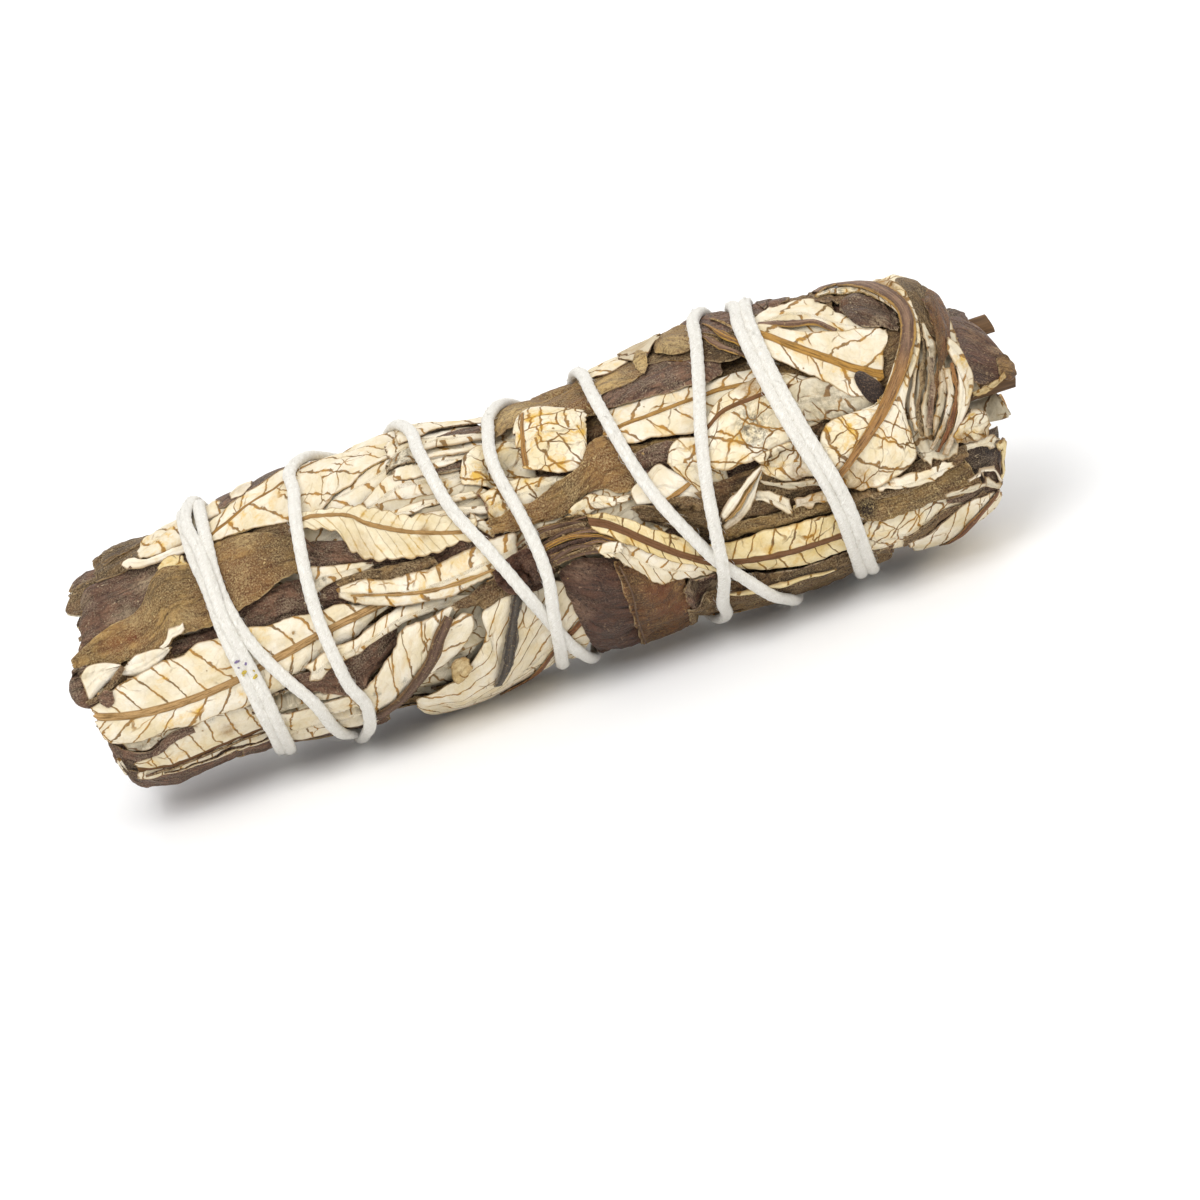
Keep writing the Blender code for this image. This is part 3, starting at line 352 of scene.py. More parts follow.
def felted_leaf(name, pale, shade, line, dark_line, halo, net, tint, side=0.9):
    """Underside of the leaf: a pale matt felt with brown veins, a net of finer ones between them."""
    material, tree, shader, blade, course, off_rib, to_margin, (ochre, soot, tan) = leaf_material(name)
    # in turn: the veins wander over 3 mm and shake over 0.9 mm, the net fades over 4 mm, the ground
    # is clouded over 3 mm, rubbed places are 0.7 mm across and the felt has tufts of 0.2 mm
    wander, shiver, fade, cloud, smut, felt = (
        add_node(tree, "TexNoise", {"Vector": blade, "Scale": scale, "Detail": detail, "Roughness": rough})
        for scale, detail, rough in ((0.33, 2, 0.5), (1.1, 2, 0.5), (0.26, 3, 0.5), (0.3, 5, 0.65), (1.4, 5, 0.75),
                                     (5, 4, 0.65)))
    stretched = add_node(tree, "Mapping", {"Vector": blade, "Scale": (0.5, 5, 1)})
    streaks = add_node(tree, "TexNoise", {"Vector": stretched, "Scale": 1, "Detail": 4, "Roughness": 0.7})
    moved = add_node(tree, "VectorMath", {0: wander.outputs["Color"], 1: (2.2, 2.2, 0)}, operation="MULTIPLY")
    moved = add_node(tree, "VectorMath", {0: shiver.outputs["Color"], 1: (0.6, 0.6, 0), 2: moved},
                     operation="MULTIPLY_ADD")
    shifted = add_node(tree, "VectorMath", {0: blade, 1: moved}, operation="ADD")
    blotch = add_node(tree, "TexNoise", {"Vector": shifted, "Scale": 0.55, "Detail": 4, "Roughness": 0.7})
    # polygons of the net, 2.4 mm and 1 mm across
    wide, fine = (add_node(tree, "TexVoronoi", {"Vector": shifted, "Scale": scale, "Randomness": randomness},
                           feature="DISTANCE_TO_EDGE", voronoi_dimensions="2D")
                  for scale, randomness in ((0.42, 0.95), (1.05, 1)))
    # side veins: the course passes a whole number at each
    shake = add_node(tree, "Math", {0: wander, 1: 0.5, 2: course}, operation="MULTIPLY_ADD")
    shake = add_node(tree, "Math", {0: shiver, 1: 0.28, 2: shake}, operation="MULTIPLY_ADD")
    apart = add_node(tree, "Math", {0: shake, 1: 0.5}, operation="PINGPONG")
    swell = add_node(tree, "MapRange", {"Value": shiver, "From Min": 0.3, "From Max": 0.7,
                                        "To Min": -0.018, "To Max": 0.022})
    swollen = add_node(tree, "Math", {0: apart, 1: swell}, operation="ADD")
    # soft-edged lines: the net's two sizes, side veins, the midrib, and the pillows between the veins
    wide_line, fine_line, side_line, on_rib, pillow = (
        add_node(tree, "MapRange", {"Value": source, "From Min": low, "From Max": high, "To Max": most},
                 interpolation_type="SMOOTHSTEP")
        for source, low, high, most in (
            (wide, 0.055, 0.018, 1), (fine, 0.12, 0.02, 0.3 * net), (swollen, 0.072, 0.034, 1),
            (off_rib, 1.12, 0.88, 1), (wide, 0, 0.3, 1)))
    # ochre bleeds out of the veins and lies in blotches; the margin is tan
    (wide_fade, fine_fade, rib_edge, cloud_span, wide_bleed, side_bleed, blotch_mask, smut_span, line_span,
     margin, streak_span) = (
        add_node(tree, "MapRange", {"Value": source, "From Min": low, "From Max": high, "To Max": most})
        for source, low, high, most in (
            (fade, 0.62 - 0.3 * net, 0.74 - 0.3 * net, 0.95), (shiver, 0.6, 0.4, 1), (off_rib, 0.45, 1, 1),
            (cloud, 0.38, 0.66, 1), (wide, 0.3, 0, net), (apart, 0.17, 0.03, 1), (blotch, 0.49, 0.66, 1),
            (smut, 0.42, 0.58, 1), (blotch, 0.4, 0.6, 1), (to_margin, 0.62, 0.9, 0.7), (streaks, 0.46, 0.6, 0.75)))
    brown_mask = add_node(tree, "Math", {0: smut_span, 1: 0.5, 2: 0.5}, operation="MULTIPLY_ADD")
    wide_mask, fine_mask, grey_amount, brown_amount, side_amount, rib_rim = (
        add_node(tree, "Math", {0: one, 1: other}, operation="MULTIPLY")
        for one, other in ((wide_line, wide_fade), (fine_line, fine_fade), (smut_span, soot), (brown_mask, tan),
                           (side_line, side), (rib_edge, 0.45)))
    bleed = add_node(tree, "Math", {0: wide_bleed, 1: side_bleed}, operation="MAXIMUM")
    bled = add_node(tree, "Math", {0: bleed, 1: blotch_mask}, operation="MULTIPLY")
    bled = add_node(tree, "Math", {0: ochre, 1: blotch_mask, 2: bled}, operation="MULTIPLY_ADD")
    halo_mask = add_node(tree, "Math", {0: bled, 1: tint}, operation="MULTIPLY", use_clamp=True)
    net_sum = add_node(tree, "Math", {0: wide_mask, 1: fine_mask}, operation="MAXIMUM")
    # colours, each laid over the ones before
    line_shade = add_node(tree, "Mix", {0: line_span, 6: dark_line, 7: line}, data_type="RGBA")
    rib_colour = add_node(tree, "Attribute", attribute_name="rib_tint")
    for mask in (streak_span, rib_rim):
        rib_colour = add_node(tree, "Mix", {0: mask, 6: rib_colour, 7: dark_line}, data_type="RGBA")
    skin = pale
    for mask, over in ((cloud_span, shade), (halo_mask, halo), (grey_amount, "#6F6757"), (brown_amount, "#957243"),
                       (net_sum, line_shade), (side_amount, line_shade), (margin, "#8C6734"), (on_rib, rib_colour)):
        skin = add_node(tree, "Mix", {0: mask, 6: skin, 7: over}, data_type="RGBA")
    # felt, the net and side veins that stand up as fine cords, the grain of the rib
    cords = add_node(tree, "Math", {0: side_line, 1: net_sum}, operation="MAXIMUM")
    relief = add_node(tree, "Math", {0: pillow, 1: 0.4}, operation="MULTIPLY")
    for height, amount in ((felt, 0.55), (cords, 0.3), (streaks, on_rib), (smut, 0.8)):
        relief = add_node(tree, "Math", {0: height, 1: amount, 2: relief}, operation="MULTIPLY_ADD")
    set_sockets(shader, {
        "Base Color": skin, "Specular IOR Level": 0.2,
        "Roughness": add_node(tree, "MapRange", {"Value": on_rib, "To Min": 0.9, "To Max": 0.65}),
        "Normal": add_node(tree, "Bump", {"Height": relief, "Distance": 0.00018, "Strength": 0.85})})
    return material


def leathery_leaf(name, ground, patch, deep, fleck, roughness, grain, flecks, shine=0.25, blush="#6A4630"):
    """Upper side of the leaf: leathery, wrinkled along its length, gritty with dried resin, with painted shade in the
    grit's pits and the wrinkles' grooves.
    """
    material, tree, shader, blade, course, off_rib, to_margin, (ochre, soot, tan) = leaf_material(name)
    # patches 3 mm long, wrinkles 0.5 mm apart, grit of 0.15 to 0.4 mm, red-brown patches 6 mm
    # across, dust of 0.2 mm and crumbs of 0.7 mm
    long_way = add_node(tree, "Mapping", {"Vector": blade, "Scale": (0.3, 1.6, 1)})
    clouds, streaks, grit, veil, dust, crumbs = (
        add_node(tree, "TexNoise", {"Vector": source, "Scale": scale, "Detail": detail, "Roughness": rough,
                                    "Distortion": distortion})
        for source, scale, detail, rough, distortion in (
            (blade, 0.32, 5, 0.6, 0.6), (long_way, 0.9, 5, 0.68, 0.5), (blade, 2.2, 6, 0.8, 0),
            (blade, 0.17, 4, 0.6, 0.8), (blade, 5.2, 4, 0.75, 0), (blade, 1.5, 2, 0.5, 1.5)))
    # the sunken net of veins, 2 to 3 mm across
    shifted = add_node(tree, "VectorMath", {0: clouds.outputs["Color"], 1: (2.4, 2.4, 0), 2: blade},
                       operation="MULTIPLY_ADD")
    longer = add_node(tree, "Mapping", {"Vector": shifted, "Scale": (0.32, 0.62, 1)})
    net = add_node(tree, "TexVoronoi", {"Vector": longer, "Scale": 1, "Randomness": 0.9},
                   feature="DISTANCE_TO_EDGE", voronoi_dimensions="2D")
    net_line, pillow = (
        add_node(tree, "MapRange", {"Value": net, "From Min": low, "From Max": high, "To Max": most},
                 interpolation_type="SMOOTHSTEP")
        for low, high, most in ((0.09, 0.01, 0.5), (0, 0.25, 0.9)))
    crests = add_node(tree, "Math", {0: clouds, 1: 0.45, 2: dust}, operation="MULTIPLY_ADD")
    ragged = add_node(tree, "Math", {0: grit, 1: 0.5, 2: to_margin}, operation="MULTIPLY_ADD")
    # painted shade: the deep colour fills the pits of the grit, and the lengthwise streaks are the leaf's striped tone
    # plus painted shade, since the bump sinks them as wrinkle grooves
    (cloud_span, streak_span, veil_span, grit_pit_painted_shade, rubbed_span, pale_dust, crumb_span, on_rib, margin,
     patchy) = (
        add_node(tree, "MapRange", {"Value": source, "From Min": low, "From Max": high, "To Max": most})
        for source, low, high, most in (
            (clouds, 0.44, 0.55, 1), (streaks, 0.49, 0.62, 0.85), (veil, 0.48, 0.58, 0.55), (grit, 0.5, 0.4, 0.5),
            (grit, 0.42, 0.56, 1), (crests, 0.71 - 0.1 * flecks, 0.95 - 0.1 * flecks, 0.75),
            (crumbs, 0.68, 0.72, 0.9), (off_rib, 1.15, 0.8, 0.8), (ragged, 0.95, 1.2, 0.7), (crumbs, 0.42, 0.6, 1)))
    rubbed, part_margin = (add_node(tree, "Math", {0: one, 1: other}, operation="MULTIPLY")
                           for one, other in ((rubbed_span, tan), (margin, patchy)))
    skin = ground
    for mask, over in ((cloud_span, patch), (streak_span, deep), (veil_span, blush), (net_line, deep),
                       (grit_pit_painted_shade, deep), (ochre, "#7A4427"), (soot, "#2E221B"), (rubbed, fleck),
                       (pale_dust, fleck), (crumb_span, fleck), (on_rib, deep), (part_margin, fleck)):
        skin = add_node(tree, "Mix", {0: mask, 6: skin, 7: over}, data_type="RGBA")
    relief = grit
    for height, amount in ((streaks, -1.3), (clouds, 1.2)):
        relief = add_node(tree, "Math", {0: height, 1: amount, 2: relief}, operation="MULTIPLY_ADD")
    relief = add_node(tree, "Math", {0: relief, 1: pillow}, operation="ADD")
    set_sockets(shader, {
        "Base Color": skin, "Specular IOR Level": shine,
        "Roughness": add_node(tree, "MapRange", {"Value": grit, "From Min": 0.35, "From Max": 0.65,
                                                 "To Min": roughness - 0.14, "To Max": roughness + 0.14}),
        "Normal": add_node(tree, "Bump", {"Height": relief, "Distance": 0.00012 * grain, "Strength": 1})})
    return material


def dry_midrib(name, centre, flank, gold):
    """A bare midrib: ridged along its length, darker on the flanks, often with a golden edge."""
    material, tree, shader, blade, course, off_rib, to_margin, (ochre, soot, tan) = leaf_material(name)
    # fibres 0.2 mm apart, clouds 2 mm long and grit of 0.3 mm
    long_way = add_node(tree, "Mapping", {"Vector": blade, "Scale": (0.35, 5, 1)})
    fibres, clouds, grit = (
        add_node(tree, "TexNoise", {"Vector": source, "Scale": scale, "Detail": detail, "Roughness": rough})
        for source, scale, detail, rough in ((long_way, 1, 5, 0.7), (blade, 0.5, 5, 0.7), (blade, 3.2, 4, 0.75)))
    shaken = add_node(tree, "Math", {0: clouds, 1: 0.9, 2: off_rib}, operation="MULTIPLY_ADD")
    flank_span, gold_span, dark_span, pale_span = (
        add_node(tree, "MapRange", {"Value": source, "From Min": low, "From Max": high, "To Max": most})
        for source, low, high, most in ((shaken, 0.6, 1.05, 1), (shaken, 1.12, 1.3, 0.85),
                                        (fibres, 0.48, 0.62, 0.75), (grit, 0.56, 0.66, 0.65)))
    gilt = add_node(tree, "Math", {0: ochre, 1: 0.85}, operation="MULTIPLY")
    skin = centre
    for mask, over in ((flank_span, flank), (gold_span, gold), (gilt, "#B07F42"), (dark_span, "#3A2718"),
                       (pale_span, "#B79C6C")):
        skin = add_node(tree, "Mix", {0: mask, 6: skin, 7: over}, data_type="RGBA")
    relief = add_node(tree, "Math", {0: grit, 1: 0.5, 2: fibres}, operation="MULTIPLY_ADD")
    set_sockets(shader, {
        "Base Color": skin, "Roughness": 0.55, "Specular IOR Level": 0.3,
        "Normal": add_node(tree, "Bump", {"Height": relief, "Distance": 0.0003, "Strength": 1})})
    return material


# the underside keeps its felt: cream where sound, yellow to ochre where resin has soaked it
cream_felt = felted_leaf("leaf_underside_cream_felt", "#ECE2CE", "#DCCBA5", "#A87730", "#6E5024", "#DBB35A", 0.35,
                         0.75)
plain_felt = felted_leaf("leaf_underside_plain_felt", "#F1E8D6", "#E2D3B4", "#B08A4E", "#8A6534", "#D9B463", 0.0,
                         0.35, 0.0)
yellow_felt = felted_leaf("leaf_underside_yellowed_felt", "#EBDAB0", "#D6BC7E", "#9C6F2C", "#5E4020", "#D2A54C", 0.4,
                          0.8)
grey_felt = felted_leaf("leaf_underside_greyed_felt", "#DBD0B8", "#BFB090", "#8F6A38", "#5A3E24", "#C79F55", 0.4, 0.6)
netted_felt = felted_leaf("leaf_underside_netted_felt", "#EEE4CE", "#E0CEA4", "#A0712C", "#674822", "#D8AF54", 0.9,
                          0.88)
pleated_felt = felted_leaf("leaf_underside_pleated_felt", "#EBDFC2", "#D2BE92", "#A9854C", "#8C6A3C", "#CFA95C", 0.0,
                           0.8, 0.35)
# the upper side is bare leather, browned and sticky with resin that grit and fluff hold to
olive_leather = leathery_leaf("leaf_upper_side_olive", "#C29C60", "#86613A", "#4E3420", "#DABE86", 0.68, 2.6, 0.3)
dark_leather = leathery_leaf("leaf_upper_side_dark", "#8E6A53", "#60443A", "#34231A", "#C2AB8A", 0.6, 2.6, 0.15,
                             0.25, "#5A3E34")
resin_leather = leathery_leaf("leaf_upper_side_resinous", "#624231", "#432B1F", "#23150E", "#94765E", 0.38, 2.6, 0.0,
                              0.35, "#52301F")
rust_leather = leathery_leaf("leaf_upper_side_rust", "#7E5836", "#533722", "#2E1B10", "#B48E5A", 0.48, 2.6, 0.15,
                             0.35, "#7A4A26")
red_leather = leathery_leaf("leaf_upper_side_red_brown", "#6E4C3D", "#4E3329", "#2B1A14", "#BB9B76", 0.46, 2.2, 0.1,
                            0.35, "#5E3A30")
brown_leather = leathery_leaf("leaf_upper_side_brown", "#94764E", "#63492F", "#352418", "#CBB083", 0.6, 2.8, 0.3)
tan_midrib = dry_midrib("midrib_tan", "#C49A62", "#A07A48", "#D2AA5A")
gold_midrib = dry_midrib("midrib_golden", "#B5853A", "#7A553C", "#C99A3C")
brown_midrib = dry_midrib("midrib_brown", "#94745C", "#6E5140", "#BE934A")
dark_midrib = dry_midrib("midrib_dark", "#735847", "#57402F", "#80613D")
rust_midrib = dry_midrib("midrib_rust", "#8E5A33", "#643D28", "#A8733A")
charcoal_stalk = dry_midrib("stalk_charcoal", "#59524A", "#403A35", "#7B7060")


def no_marks(shape):
    return np.zeros((*shape, 4))


def twig_spot(node):
    """Turn round the axis and distance from it of a twig's centre line."""
    low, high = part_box(node)
    over, up = AXIS_Y - (low.y + high.y) / 2 / MM, (low.z + high.z) / 2 / MM - AXIS_HEIGHT
    return math.atan2(up, over), math.hypot(over, up)


SHORT_TWIG_TURN, SHORT_TWIG_AWAY = twig_spot("stem_3")


def rolled_leaf(name, node, start, end, degrees, half_turn, radius_at, thickness, finishes, seed, rows=64):
    """A leaf rolled round what is inside it, with torn slanting ends. Its waves nest in the next leaf's."""
    halfway = float(np.mean(radius_at(np.array([50.0]), np.array([1.5]))))
    columns = int(math.radians(2 * half_turn) * halfway / 0.6) + 3
    share, side = np.meshgrid(0.5 - 0.5 * np.cos(math.pi * np.linspace(0, 1, rows)), np.linspace(-1, 1, columns),
                              indexing="ij")
    turn = np.radians(degrees + half_turn * side)
    torn = 1.3 * ripple(turn * 9, 0 * turn, 5, seed)
    along = start + 1.2 + torn * (1 - share) * 0.6 + (end - start - 2.0) * share + torn * share * 0.5
    radius = radius_at(along, turn) * (1 + 0.034 * np.sin(5 * turn + along / 9) + 0.026 * np.sin(9 * turn - along / 6)
                                       + 0.016 * np.sin(17 * turn + along / 4))
    # makes way for the short twig
    beside = radius * ((turn - SHORT_TWIG_TURN + math.pi) % FULL_TURN - math.pi)
    room = np.sqrt(np.maximum(1.5**2 - beside**2, 0)) * (along > 60)
    off = radius - SHORT_TWIG_AWAY
    radius = SHORT_TWIG_AWAY + np.sign(off) * np.maximum(np.abs(off), room + 0.4 * np.abs(off))
    uv = np.stack([along + seed * 31, turn * 9], axis=-1)
    veins = np.stack([(along - 0.7 * np.abs(side) * 5) / 3, np.full_like(along, 9.0)], axis=-1)
    points = place(along, turn, radius)
    piece = sheet_piece(name, points, np.full(along.shape, thickness), uv, veins, no_marks(along.shape), finishes)
    fill_up(along, turn, radius)
    if node:
        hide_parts(node)
    return piece


for number, (start, end, degrees, half_turn, radius, finishes) in enumerate((
    (0.8, 98.0, 100, 82, 4.7, (grey_felt, brown_leather)),
    (2.0, 97.2, 280, 80, 4.7, (brown_leather, grey_felt)),
    (0.5, 96.6, 10, 70, 6.7, (grey_felt, dark_leather)),
    (1.2, 96.0, 190, 58, 6.7, (olive_leather, grey_felt)),
), 1):
    piece = rolled_leaf(f"rolled_leaf_{number}", f"inner_leaf_{number}", start, end, degrees, half_turn,
                        lambda s, a, r=radius: r + 0 * s, 0.45, finishes, 40 + number)

for number, (start, end, degrees) in enumerate(((0.6, 95.0, 20), (1.5, 94.2, 112), (0.8, 95.6, 204),
                                                (1.8, 94.6, 292)), 1):
    piece = rolled_leaf(f"dark_lining_leaf_{number}", f"dark_under_leaf_{number}", start, end, degrees, 50,
                        lambda s, a: reach_of(s, a) - 4.7, 0.4, (dark_leather, grey_felt), 60 + number)

# thinner leaves fill the spaces between those rings and bend round the short twig:
# inner limit, outer limit, layers
draw = np.random.default_rng(19)
core_finishes = (grey_felt, brown_leather, cream_felt, dark_leather, olive_leather, yellow_felt, red_leather)
core_number = 0
for inner_limit, outer_limit, layers in (
    (lambda s, a: 3.72 + 0 * s, lambda s, a: 3.73 + 0 * s, 1),
    (lambda s, a: 4.9 + 0 * s, lambda s, a: 6.25 + 0 * s, 3),
    (lambda s, a: 6.85 + 0 * s, lambda s, a: np.maximum(reach_of(s, a) - 5.2, 7.2), 5),
    (lambda s, a: reach_of(s, a) - 4.55, lambda s, a: reach_of(s, a) - 2.95, 4),
):
    for layer in range(layers):
        share_out = (layer + 0.5) / layers
        first = draw.uniform(0, 360)
        for part in range(2):
            core_number += 1
            half_turn = draw.uniform(80, 89)
            finish, lining = (core_finishes[(core_number * 3 + i) % len(core_finishes)] for i in (0, 2))
            piece = rolled_leaf(f"core_leaf_{core_number:02d}", None, draw.uniform(0.7, 3.2),
                                draw.uniform(94.6, 97.2) - 0.5 * (layers == 4), first + 180 * part, half_turn,
                                lambda s, a: inner_limit(s, a) * (1 - share_out) + outer_limit(s, a) * share_out,
                                0.2, (finish, lining), 300 + core_number, 32)

# the smallest leaves are rolled up tight beside the twigs
first_turn, second_turn = (twig_spot(node)[0] for node in ("stem_1", "stem_2"))
sense = 1 if math.sin(first_turn - second_turn) > 0 else -1
for number, (start, end, turn, away, thickest, finish, lining) in enumerate((
    (1.4, 97.8, first_turn + sense * math.radians(152), 2.15, 1.25, cream_felt, brown_leather),
    (0.9, 98.6, second_turn - sense * math.radians(62), 2.4, 0.95, olive_leather, cream_felt),
    (1.8, 96.4, first_turn, 0.05, 0.6, brown_leather, grey_felt),
    (1.1, 97.0, first_turn + sense * math.radians(78), 2.3, 1.15, dark_leather, cream_felt),
), 1):
    share, wound = np.meshgrid(np.linspace(0, 1, 40), np.linspace(0, 1, 46), indexing="ij")
    along = start + 0.5 * ripple(wound * 5, 0 * wound, 2.5, number) * (1 - share) + (end - start) * share
    spiral_turn = number + 2.7 * FULL_TURN * wound
    spiral_radius = (0.14 + (thickest - 0.14) * wound) * (1 + 0.05 * np.sin(3 * spiral_turn + along / 8))
    centre = place(along, turn + 0 * along, away + 0 * along)
    centre[..., 1] += spiral_radius * np.cos(spiral_turn) * MM
    centre[..., 2] += spiral_radius * np.sin(spiral_turn) * MM
    uv = np.stack([along + number * 50, 8 * wound], axis=-1)
    piece = sheet_piece(f"rolled_up_leaf_{number}", centre, np.full(along.shape, 0.15), uv,
                        np.stack([along / 3, np.full_like(along, 9.0)], axis=-1), no_marks(along.shape),
                        (finish, lining))


# two torn leaves lie folded across the middle, between the twigs
for number, (middle, slope, finish) in enumerate(((36.0, 1.1, dark_leather), (66.0, -0.9, brown_leather)), 1):
    away, turn = np.meshgrid(np.linspace(0.05, 4.2, 12), np.linspace(0, FULL_TURN, 49), indexing="ij")
    torn_edge = ripple(away * np.cos(turn), away * np.sin(turn), 2.5, number)
    along = middle + slope * away * np.cos(turn) + 0.25 * torn_edge
    uv = np.stack([away * np.cos(turn) + number * 30, away * np.sin(turn)], axis=-1)
    piece = sheet_piece(f"wedged_leaf_{number}", place(along, turn, away), np.full(along.shape, 0.2), uv,
                        np.stack([away, np.full_like(away, 9.0)], axis=-1), no_marks(along.shape),
                        (finish, grey_felt))


# --- Filling leaves -----------------------------------------------------------------------------
# Dry leaves of every shade, laid along the bundle under the cover leaves. Only their edges and
# folds show, in the gaps. Each is draped on those below it, and bridges their small hollows.

def smooth_line(points, count):
    """Dense points along a smooth curve through the stations of a leaf."""
    points = np.array(points, float)
    padded = np.vstack([2 * points[0] - points[1], points, 2 * points[-1] - points[-2]])
    fine = []
    for a, b, c, d in zip(padded, padded[1:], padded[2:], padded[3:]):
        for t in np.linspace(0, 1, 24, endpoint=False):
            fine.append(0.5 * (2 * b + (c - a) * t + (2 * a - 5 * b + 4 * c - d) * t**2
                               + (3 * b - a - 3 * c + d) * t**3))
    fine.append(points[-1])
    fine = np.array(fine)
    travelled = np.concatenate([[0], np.cumsum(np.hypot(*np.diff(fine[:, :2], axis=0).T))])
    wanted = np.linspace(0, travelled[-1], count)
    return np.stack([np.interp(wanted, travelled, column) for column in fine.T], axis=1), travelled[-1]


def unrolled(points):
    """(along, height) on the front view to (along, length round the surface)."""
    points = np.array(points, float)
    points[:, 1] = turn_of(points[:, 0], points[:, 1]) * UNROLLED_RADIUS
    return points


def along_rib(*line):
    """A leaf drawn as (along, height, width above, width below if it differs) from foot to tip."""
    layout = unrolled([station if len(station) == 4 else (*station, station[2]) for station in line])
    dense, length = smooth_line(layout, 300)
    slope = np.gradient(dense[:, :2], axis=0)
    slope /= np.linalg.norm(slope, axis=1)[:, None]
    across = np.stack([-slope[:, 1], slope[:, 0]], axis=1)
    return dense[:, :2], dense[:, :2] + across * dense[:, 2:3], dense[:, :2] - across * dense[:, 3:4], length


def fold(points, width, end_width):
    """A narrow fold drawn by its crest, thinner at its two ends."""
    widths = (end_width, *[width] * (len(points) - 2), end_width)
    return along_rib(*((*point, wide) for point, wide in zip(points, widths)))


def between(upper, lower, rib=None):
    """A leaf drawn by its two margins, and its midrib if that isn't halfway."""
    high, _ = smooth_line(unrolled(upper), 300)
    low, _ = smooth_line(unrolled(lower), 300)
    middle = smooth_line(unrolled(rib), 300)[0] if rib else (high + low) / 2
    length = np.hypot(*np.diff(middle, axis=0).T).sum()
    return middle, high, low, length


def round_the_back(start, end, degrees, half_width, drift, blunt=0.7):
    """A leaf away from the front, by its turn round the axis and how far it drifts."""
    share = np.linspace(0, 1, 300)
    along = start + (end - start) * share
    turn = np.radians(degrees + drift * (share - 0.5) + 4 * np.sin(share * 5 + degrees)) * UNROLLED_RADIUS
    width = half_width * np.sin(math.pi * (0.04 + 0.92 * share)) ** blunt
    middle = np.stack([along, turn], axis=1)
    wide = np.stack([0 * width, width], axis=1)
    return middle, middle + wide, middle - wide, end - start


def solid_reach(node, along, turn):
    """Radius of the outer face of a CAD leaf under each point, carried on past its margins."""
    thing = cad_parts[node]
    corners = [vertex.co[:] for vertex in thing.data.vertices]
    tree = BVHTree.FromPolygons(corners, [face.vertices[:] for face in thing.data.polygons])
    reach = np.full(along.shape, np.nan)
    for spot in np.ndindex(*along.shape):
        out = Vector((0, -math.cos(turn[spot]), math.sin(turn[spot])))
        axis = Vector(((along[spot] - MIDDLE) * MM, AXIS_Y * MM, AXIS_HEIGHT * MM))
        hit = tree.ray_cast(axis + out * 0.024, -out, 0.024)
        if hit[0] is not None:
            reach[spot] = 24 - hit[3] / MM
            continue
        near = tree.find_nearest(axis + out * 0.0145)[0]
        reach[spot] = math.hypot(near.y - AXIS_Y * MM, near.z - AXIS_HEIGHT * MM) / MM
    return reach


def vein_course(u, v, feet, slant, bend):
    """Counts side veins: whole numbers on them. feet are their starts along the midrib, in mm."""
    start = u - slant * np.abs(v) - bend * v * v
    feet = np.sort(np.array(feet, float))
    pitch = max((feet[-1] - feet[0]) / max(len(feet) - 1, 1), 0.5)
    count = np.interp(start, feet, np.arange(len(feet)))
    count = np.where(start < feet[0], (start - feet[0]) / pitch, count)
    return np.where(start > feet[-1], len(feet) - 1 + (start - feet[-1]) / pitch, count)


OCHRE, SOOT, TAN = 0, 1, 2
leaf_number = 0


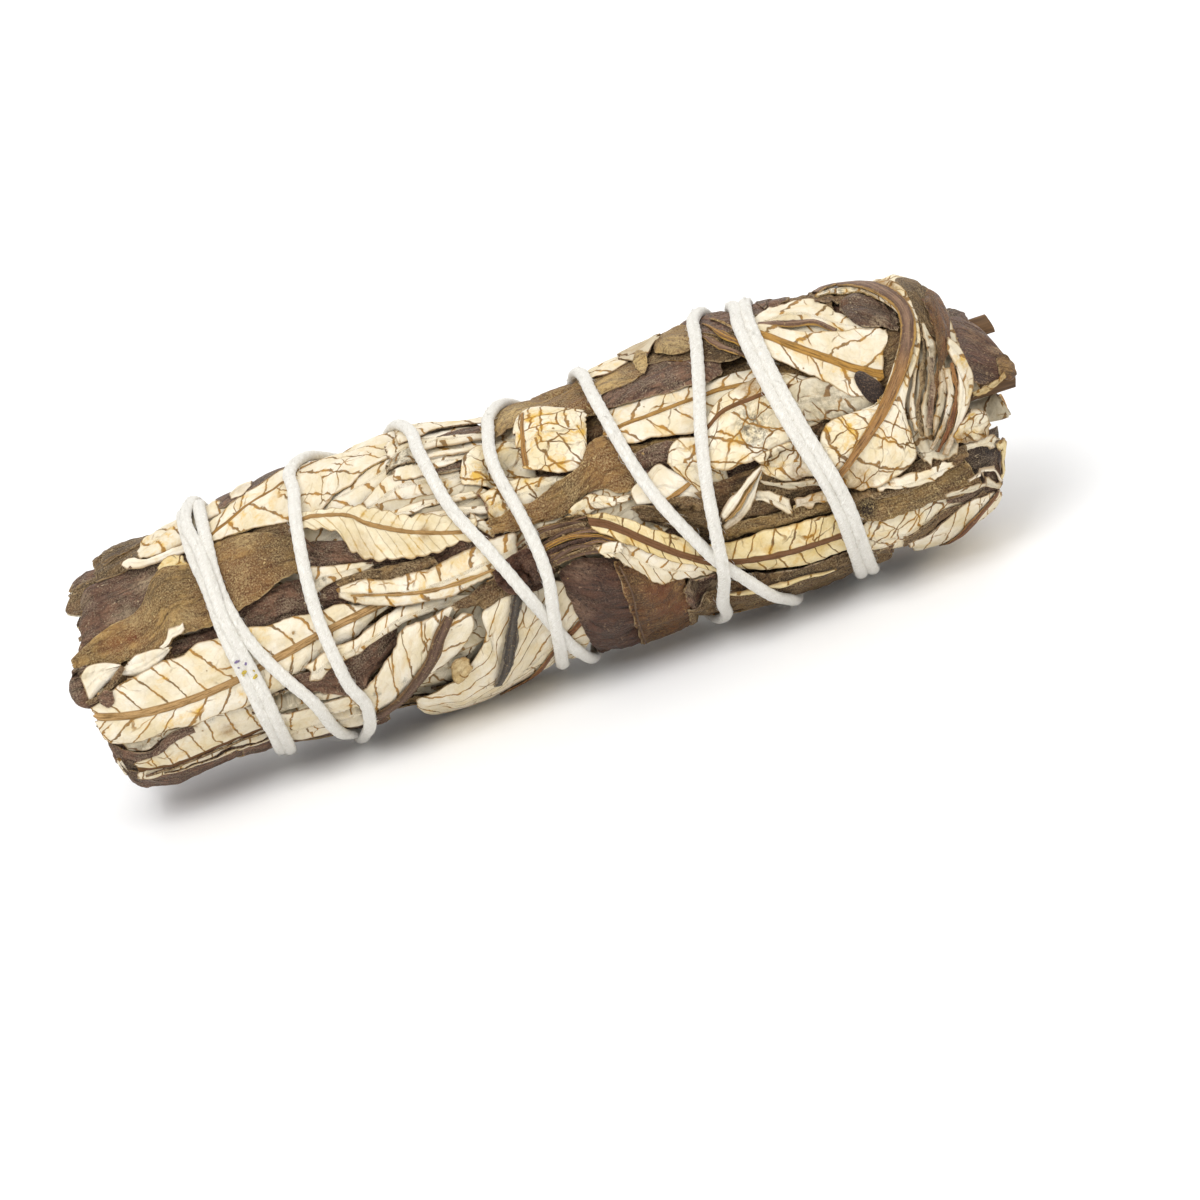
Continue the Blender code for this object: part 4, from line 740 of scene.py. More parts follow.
def blade(name, shape, finish=cream_felt, lining=dark_leather, node=None, step=0.42, thick=0.28, rib=None,
          rib_code="#8F6A40", ridge=0.16, pitch=2.8, slant=0.6, bend=0.03, feet=None, feet_below=None,
          ragged=0.12, teeth=0.0, torn=0.5, curl=(0.0, 0.0), drape=0.45, roll=0.0, wave=0.14, pleats=None,
          raise_by=0.0, arch=0.0, marks=(), margin=0.3, slot=None, sunk=None, half_round=False, pillow_depth=0.1):
    """One dry leaf, draped on what is packed so far and no higher than its CAD solid."""
    global leaf_number
    leaf_number += 1
    seed = leaf_number
    middle, high, low, length = shape
    widest = np.linalg.norm(high - low, axis=1).max()
    rows = int(np.clip(length / step, 8, 260)) + 1
    columns = int(np.clip(widest / step, 4, 90)) // 2 * 2 + 3
    share = np.broadcast_to(np.linspace(-1, 1, columns)[None], (rows, columns))
    way = np.broadcast_to(np.linspace(0, 1, rows)[:, None], (rows, columns))
    across_mm = share * widest / 2
    begin = torn * (0.5 + 0.4 * ripple(across_mm, 0 * across_mm, 2.4, seed * 7)) / length
    stop = 1 - torn * (0.5 + 0.4 * ripple(across_mm, 0 * across_mm, 2.1, seed * 7 + 1)) / length
    t = np.clip(begin + (stop - begin) * way, 0, 1)
    at = np.linspace(0, 1, len(middle))
    sample = lambda line: np.stack([np.interp(t, at, line[:, 0]), np.interp(t, at, line[:, 1])], axis=-1)
    middle_at, high_at, low_at = sample(middle), sample(high), sample(low)
    edge_at = np.where((share > 0)[..., None], high_at, low_at)
    width = np.maximum(np.linalg.norm(edge_at - middle_at, axis=-1), 0.1)
    u = t * length
    side = np.sign(share)
    rough_edge = (ragged * ripple(u, 5.0 * side, 4.2, seed * 7 + 2)
                  + 0.4 * ragged * ripple(u, 5.0 * side, 1.2, seed * 7 + 3))
    if teeth:
        rough_edge = rough_edge + teeth * (np.abs(np.sin(math.pi * u / 1.5 + seed)) - 0.5)
    stretch = np.clip(1 + rough_edge / width * np.abs(share) ** 2, 0.6, 1.5)
    v = share * width * stretch
    spot = middle_at + (edge_at - middle_at) * (np.abs(share) * stretch)[..., None]
    along, turn = spot[..., 0], spot[..., 1] / UNROLLED_RADIUS
    thickness = thick * (1 - 0.5 * np.abs(share) ** 6)
    under = support(along, turn)
    if node and sunk is None:
        reach = soften(solid_reach(node, along, turn), 10) - 0.08 + raise_by
    elif sunk is not None:
        reach = soften(reach_of(along, turn), 4) - sunk
    else:
        reach = under + thickness + 0.08
        settled = reach.copy()
        for _ in range(10):
            reach = np.maximum(soften(reach, 3), settled)
        reach = reach + raise_by
    to_margin = (1 - np.abs(share)) * width
    ends = np.minimum(u - begin * length, stop * length - u)
    sink = drape * np.clip(1 - to_margin / 1.4, 0, 1) ** 2
    sink = np.maximum(sink, drape * np.clip(1 - ends / 1.4, 0, 1) ** 2)
    if roll:
        inset = np.clip(roll - np.minimum(to_margin, ends + 0.5 * roll), 0, roll)
        sink = sink + roll - np.sqrt(np.maximum(roll**2 - inset**2, 0))
    curled = np.where(share > 0, curl[0], curl[1]) * np.clip(1 - to_margin / 1.3, 0, 1) ** 2 * (
        0.65 + 0.5 * ripple(u, side * 9, 4.0, seed * 7 + 4))
    lift = arch * np.clip(1 - share**2, 0, 1) ** (0.5 if half_round else 1) * np.clip(ends / 1.5, 0, 1)
    folds = wave * ripple(u * 0.4, v, 3.6, seed * 7 + 5) + 0.3 * wave * ripple(u, v, 1.6, seed * 7 + 6)
    if feet is None:
        draw = np.random.default_rng(seed + 500)
        feet = np.cumsum(pitch * draw.uniform(0.65, 1.35, int(length / pitch) + 12)) - 6 * pitch
    course = vein_course(u, v, feet, slant, bend)
    if feet_below is None:
        feet_below = np.array(feet) + 0.42 * pitch
    course = np.where(v < 0, vein_course(u, v, feet_below, slant, bend) + 40, course)
    pillow = pillow_depth * (np.abs(np.sin(math.pi * course)) ** 0.8 - 0.6)
    if finish.name.startswith("leaf_underside"):
        folds = folds + pillow * np.clip(to_margin / 0.8, 0, 1)
    if pleats:
        count, depth = pleats
        phase = math.pi * count * share / 2 + 0.5 * ripple(u, 0 * u, 11, seed + 90)
        folds = folds + depth * (np.abs(np.sin(phase)) ** 0.8 - 0.5)
    rib_width = rib[0] + (rib[1] - rib[0]) * t if rib else np.full_like(t, 0.1)
    if rib:
        folds = folds + ridge * np.clip(1.2 - np.abs(v) / rib_width, 0, 1) ** 0.5
        folds = folds - 0.4 * ridge * np.exp(-((np.abs(v) / rib_width - 1.5) / 0.45) ** 2)
    radius = reach + lift + folds * np.clip(to_margin / 0.5 + 0.5, 0, 1) - sink + curled
    radius = np.maximum(radius, under + thickness + 0.03)
    # a resting leaf goes no lower than the table
    radius = np.minimum(radius, (AXIS_HEIGHT - 0.02) / np.maximum(-np.sin(turn), 1e-3))
    fill_up(along, turn, radius)
    stain = np.zeros((rows, columns, 4))
    stain[..., 3] = np.exp(-np.minimum(to_margin, ends) / margin) * 0.98
    for s, h, size, kind, amount in marks:
        away = np.hypot(along - s, turn * UNROLLED_RADIUS - float(turn_of(s, h)) * UNROLLED_RADIUS)
        stain[..., kind] = np.maximum(stain[..., kind], amount * np.clip(1.5 - away / size, 0, 1))
    blade_uv = np.stack([u + seed * 41.0, v], axis=-1)
    beside = v / rib_width if rib else share if "midrib" in finish.name or "stalk" in finish.name else np.full_like(v, 9.0)
    vein_uv = np.stack([course + seed * 13, beside], axis=-1)
    squeezed = pressed(along, turn, radius)
    piece = sheet_piece(name, place(along, turn, squeezed), thickness, blade_uv, vein_uv, stain, (finish, lining),
                        rib_code)
    if node:
        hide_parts(node)
    return piece


draw = np.random.default_rng(7)
fill_finishes = (dark_leather, olive_leather, grey_felt, brown_leather, dark_leather, cream_felt, red_leather,
                 olive_leather)
for number in range(36):
    start = 1.5 + draw.uniform(0, 62)
    degrees = (number * 137.5 + 20) % 360
    reach_end = min(start + draw.uniform(26, 42), 95.5)
    finish = fill_finishes[number % len(fill_finishes)]
    blade(f"filling_leaf_{number + 1:02d}",
          round_the_back(start, reach_end, degrees, draw.uniform(2.6, 4.6), draw.uniform(-14, 14)),
          finish, grey_felt if finish in (dark_leather, red_leather) else dark_leather,
          sunk=2.3 + draw.uniform(-0.3, 0.5), step=0.7, wave=0.35, torn=1.5, curl=(draw.uniform(-0.3, 0.6), 0.2))


# wider ones close both ends and the upper edge, where the others run out
for number, (start, end, degrees, half_width, sunk, finish) in enumerate((
    (79.0, 97.0, 143, 6.4, 1.3, brown_leather), (80.0, 96.6, 190, 6.4, 1.4, dark_leather),
    (81.0, 96.8, 238, 6.4, 1.4, brown_leather), (80.0, 96.4, 286, 6.4, 1.5, dark_leather),
    (82.0, 96.0, 334, 6.0, 1.9, brown_leather), (84.0, 96.4, 20, 6.0, 1.9, brown_leather),
    (79.0, 96.8, 100, 6.4, 1.5, dark_leather), (26.0, 58.0, 130, 5.6, 1.2, brown_leather),
    (50.0, 84.0, 128, 5.6, 1.1, dark_leather), (0.9, 15.0, 130, 6.0, 1.7, dark_leather),
    (1.3, 16.0, 180, 6.0, 1.7, brown_leather), (1.0, 14.0, 232, 6.0, 1.8, dark_leather),
    (1.2, 16.0, 280, 6.0, 1.8, brown_leather),
), 1):
    blade(f"end_filling_leaf_{number:02d}", round_the_back(start, end, degrees, half_width, 6, 0.3), finish,
          grey_felt if finish is dark_leather else cream_felt, sunk=sunk, step=0.6, wave=0.3, torn=1.1, ragged=0.3)
for number, (upper, lower, sunk, finish) in enumerate((
    (((88.0, 10.4), (90.4, 10.0), (92.6, 9.4)), ((86.2, 3.0), (89.0, 3.4), (91.6, 5.2)), 1.0, brown_leather),
    (((77.2, 10.8), (80.0, 9.8), (82.8, 8.0)), ((77.4, 5.8), (80.0, 5.4), (83.0, 4.8)), 1.3, olive_leather),
    (((78.4, 3.2), (81.0, 2.8), (84.4, 2.6)), ((78.4, 0.0), (81.0, 0.2), (84.4, 0.8)), 1.2, brown_leather),
    (((18.6, 10.8), (22.0, 10.6), (26.4, 10.2)), ((18.6, 7.4), (22.0, 7.4), (26.4, 7.6)), 1.1, brown_leather),
    (((59.4, 11.0), (63.0, 10.8), (70.0, 10.8)), ((59.6, 9.0), (63.0, 8.6), (70.0, 8.8)), 1.2, dark_leather),
), 1):
    blade(f"gap_leaf_{number}", between(upper, lower), finish, cream_felt, sunk=sunk, wave=0.25, ragged=0.25,
          torn=0.4)


# --- Cover leaves, cut end ----------------------------------------------------------------------
# Lance-shaped dry leaves laid along the bundle, most with the pale felted underside out. Their
# cut or torn feet end raggedly, a dark one shows its upper side and an olive one lies over it.

blade("leaf_dark_cut_end", between(((2.7, 9.5), (4, 10.2), (8, 10.4), (13, 10.4), (20, 10.2)), ((0.3, 2), (4, 2.6),
    (8, 3), (13, 3.4), (20, 4.4))), dark_leather, grey_felt, node="dark_leaf_01", wave=0.2, ragged=0.2, torn=0.45,
    thick=0.4, step=0.3, raise_by=0.3, marks=((9.6, 8.2, 1.3, TAN, 0.9), (4.8, 5.3, 0.5, TAN, 0.4),
    (2.6, 8.8, 0.8, TAN, 0.5), (6.4, 5.4, 1.2, TAN, 0.5)))
blade("leaf_slab_top_left", between(((4.4, 12), (7, 13.6), (10, 14.8), (14, 15.5), (17, 15)), ((4.4, 9.9), (7, 9.9),
    (10, 10.1), (14, 10.3), (17, 11))), brown_leather, grey_felt, node="olive_leaf_01", wave=0.35, torn=0.4,
    raise_by=0.9, pleats=(4, 0.4), step=0.32, marks=((8, 12.6, 4, SOOT, 0.45), (6, 10.5, 3, SOOT, 0.45)))
blade("leaf_slab_top_layer", between(((6.2, 12.9), (9, 14), (12, 14)), ((5.4, 10.9), (8, 11.3), (11.6, 11.9))),
    brown_leather, grey_felt, raise_by=0.1, wave=0.3, torn=0.3, ragged=0.25, pleats=(3, 0.3), step=0.3,
    marks=((8, 12, 4, SOOT, 0.35),))
blade("leaf_dark_long_strip", along_rib((9, 0.2, 0.8, 1), (15, 0.4, 1.3, 1.6), (20, 1.2, 1.9, 2), (25, 1.3, 2.2, 2.3),
    (31, 1, 1.2, 1.6), (38, 0.9, 0.9, 1.2), (44, 1.4, 0.8, 1.2), (49, 1.8, 0.6, 0.8)), dark_leather, cream_felt,
    node="dark_leaf_03", wave=0.2)
blade("leaf_cream_top_left", between(((9.4, 11), (10.6, 12), (12.4, 12.6), (14.5, 13.3), (17, 14.2), (20, 14.5),
    (23, 15)), ((9.4, 10.2), (12, 10.3), (14.5, 10.7), (17, 11.9), (20, 12.8), (23, 13.8))), cream_felt, grey_felt,
    node="cream_leaf_01", pitch=2.6, slant=-0.3, wave=0.18, roll=0.6, torn=0.15, raise_by=0.5,
    marks=((12, 11.4, 2.4, OCHRE, 0.9), (11, 10.8, 1.4, OCHRE, 0.9), (14, 11.4, 1.4, OCHRE, 0.6)))
blade("leaf_bone_margin", along_rib((7.7, 9.9, 0.35), (8.4, 10.1, 0.8), (9.4, 9.8, 0.5), (11.5, 9.8, 0.45),
    (14.8, 10.2, 0.5)), plain_felt, raise_by=0.3, arch=0.5, half_round=True, wave=0.08, drape=0.15, ragged=0.1,
    torn=0.1, step=0.24, marks=((10, 10, 2, OCHRE, 0.8),))
blade("leaf_ochre_curl", between(((10.9, 9.1), (12.3, 9.5), (14, 9.3)), ((11, 8.4), (12.2, 7.5), (13.4, 7.5),
    (14.2, 8.2))), yellow_felt, brown_leather, raise_by=0.25, curl=(0.4, 0.6), wave=0.3, torn=0.2, step=0.26,
    marks=((12.6, 8.4, 2, OCHRE, 1),))
blade("leaf_olive_big", between(((-0.4, 2.2), (1.2, 3.3), (3, 4.1), (6.5, 5), (8, 5.6), (9.1, 6.8), (10.2, 8.1),
    (11.5, 8.6), (14, 8.4), (15.8, 9.2), (17.5, 9.9), (19.5, 10.1), (21.5, 9.5), (25, 8), (26.5, 7)), ((-0.4, 1.3),
    (1.5, 0.9), (4.5, 0.5), (9.5, 0.4), (11, 1.4), (14.5, 1.2), (17.5, 1.8), (20, 2.5), (22.5, 3.4), (25, 4.1),
    (26.5, 4.8))), olive_leather, cream_felt, node="olive_leaf_02", wave=0.28, pleats=(2, 0.22), ragged=0.14,
    torn=0.3, curl=(0.3, 0.25), step=0.34, margin=0.35, marks=((4.6, 2.6, 1.1, OCHRE, 0.8),
    (3.4, 2.6, 0.9, OCHRE, 0.6), (6.4, 2.7, 0.8, OCHRE, 0.9), (11, 1.9, 0.9, TAN, 0.9), (13.6, 7.3, 0.9, SOOT, 0.6),
    (20.5, 8.9, 1.1, TAN, 0.6), (20, 6.3, 1.1, OCHRE, 0.4), (18.5, 4.2, 0.9, OCHRE, 0.5), (7, 4.4, 0.8, TAN, 0.5),
    (12, 2.8, 1.4, TAN, 0.4), (24.5, 6.6, 2.6, SOOT, 0.5), (22, 5.6, 2, OCHRE, 0.3), (9.5, 6.4, 1.2, SOOT, 0.35),
    (2.2, 2.4, 1.4, SOOT, 0.3), (20, 5.4, 4.5, OCHRE, 0.35), (24, 7.4, 3, SOOT, 0.45), (12, 6.4, 2.6, SOOT, 0.3),
    (6, 4, 2.6, OCHRE, 0.3), (16, 4.2, 2.4, SOOT, 0.25)))
blade("leaf_dark_left_knob", between(((-1.5, -0.6), (-1.1, 0.5), (-0.2, 1.2), (1.2, 1.4)), ((-1.5, -1.6),
    (-1.1, -2.7), (-0.2, -3.5), (1.2, -3.9))), dark_leather, thick=0.5, roll=0.6, torn=0.05, ragged=0.06, step=0.28,
    sunk=0.9, arch=0.3)
blade("leaf_white_triangle", between(((0.1, 0.4), (1.2, 1.2), (2.8, 1.1), (4.5, 0.4)), ((0.2, -2.5), (1.2, -2),
    (2.9, -1), (4.5, -0.1))), plain_felt, olive_leather, roll=0.4, torn=0.05, ragged=0.05, step=0.28, sunk=0.35,
    margin=0.25, marks=((0.6, -2.2, 0.9, OCHRE, 0.8),))
blade("leaf_white_lens", between(((4.2, -0.4), (6, 0.6), (8.2, 0.8), (9.9, 0.6)), ((4.2, -0.8), (6, -1.5),
    (7.6, -1.3), (9.9, 0.2))), plain_felt, olive_leather, roll=0.4, torn=0.05, step=0.28, sunk=0.3, margin=0.2,
    marks=((4.9, -1, 0.9, OCHRE, 0.6),))
blade("leaf_dark_scrap_lens", between(((4.6, -1.5), (6, -1.3), (7.2, -1.4)), ((4.8, -2), (6, -2.6), (7, -2.1))),
    dark_leather, grey_felt, raise_by=0.35, torn=0.1, step=0.26)
blade("leaf_cream_torn_scrap", between(((8.8, 0.9), (9.8, 1.4), (10.3, 2.1), (11.2, 2.2), (12, 2.6)), ((9, 0.4),
    (9.9, 0.6), (10.6, 1.3), (11.3, 1.4), (12, 1.9))), plain_felt, brown_leather, raise_by=0.25, ragged=0.3,
    curl=(0.25, 0.25), wave=0.25, torn=0.2, step=0.2, thick=0.2)
blade("leaf_cream_lobe_upper", between(((28.5, 11.5), (31, 12.6), (34, 13.4), (38, 14), (42, 13.8)), ((29, 9.5),
    (32, 8.9), (34.5, 9.8), (37, 11), (40, 11.5))), sunk=1.5, roll=0.3, feet=(2, 5.5, 9))
blade("leaf_cream_upper_broad", between(((16.8, 11.3), (20, 12.6), (24, 14.4), (28, 19), (33, 21), (38, 21), (43, 18),
    (46.5, 14.3)), ((16.8, 9.7), (20, 9.9), (25, 9.4), (28.3, 9.8), (30, 10.5), (31, 11.3), (32.6, 11.7), (34, 12.5),
    (37, 13.1), (40, 13.3), (46.5, 13)), ((16.8, 10.1), (19, 10.8), (22, 12), (26, 13.2), (29, 14.6), (33, 16),
    (40, 16.5), (46.5, 13.9))), cream_felt, olive_leather, node="cream_leaf_02", rib=(0.24, 0.2), rib_code="#A87C3F",
    ridge=0.06, pitch=3.4, slant=0.6, marks=((22, 11.3, 3, OCHRE, 0.7), (26, 12.8, 2, OCHRE, 0.5)), wave=0.12)
blade("leaf_dark_top_left", between(((18.6, 13.4), (21, 16), (25, 18), (29.5, 17)), ((18.8, 12.7), (21, 12.9),
    (24, 13.6), (28.8, 14.9))), dark_leather, cream_felt, node="dark_leaf_02", wave=0.35, ragged=0.25,
    pleats=(2, 0.3), sunk=-0.1, step=0.32, marks=((24, 14, 2, SOOT, 0.5),))
blade("leaf_cream_top_curl", between(((20.3, 13.6), (21.6, 14.4), (23, 14.2)), ((20.3, 12.9), (21.6, 13),
    (22.8, 13.6))), plain_felt, raise_by=0.2, arch=0.3, roll=0.3, wave=0.2, torn=0.1, step=0.26,
    marks=((21.6, 13.6, 1.4, TAN, 0.4),))
blade("leaf_dark_behind_corner", between(((0.5, -5.6), (4, -5.8), (9, -6.6), (16, -8)), ((0.6, -10.2), (2.4, -12.4),
    (8, -13), (16, -12.8))), dark_leather, grey_felt, sunk=1.1, wave=0.15, torn=0.2)
blade("leaf_dark_bottom_left", between(((1, -9.2), (1.5, -10.6), (2.6, -11.4), (4, -11.8), (8, -12), (12, -11.8),
    (16, -12)), ((1.2, -10.2), (1.8, -12.6), (3.4, -17), (7, -20), (10, -21), (13, -21), (16, -18))), dark_leather,
    cream_felt, node="dark_leaf_04", wave=0.2, torn=0.1, sunk=0.1, step=0.34)
blade("leaf_dark_bottom_middle", between(((13, -11.8), (18, -12), (22, -12.5), (26, -12.9), (29, -13)), ((13, -17),
    (18, -18), (22, -18), (26, -17), (29, -15))), dark_leather, cream_felt, sunk=0.3, wave=0.2)
blade("leaf_grey_wavy_edge", between(((1.6, -7.6), (4, -8), (7, -8), (10, -8)), ((2, -8.8), (3.8, -9.4), (5, -9.4),
    (6.5, -8.9), (10, -8.8))), grey_felt, sunk=1.2, marks=((4.5, -8.4, 3, SOOT, 0.5),))
blade("leaf_cream_fine_veined", between(((2.3, -10.2), (4, -10.3), (5.5, -10.1), (7, -9.2), (9, -8.5), (12, -8),
    (15, -8.4), (18.5, -8.8)), ((2.1, -11.6), (4, -12), (8, -12.1), (12, -11.8), (15, -11.8), (18.5, -11.9)),
    ((2.2, -10.9), (4, -11.3), (8, -11.5), (12, -11.2), (15, -11.1), (18.5, -11.1))), node="cream_leaf_03",
    rib=(0.28, 0.32), rib_code="#6B4B35", pitch=2, slant=-0.3, wave=0.18, marks=((11.5, -8.7, 0.3, SOOT, 1),
    (12.8, -10, 0.9, TAN, 0.8), (7, -10.6, 3, OCHRE, 0.5)))
for number, (points, finish) in enumerate((
    (((3.0, -11.5), (8.0, -11.6), (13.0, -11.3), (18.0, -11.3)), brown_leather),
    (((5.0, -11.9), (10.0, -12.1), (15.0, -11.9), (19.0, -11.9)), cream_felt),
    (((15.6, -8.9), (19.0, -9.2), (23.0, -9.4), (27.4, -9.7)), brown_leather),
    (((17.4, -10.0), (20.0, -10.1), (23.4, -10.4), (26.8, -10.4)), dark_leather),
    (((17.6, -10.7), (20.0, -10.9), (23.4, -11.2), (26.6, -11.3)), brown_midrib),
    (((17.4, -11.6), (20.4, -11.8), (23.4, -12.0), (26.4, -12.3)), dark_leather),
    (((18.0, -12.6), (20.4, -12.9), (23.6, -13.2), (27.0, -13.3)), brown_leather),
), 1):
    blade(f"fold_edge_low_left_{number}", fold(points, 0.17, 0.1), finish, step=0.26,
          sunk=0.1 if number < 3 else -0.15, arch=0.2, half_round=True, wave=0.2, drape=0.2,
          ragged=0.08, torn=0.2)
blade("leaf_dark_wavy_edge", between(((0.9, -7.7), (2, -8.5), (3.4, -9.3), (5, -9.5), (6.2, -8.7), (8, -8.2),
    (9.6, -8.3)), ((1, -9), (2, -9.8), (3.6, -10.2), (5.2, -10.1), (6.6, -9.5), (8, -9.1), (9.6, -8.9))),
    dark_leather, cream_felt, raise_by=0.1, wave=0.1, torn=0.1, step=0.32, margin=0.2)
blade("leaf_cream_long_lower", between(((-0.2, -3.3), (1.5, -2.7), (3, -2), (5.5, -1.3), (8, -0.9), (10.5, -0.8),
    (12.5, 0), (14.5, -0.2), (18, -0.1), (20, -0.5), (22.5, -0.4), (25, -0.8), (28, -0.8), (30, -1.4), (33, -2)),
    ((0.1, -4.8), (0.9, -7.2), (3, -7.9), (7, -7.9), (10.5, -8), (14.5, -8.1), (18, -8), (20, -7.8), (22.5, -6.8),
    (25, -5.7), (28, -5), (30, -4.2), (33, -2.9)), ((0, -3.9), (2, -4.6), (5, -5.3), (10, -5.5), (15, -5.2),
    (20, -4.3), (25, -3.3), (30, -2.5), (33, -2.2))), cream_felt, olive_leather, node="cream_leaf_04",
    rib=(0.52, 0.42), rib_code="#BE9866", ridge=0.14, slant=-0.42, bend=-0.02, step=0.32, raise_by=0.2, feet=(1.8,
    4.2, 6.5, 9.2, 11.2, 13.6, 16.4, 18.6, 21.3, 23.8, 26.2, 28.4, 31), feet_below=(2.6, 5.6, 7.6, 10.3, 13.6, 16.2,
    18.6, 20.9, 23.4, 25.6, 28, 30.5), marks=((3, -6.9, 1.2, OCHRE, 0.7), (8, -6.9, 1.6, OCHRE, 0.8),
    (10.8, -7.2, 1.4, OCHRE, 0.8), (14.5, -7, 1.4, OCHRE, 0.9), (7.8, -2.9, 0.7, OCHRE, 0.9),
    (19, -0.8, 1.3, OCHRE, 0.9), (13, -2.5, 0.8, OCHRE, 0.7)))
blade("leaf_brown_fold_triangle", along_rib((-0.1, -2.6, 0.25, 0.3), (1.2, -2.3, 0.3, 0.35), (3, -1.2, 0.3, 0.35),
    (4.8, 0, 0.25)), brown_leather, step=0.2, arch=0.25, wave=0.05, torn=0.1, drape=0.2, raise_by=0.25)
blade("leaf_scrap_under_corner", between(((1.2, -1.9), (2, -1.6), (2.9, -2.1)), ((1.2, -2.6), (2, -3.4),
    (2.8, -2.9))), dark_leather, grey_felt, raise_by=0.3, torn=0.1, ragged=0.25, step=0.24)


# --- Cover leaves, middle -----------------------------------------------------------------------
# The waist of the bundle: a broad cream leaf that it rests on, folded and pleated strips above,
# a dark resinous leaf over the waist and a bare leaf stalk caught under the string.

blade("leaf_grey_edgeways", between(((17.5, -8.2), (20, -7.9), (23, -8.3), (26, -8.8), (28, -9.4)), ((17.5, -10.4),
    (20, -10.4), (23, -10.8), (26, -11), (28, -11))), grey_felt, sunk=1.9, pleats=(3, 0.6),
    marks=((20, -8.6, 2, SOOT, 0.6),))
blade("leaf_edgeways_striped", between(((17, -9.6), (21, -9.8), (25, -9.9), (28.5, -10)), ((17, -12.6), (21, -13),
    (25, -13.4), (28.5, -13.4))), node="cream_leaf_05", pleats=(6, 0.75), wave=0.1, slant=0.1)
blade("leaf_dark_between", between(((20.5, -6.6), (23, -6.6), (26, -6.3), (29, -5.9), (32.6, -5.2)), ((20.5, -8.6),
    (23, -8.8), (26, -10), (29, -9.4), (33, -7.2))), dark_leather, cream_felt, node="dark_leaf_05")
blade("leaf_cream_narrow_fold", between(((22.3, -5.7), (25, -5), (28, -4.7), (31, -3.9), (33.5, -3.1), (38, -3.3),
    (41.5, -4.3)), ((22.3, -7.2), (23.5, -7.5), (25, -6.9), (28, -6.3), (31, -5.6), (33.5, -5), (37, -5.1),
    (41.5, -4.9))), cream_felt, olive_leather, node="cream_leaf_06", pitch=2.4, roll=0.4)
blade("leaf_cream_thick_rib", between(((25.8, -10.2), (28, -9.7), (30, -8.4), (32, -6.6), (33.2, -5.3), (36, -4.9),
    (39.3, -4.6)), ((27.6, -13.6), (31, -13), (33.5, -11.9), (35.8, -11), (38.2, -9.9), (40.3, -8), (40.6, -6)),
    ((26.6, -13), (29, -12.8), (31, -12.2), (33, -10.9), (35, -9.3), (36.5, -7.4), (38.3, -5.6))),
    node="cream_leaf_07", slant=0.3, pitch=2.9, wave=0.1, margin=0.35, step=0.36, marks=((28.6, -10.8, 0.4, SOOT, 1),
    (31.7, -10.6, 0.4, SOOT, 0.9), (39, -8.3, 1.5, OCHRE, 0.7)))
blade("rib_purple_brown", along_rib((26.6, -13.1, 0.5), (29, -12.8, 0.62), (31, -12.2, 0.66), (33, -10.9, 0.66),
    (35, -9.3, 0.66), (36.5, -7.4, 0.62), (38.2, -5.6, 0.5)), dark_midrib, step=0.22, thick=0.4, arch=0.5,
    half_round=True, wave=0.04, drape=0.1, ragged=0.04, torn=0.1)
blade("leaf_cream_broad_resting", between(((32.2, -13.1), (35.8, -12.9), (38, -12.1), (40, -10.4), (41.3, -8.5),
    (41.5, -6.4), (44, -5.3), (48, -5.1), (51, -6.4), (52.8, -8.6)), ((32, -14.2), (33.6, -17.5), (37, -21.5),
    (41, -23.5), (45, -21), (48, -16), (50.4, -13.6), (52.8, -11.5))), cream_felt, brown_leather,
    node="cream_leaf_08", pitch=5, slant=2.4, bend=-0.02, curl=(0.3, 0), torn=0.1, wave=0.12, margin=0.3, step=0.36)
blade("rib_red_brown_lower", along_rib((40.5, -15.9, 0.3), (42, -15.3, 0.36), (44, -14.3, 0.38), (46, -13.2, 0.38),
    (48, -11.8, 0.38), (50.5, -10.6, 0.34), (52, -9.8, 0.25)), rust_midrib, step=0.2, thick=0.3, arch=0.25,
    half_round=True, wave=0.03, drape=0.1, ragged=0.03, torn=0.1)
blade("leaf_tan_torn_bit", between(((36.3, -11.2), (37.6, -10.4), (38.8, -10.6)), ((36.5, -12.8), (37.6, -12.6),
    (39, -11.6))), yellow_felt, brown_leather, step=0.26, ragged=0.25, raise_by=0.5, curl=(0.5, 0.4),
    marks=((37.5, -11.5, 3, TAN, 0.7),))
blade("leaf_stalk_bare", along_rib((40.6, -14, 0.35), (42.2, -12.2, 0.7), (44.2, -8.2, 0.65), (46.2, -4.5, 0.55)),
    charcoal_stalk, node="leaf_stalk", step=0.2, thick=0.5, wave=0.05, arch=0.3, half_round=True, drape=0.2,
    ragged=0.1, torn=0.3, slot="leaf", marks=((41, -13, 3, SOOT, 0.8), (43, -10.4, 3, SOOT, 0.8),
    (45.5, -5.5, 3, SOOT, 0.75)))
blade("leaf_dark_mid_piece", between(((25.3, 7.7), (28, 7.1), (30, 6.4), (32, 5.5), (35, 4)), ((25.3, 3.8), (28, 3.5),
    (30.5, 2.9), (33, 2.2), (36, 1.6))), dark_leather, cream_felt, sunk=1.7, wave=0.15)
blade("leaf_pale_scrap_left", between(((25, 4.3), (27, 3.9), (29.5, 3.4), (32.5, 2.7)), ((25, 0.6), (27, 1.6),
    (29.5, 1.9), (32.5, 2))), raise_by=0.25, step=0.34, marks=((27.2, 2.5, 0.3, SOOT, 1), (26, 2, 1.4, SOOT, 0.4)))
blade("leaf_dark_fold_band", between(((28, 1.5), (30, 1.8), (33, 1.7), (36, 1.4), (39, 1.2)), ((28.2, 0.7), (31, 0.4),
    (33, 0.1), (36, -0.1), (39, 0))), brown_leather, cream_felt, sunk=0.9, wave=0.1)
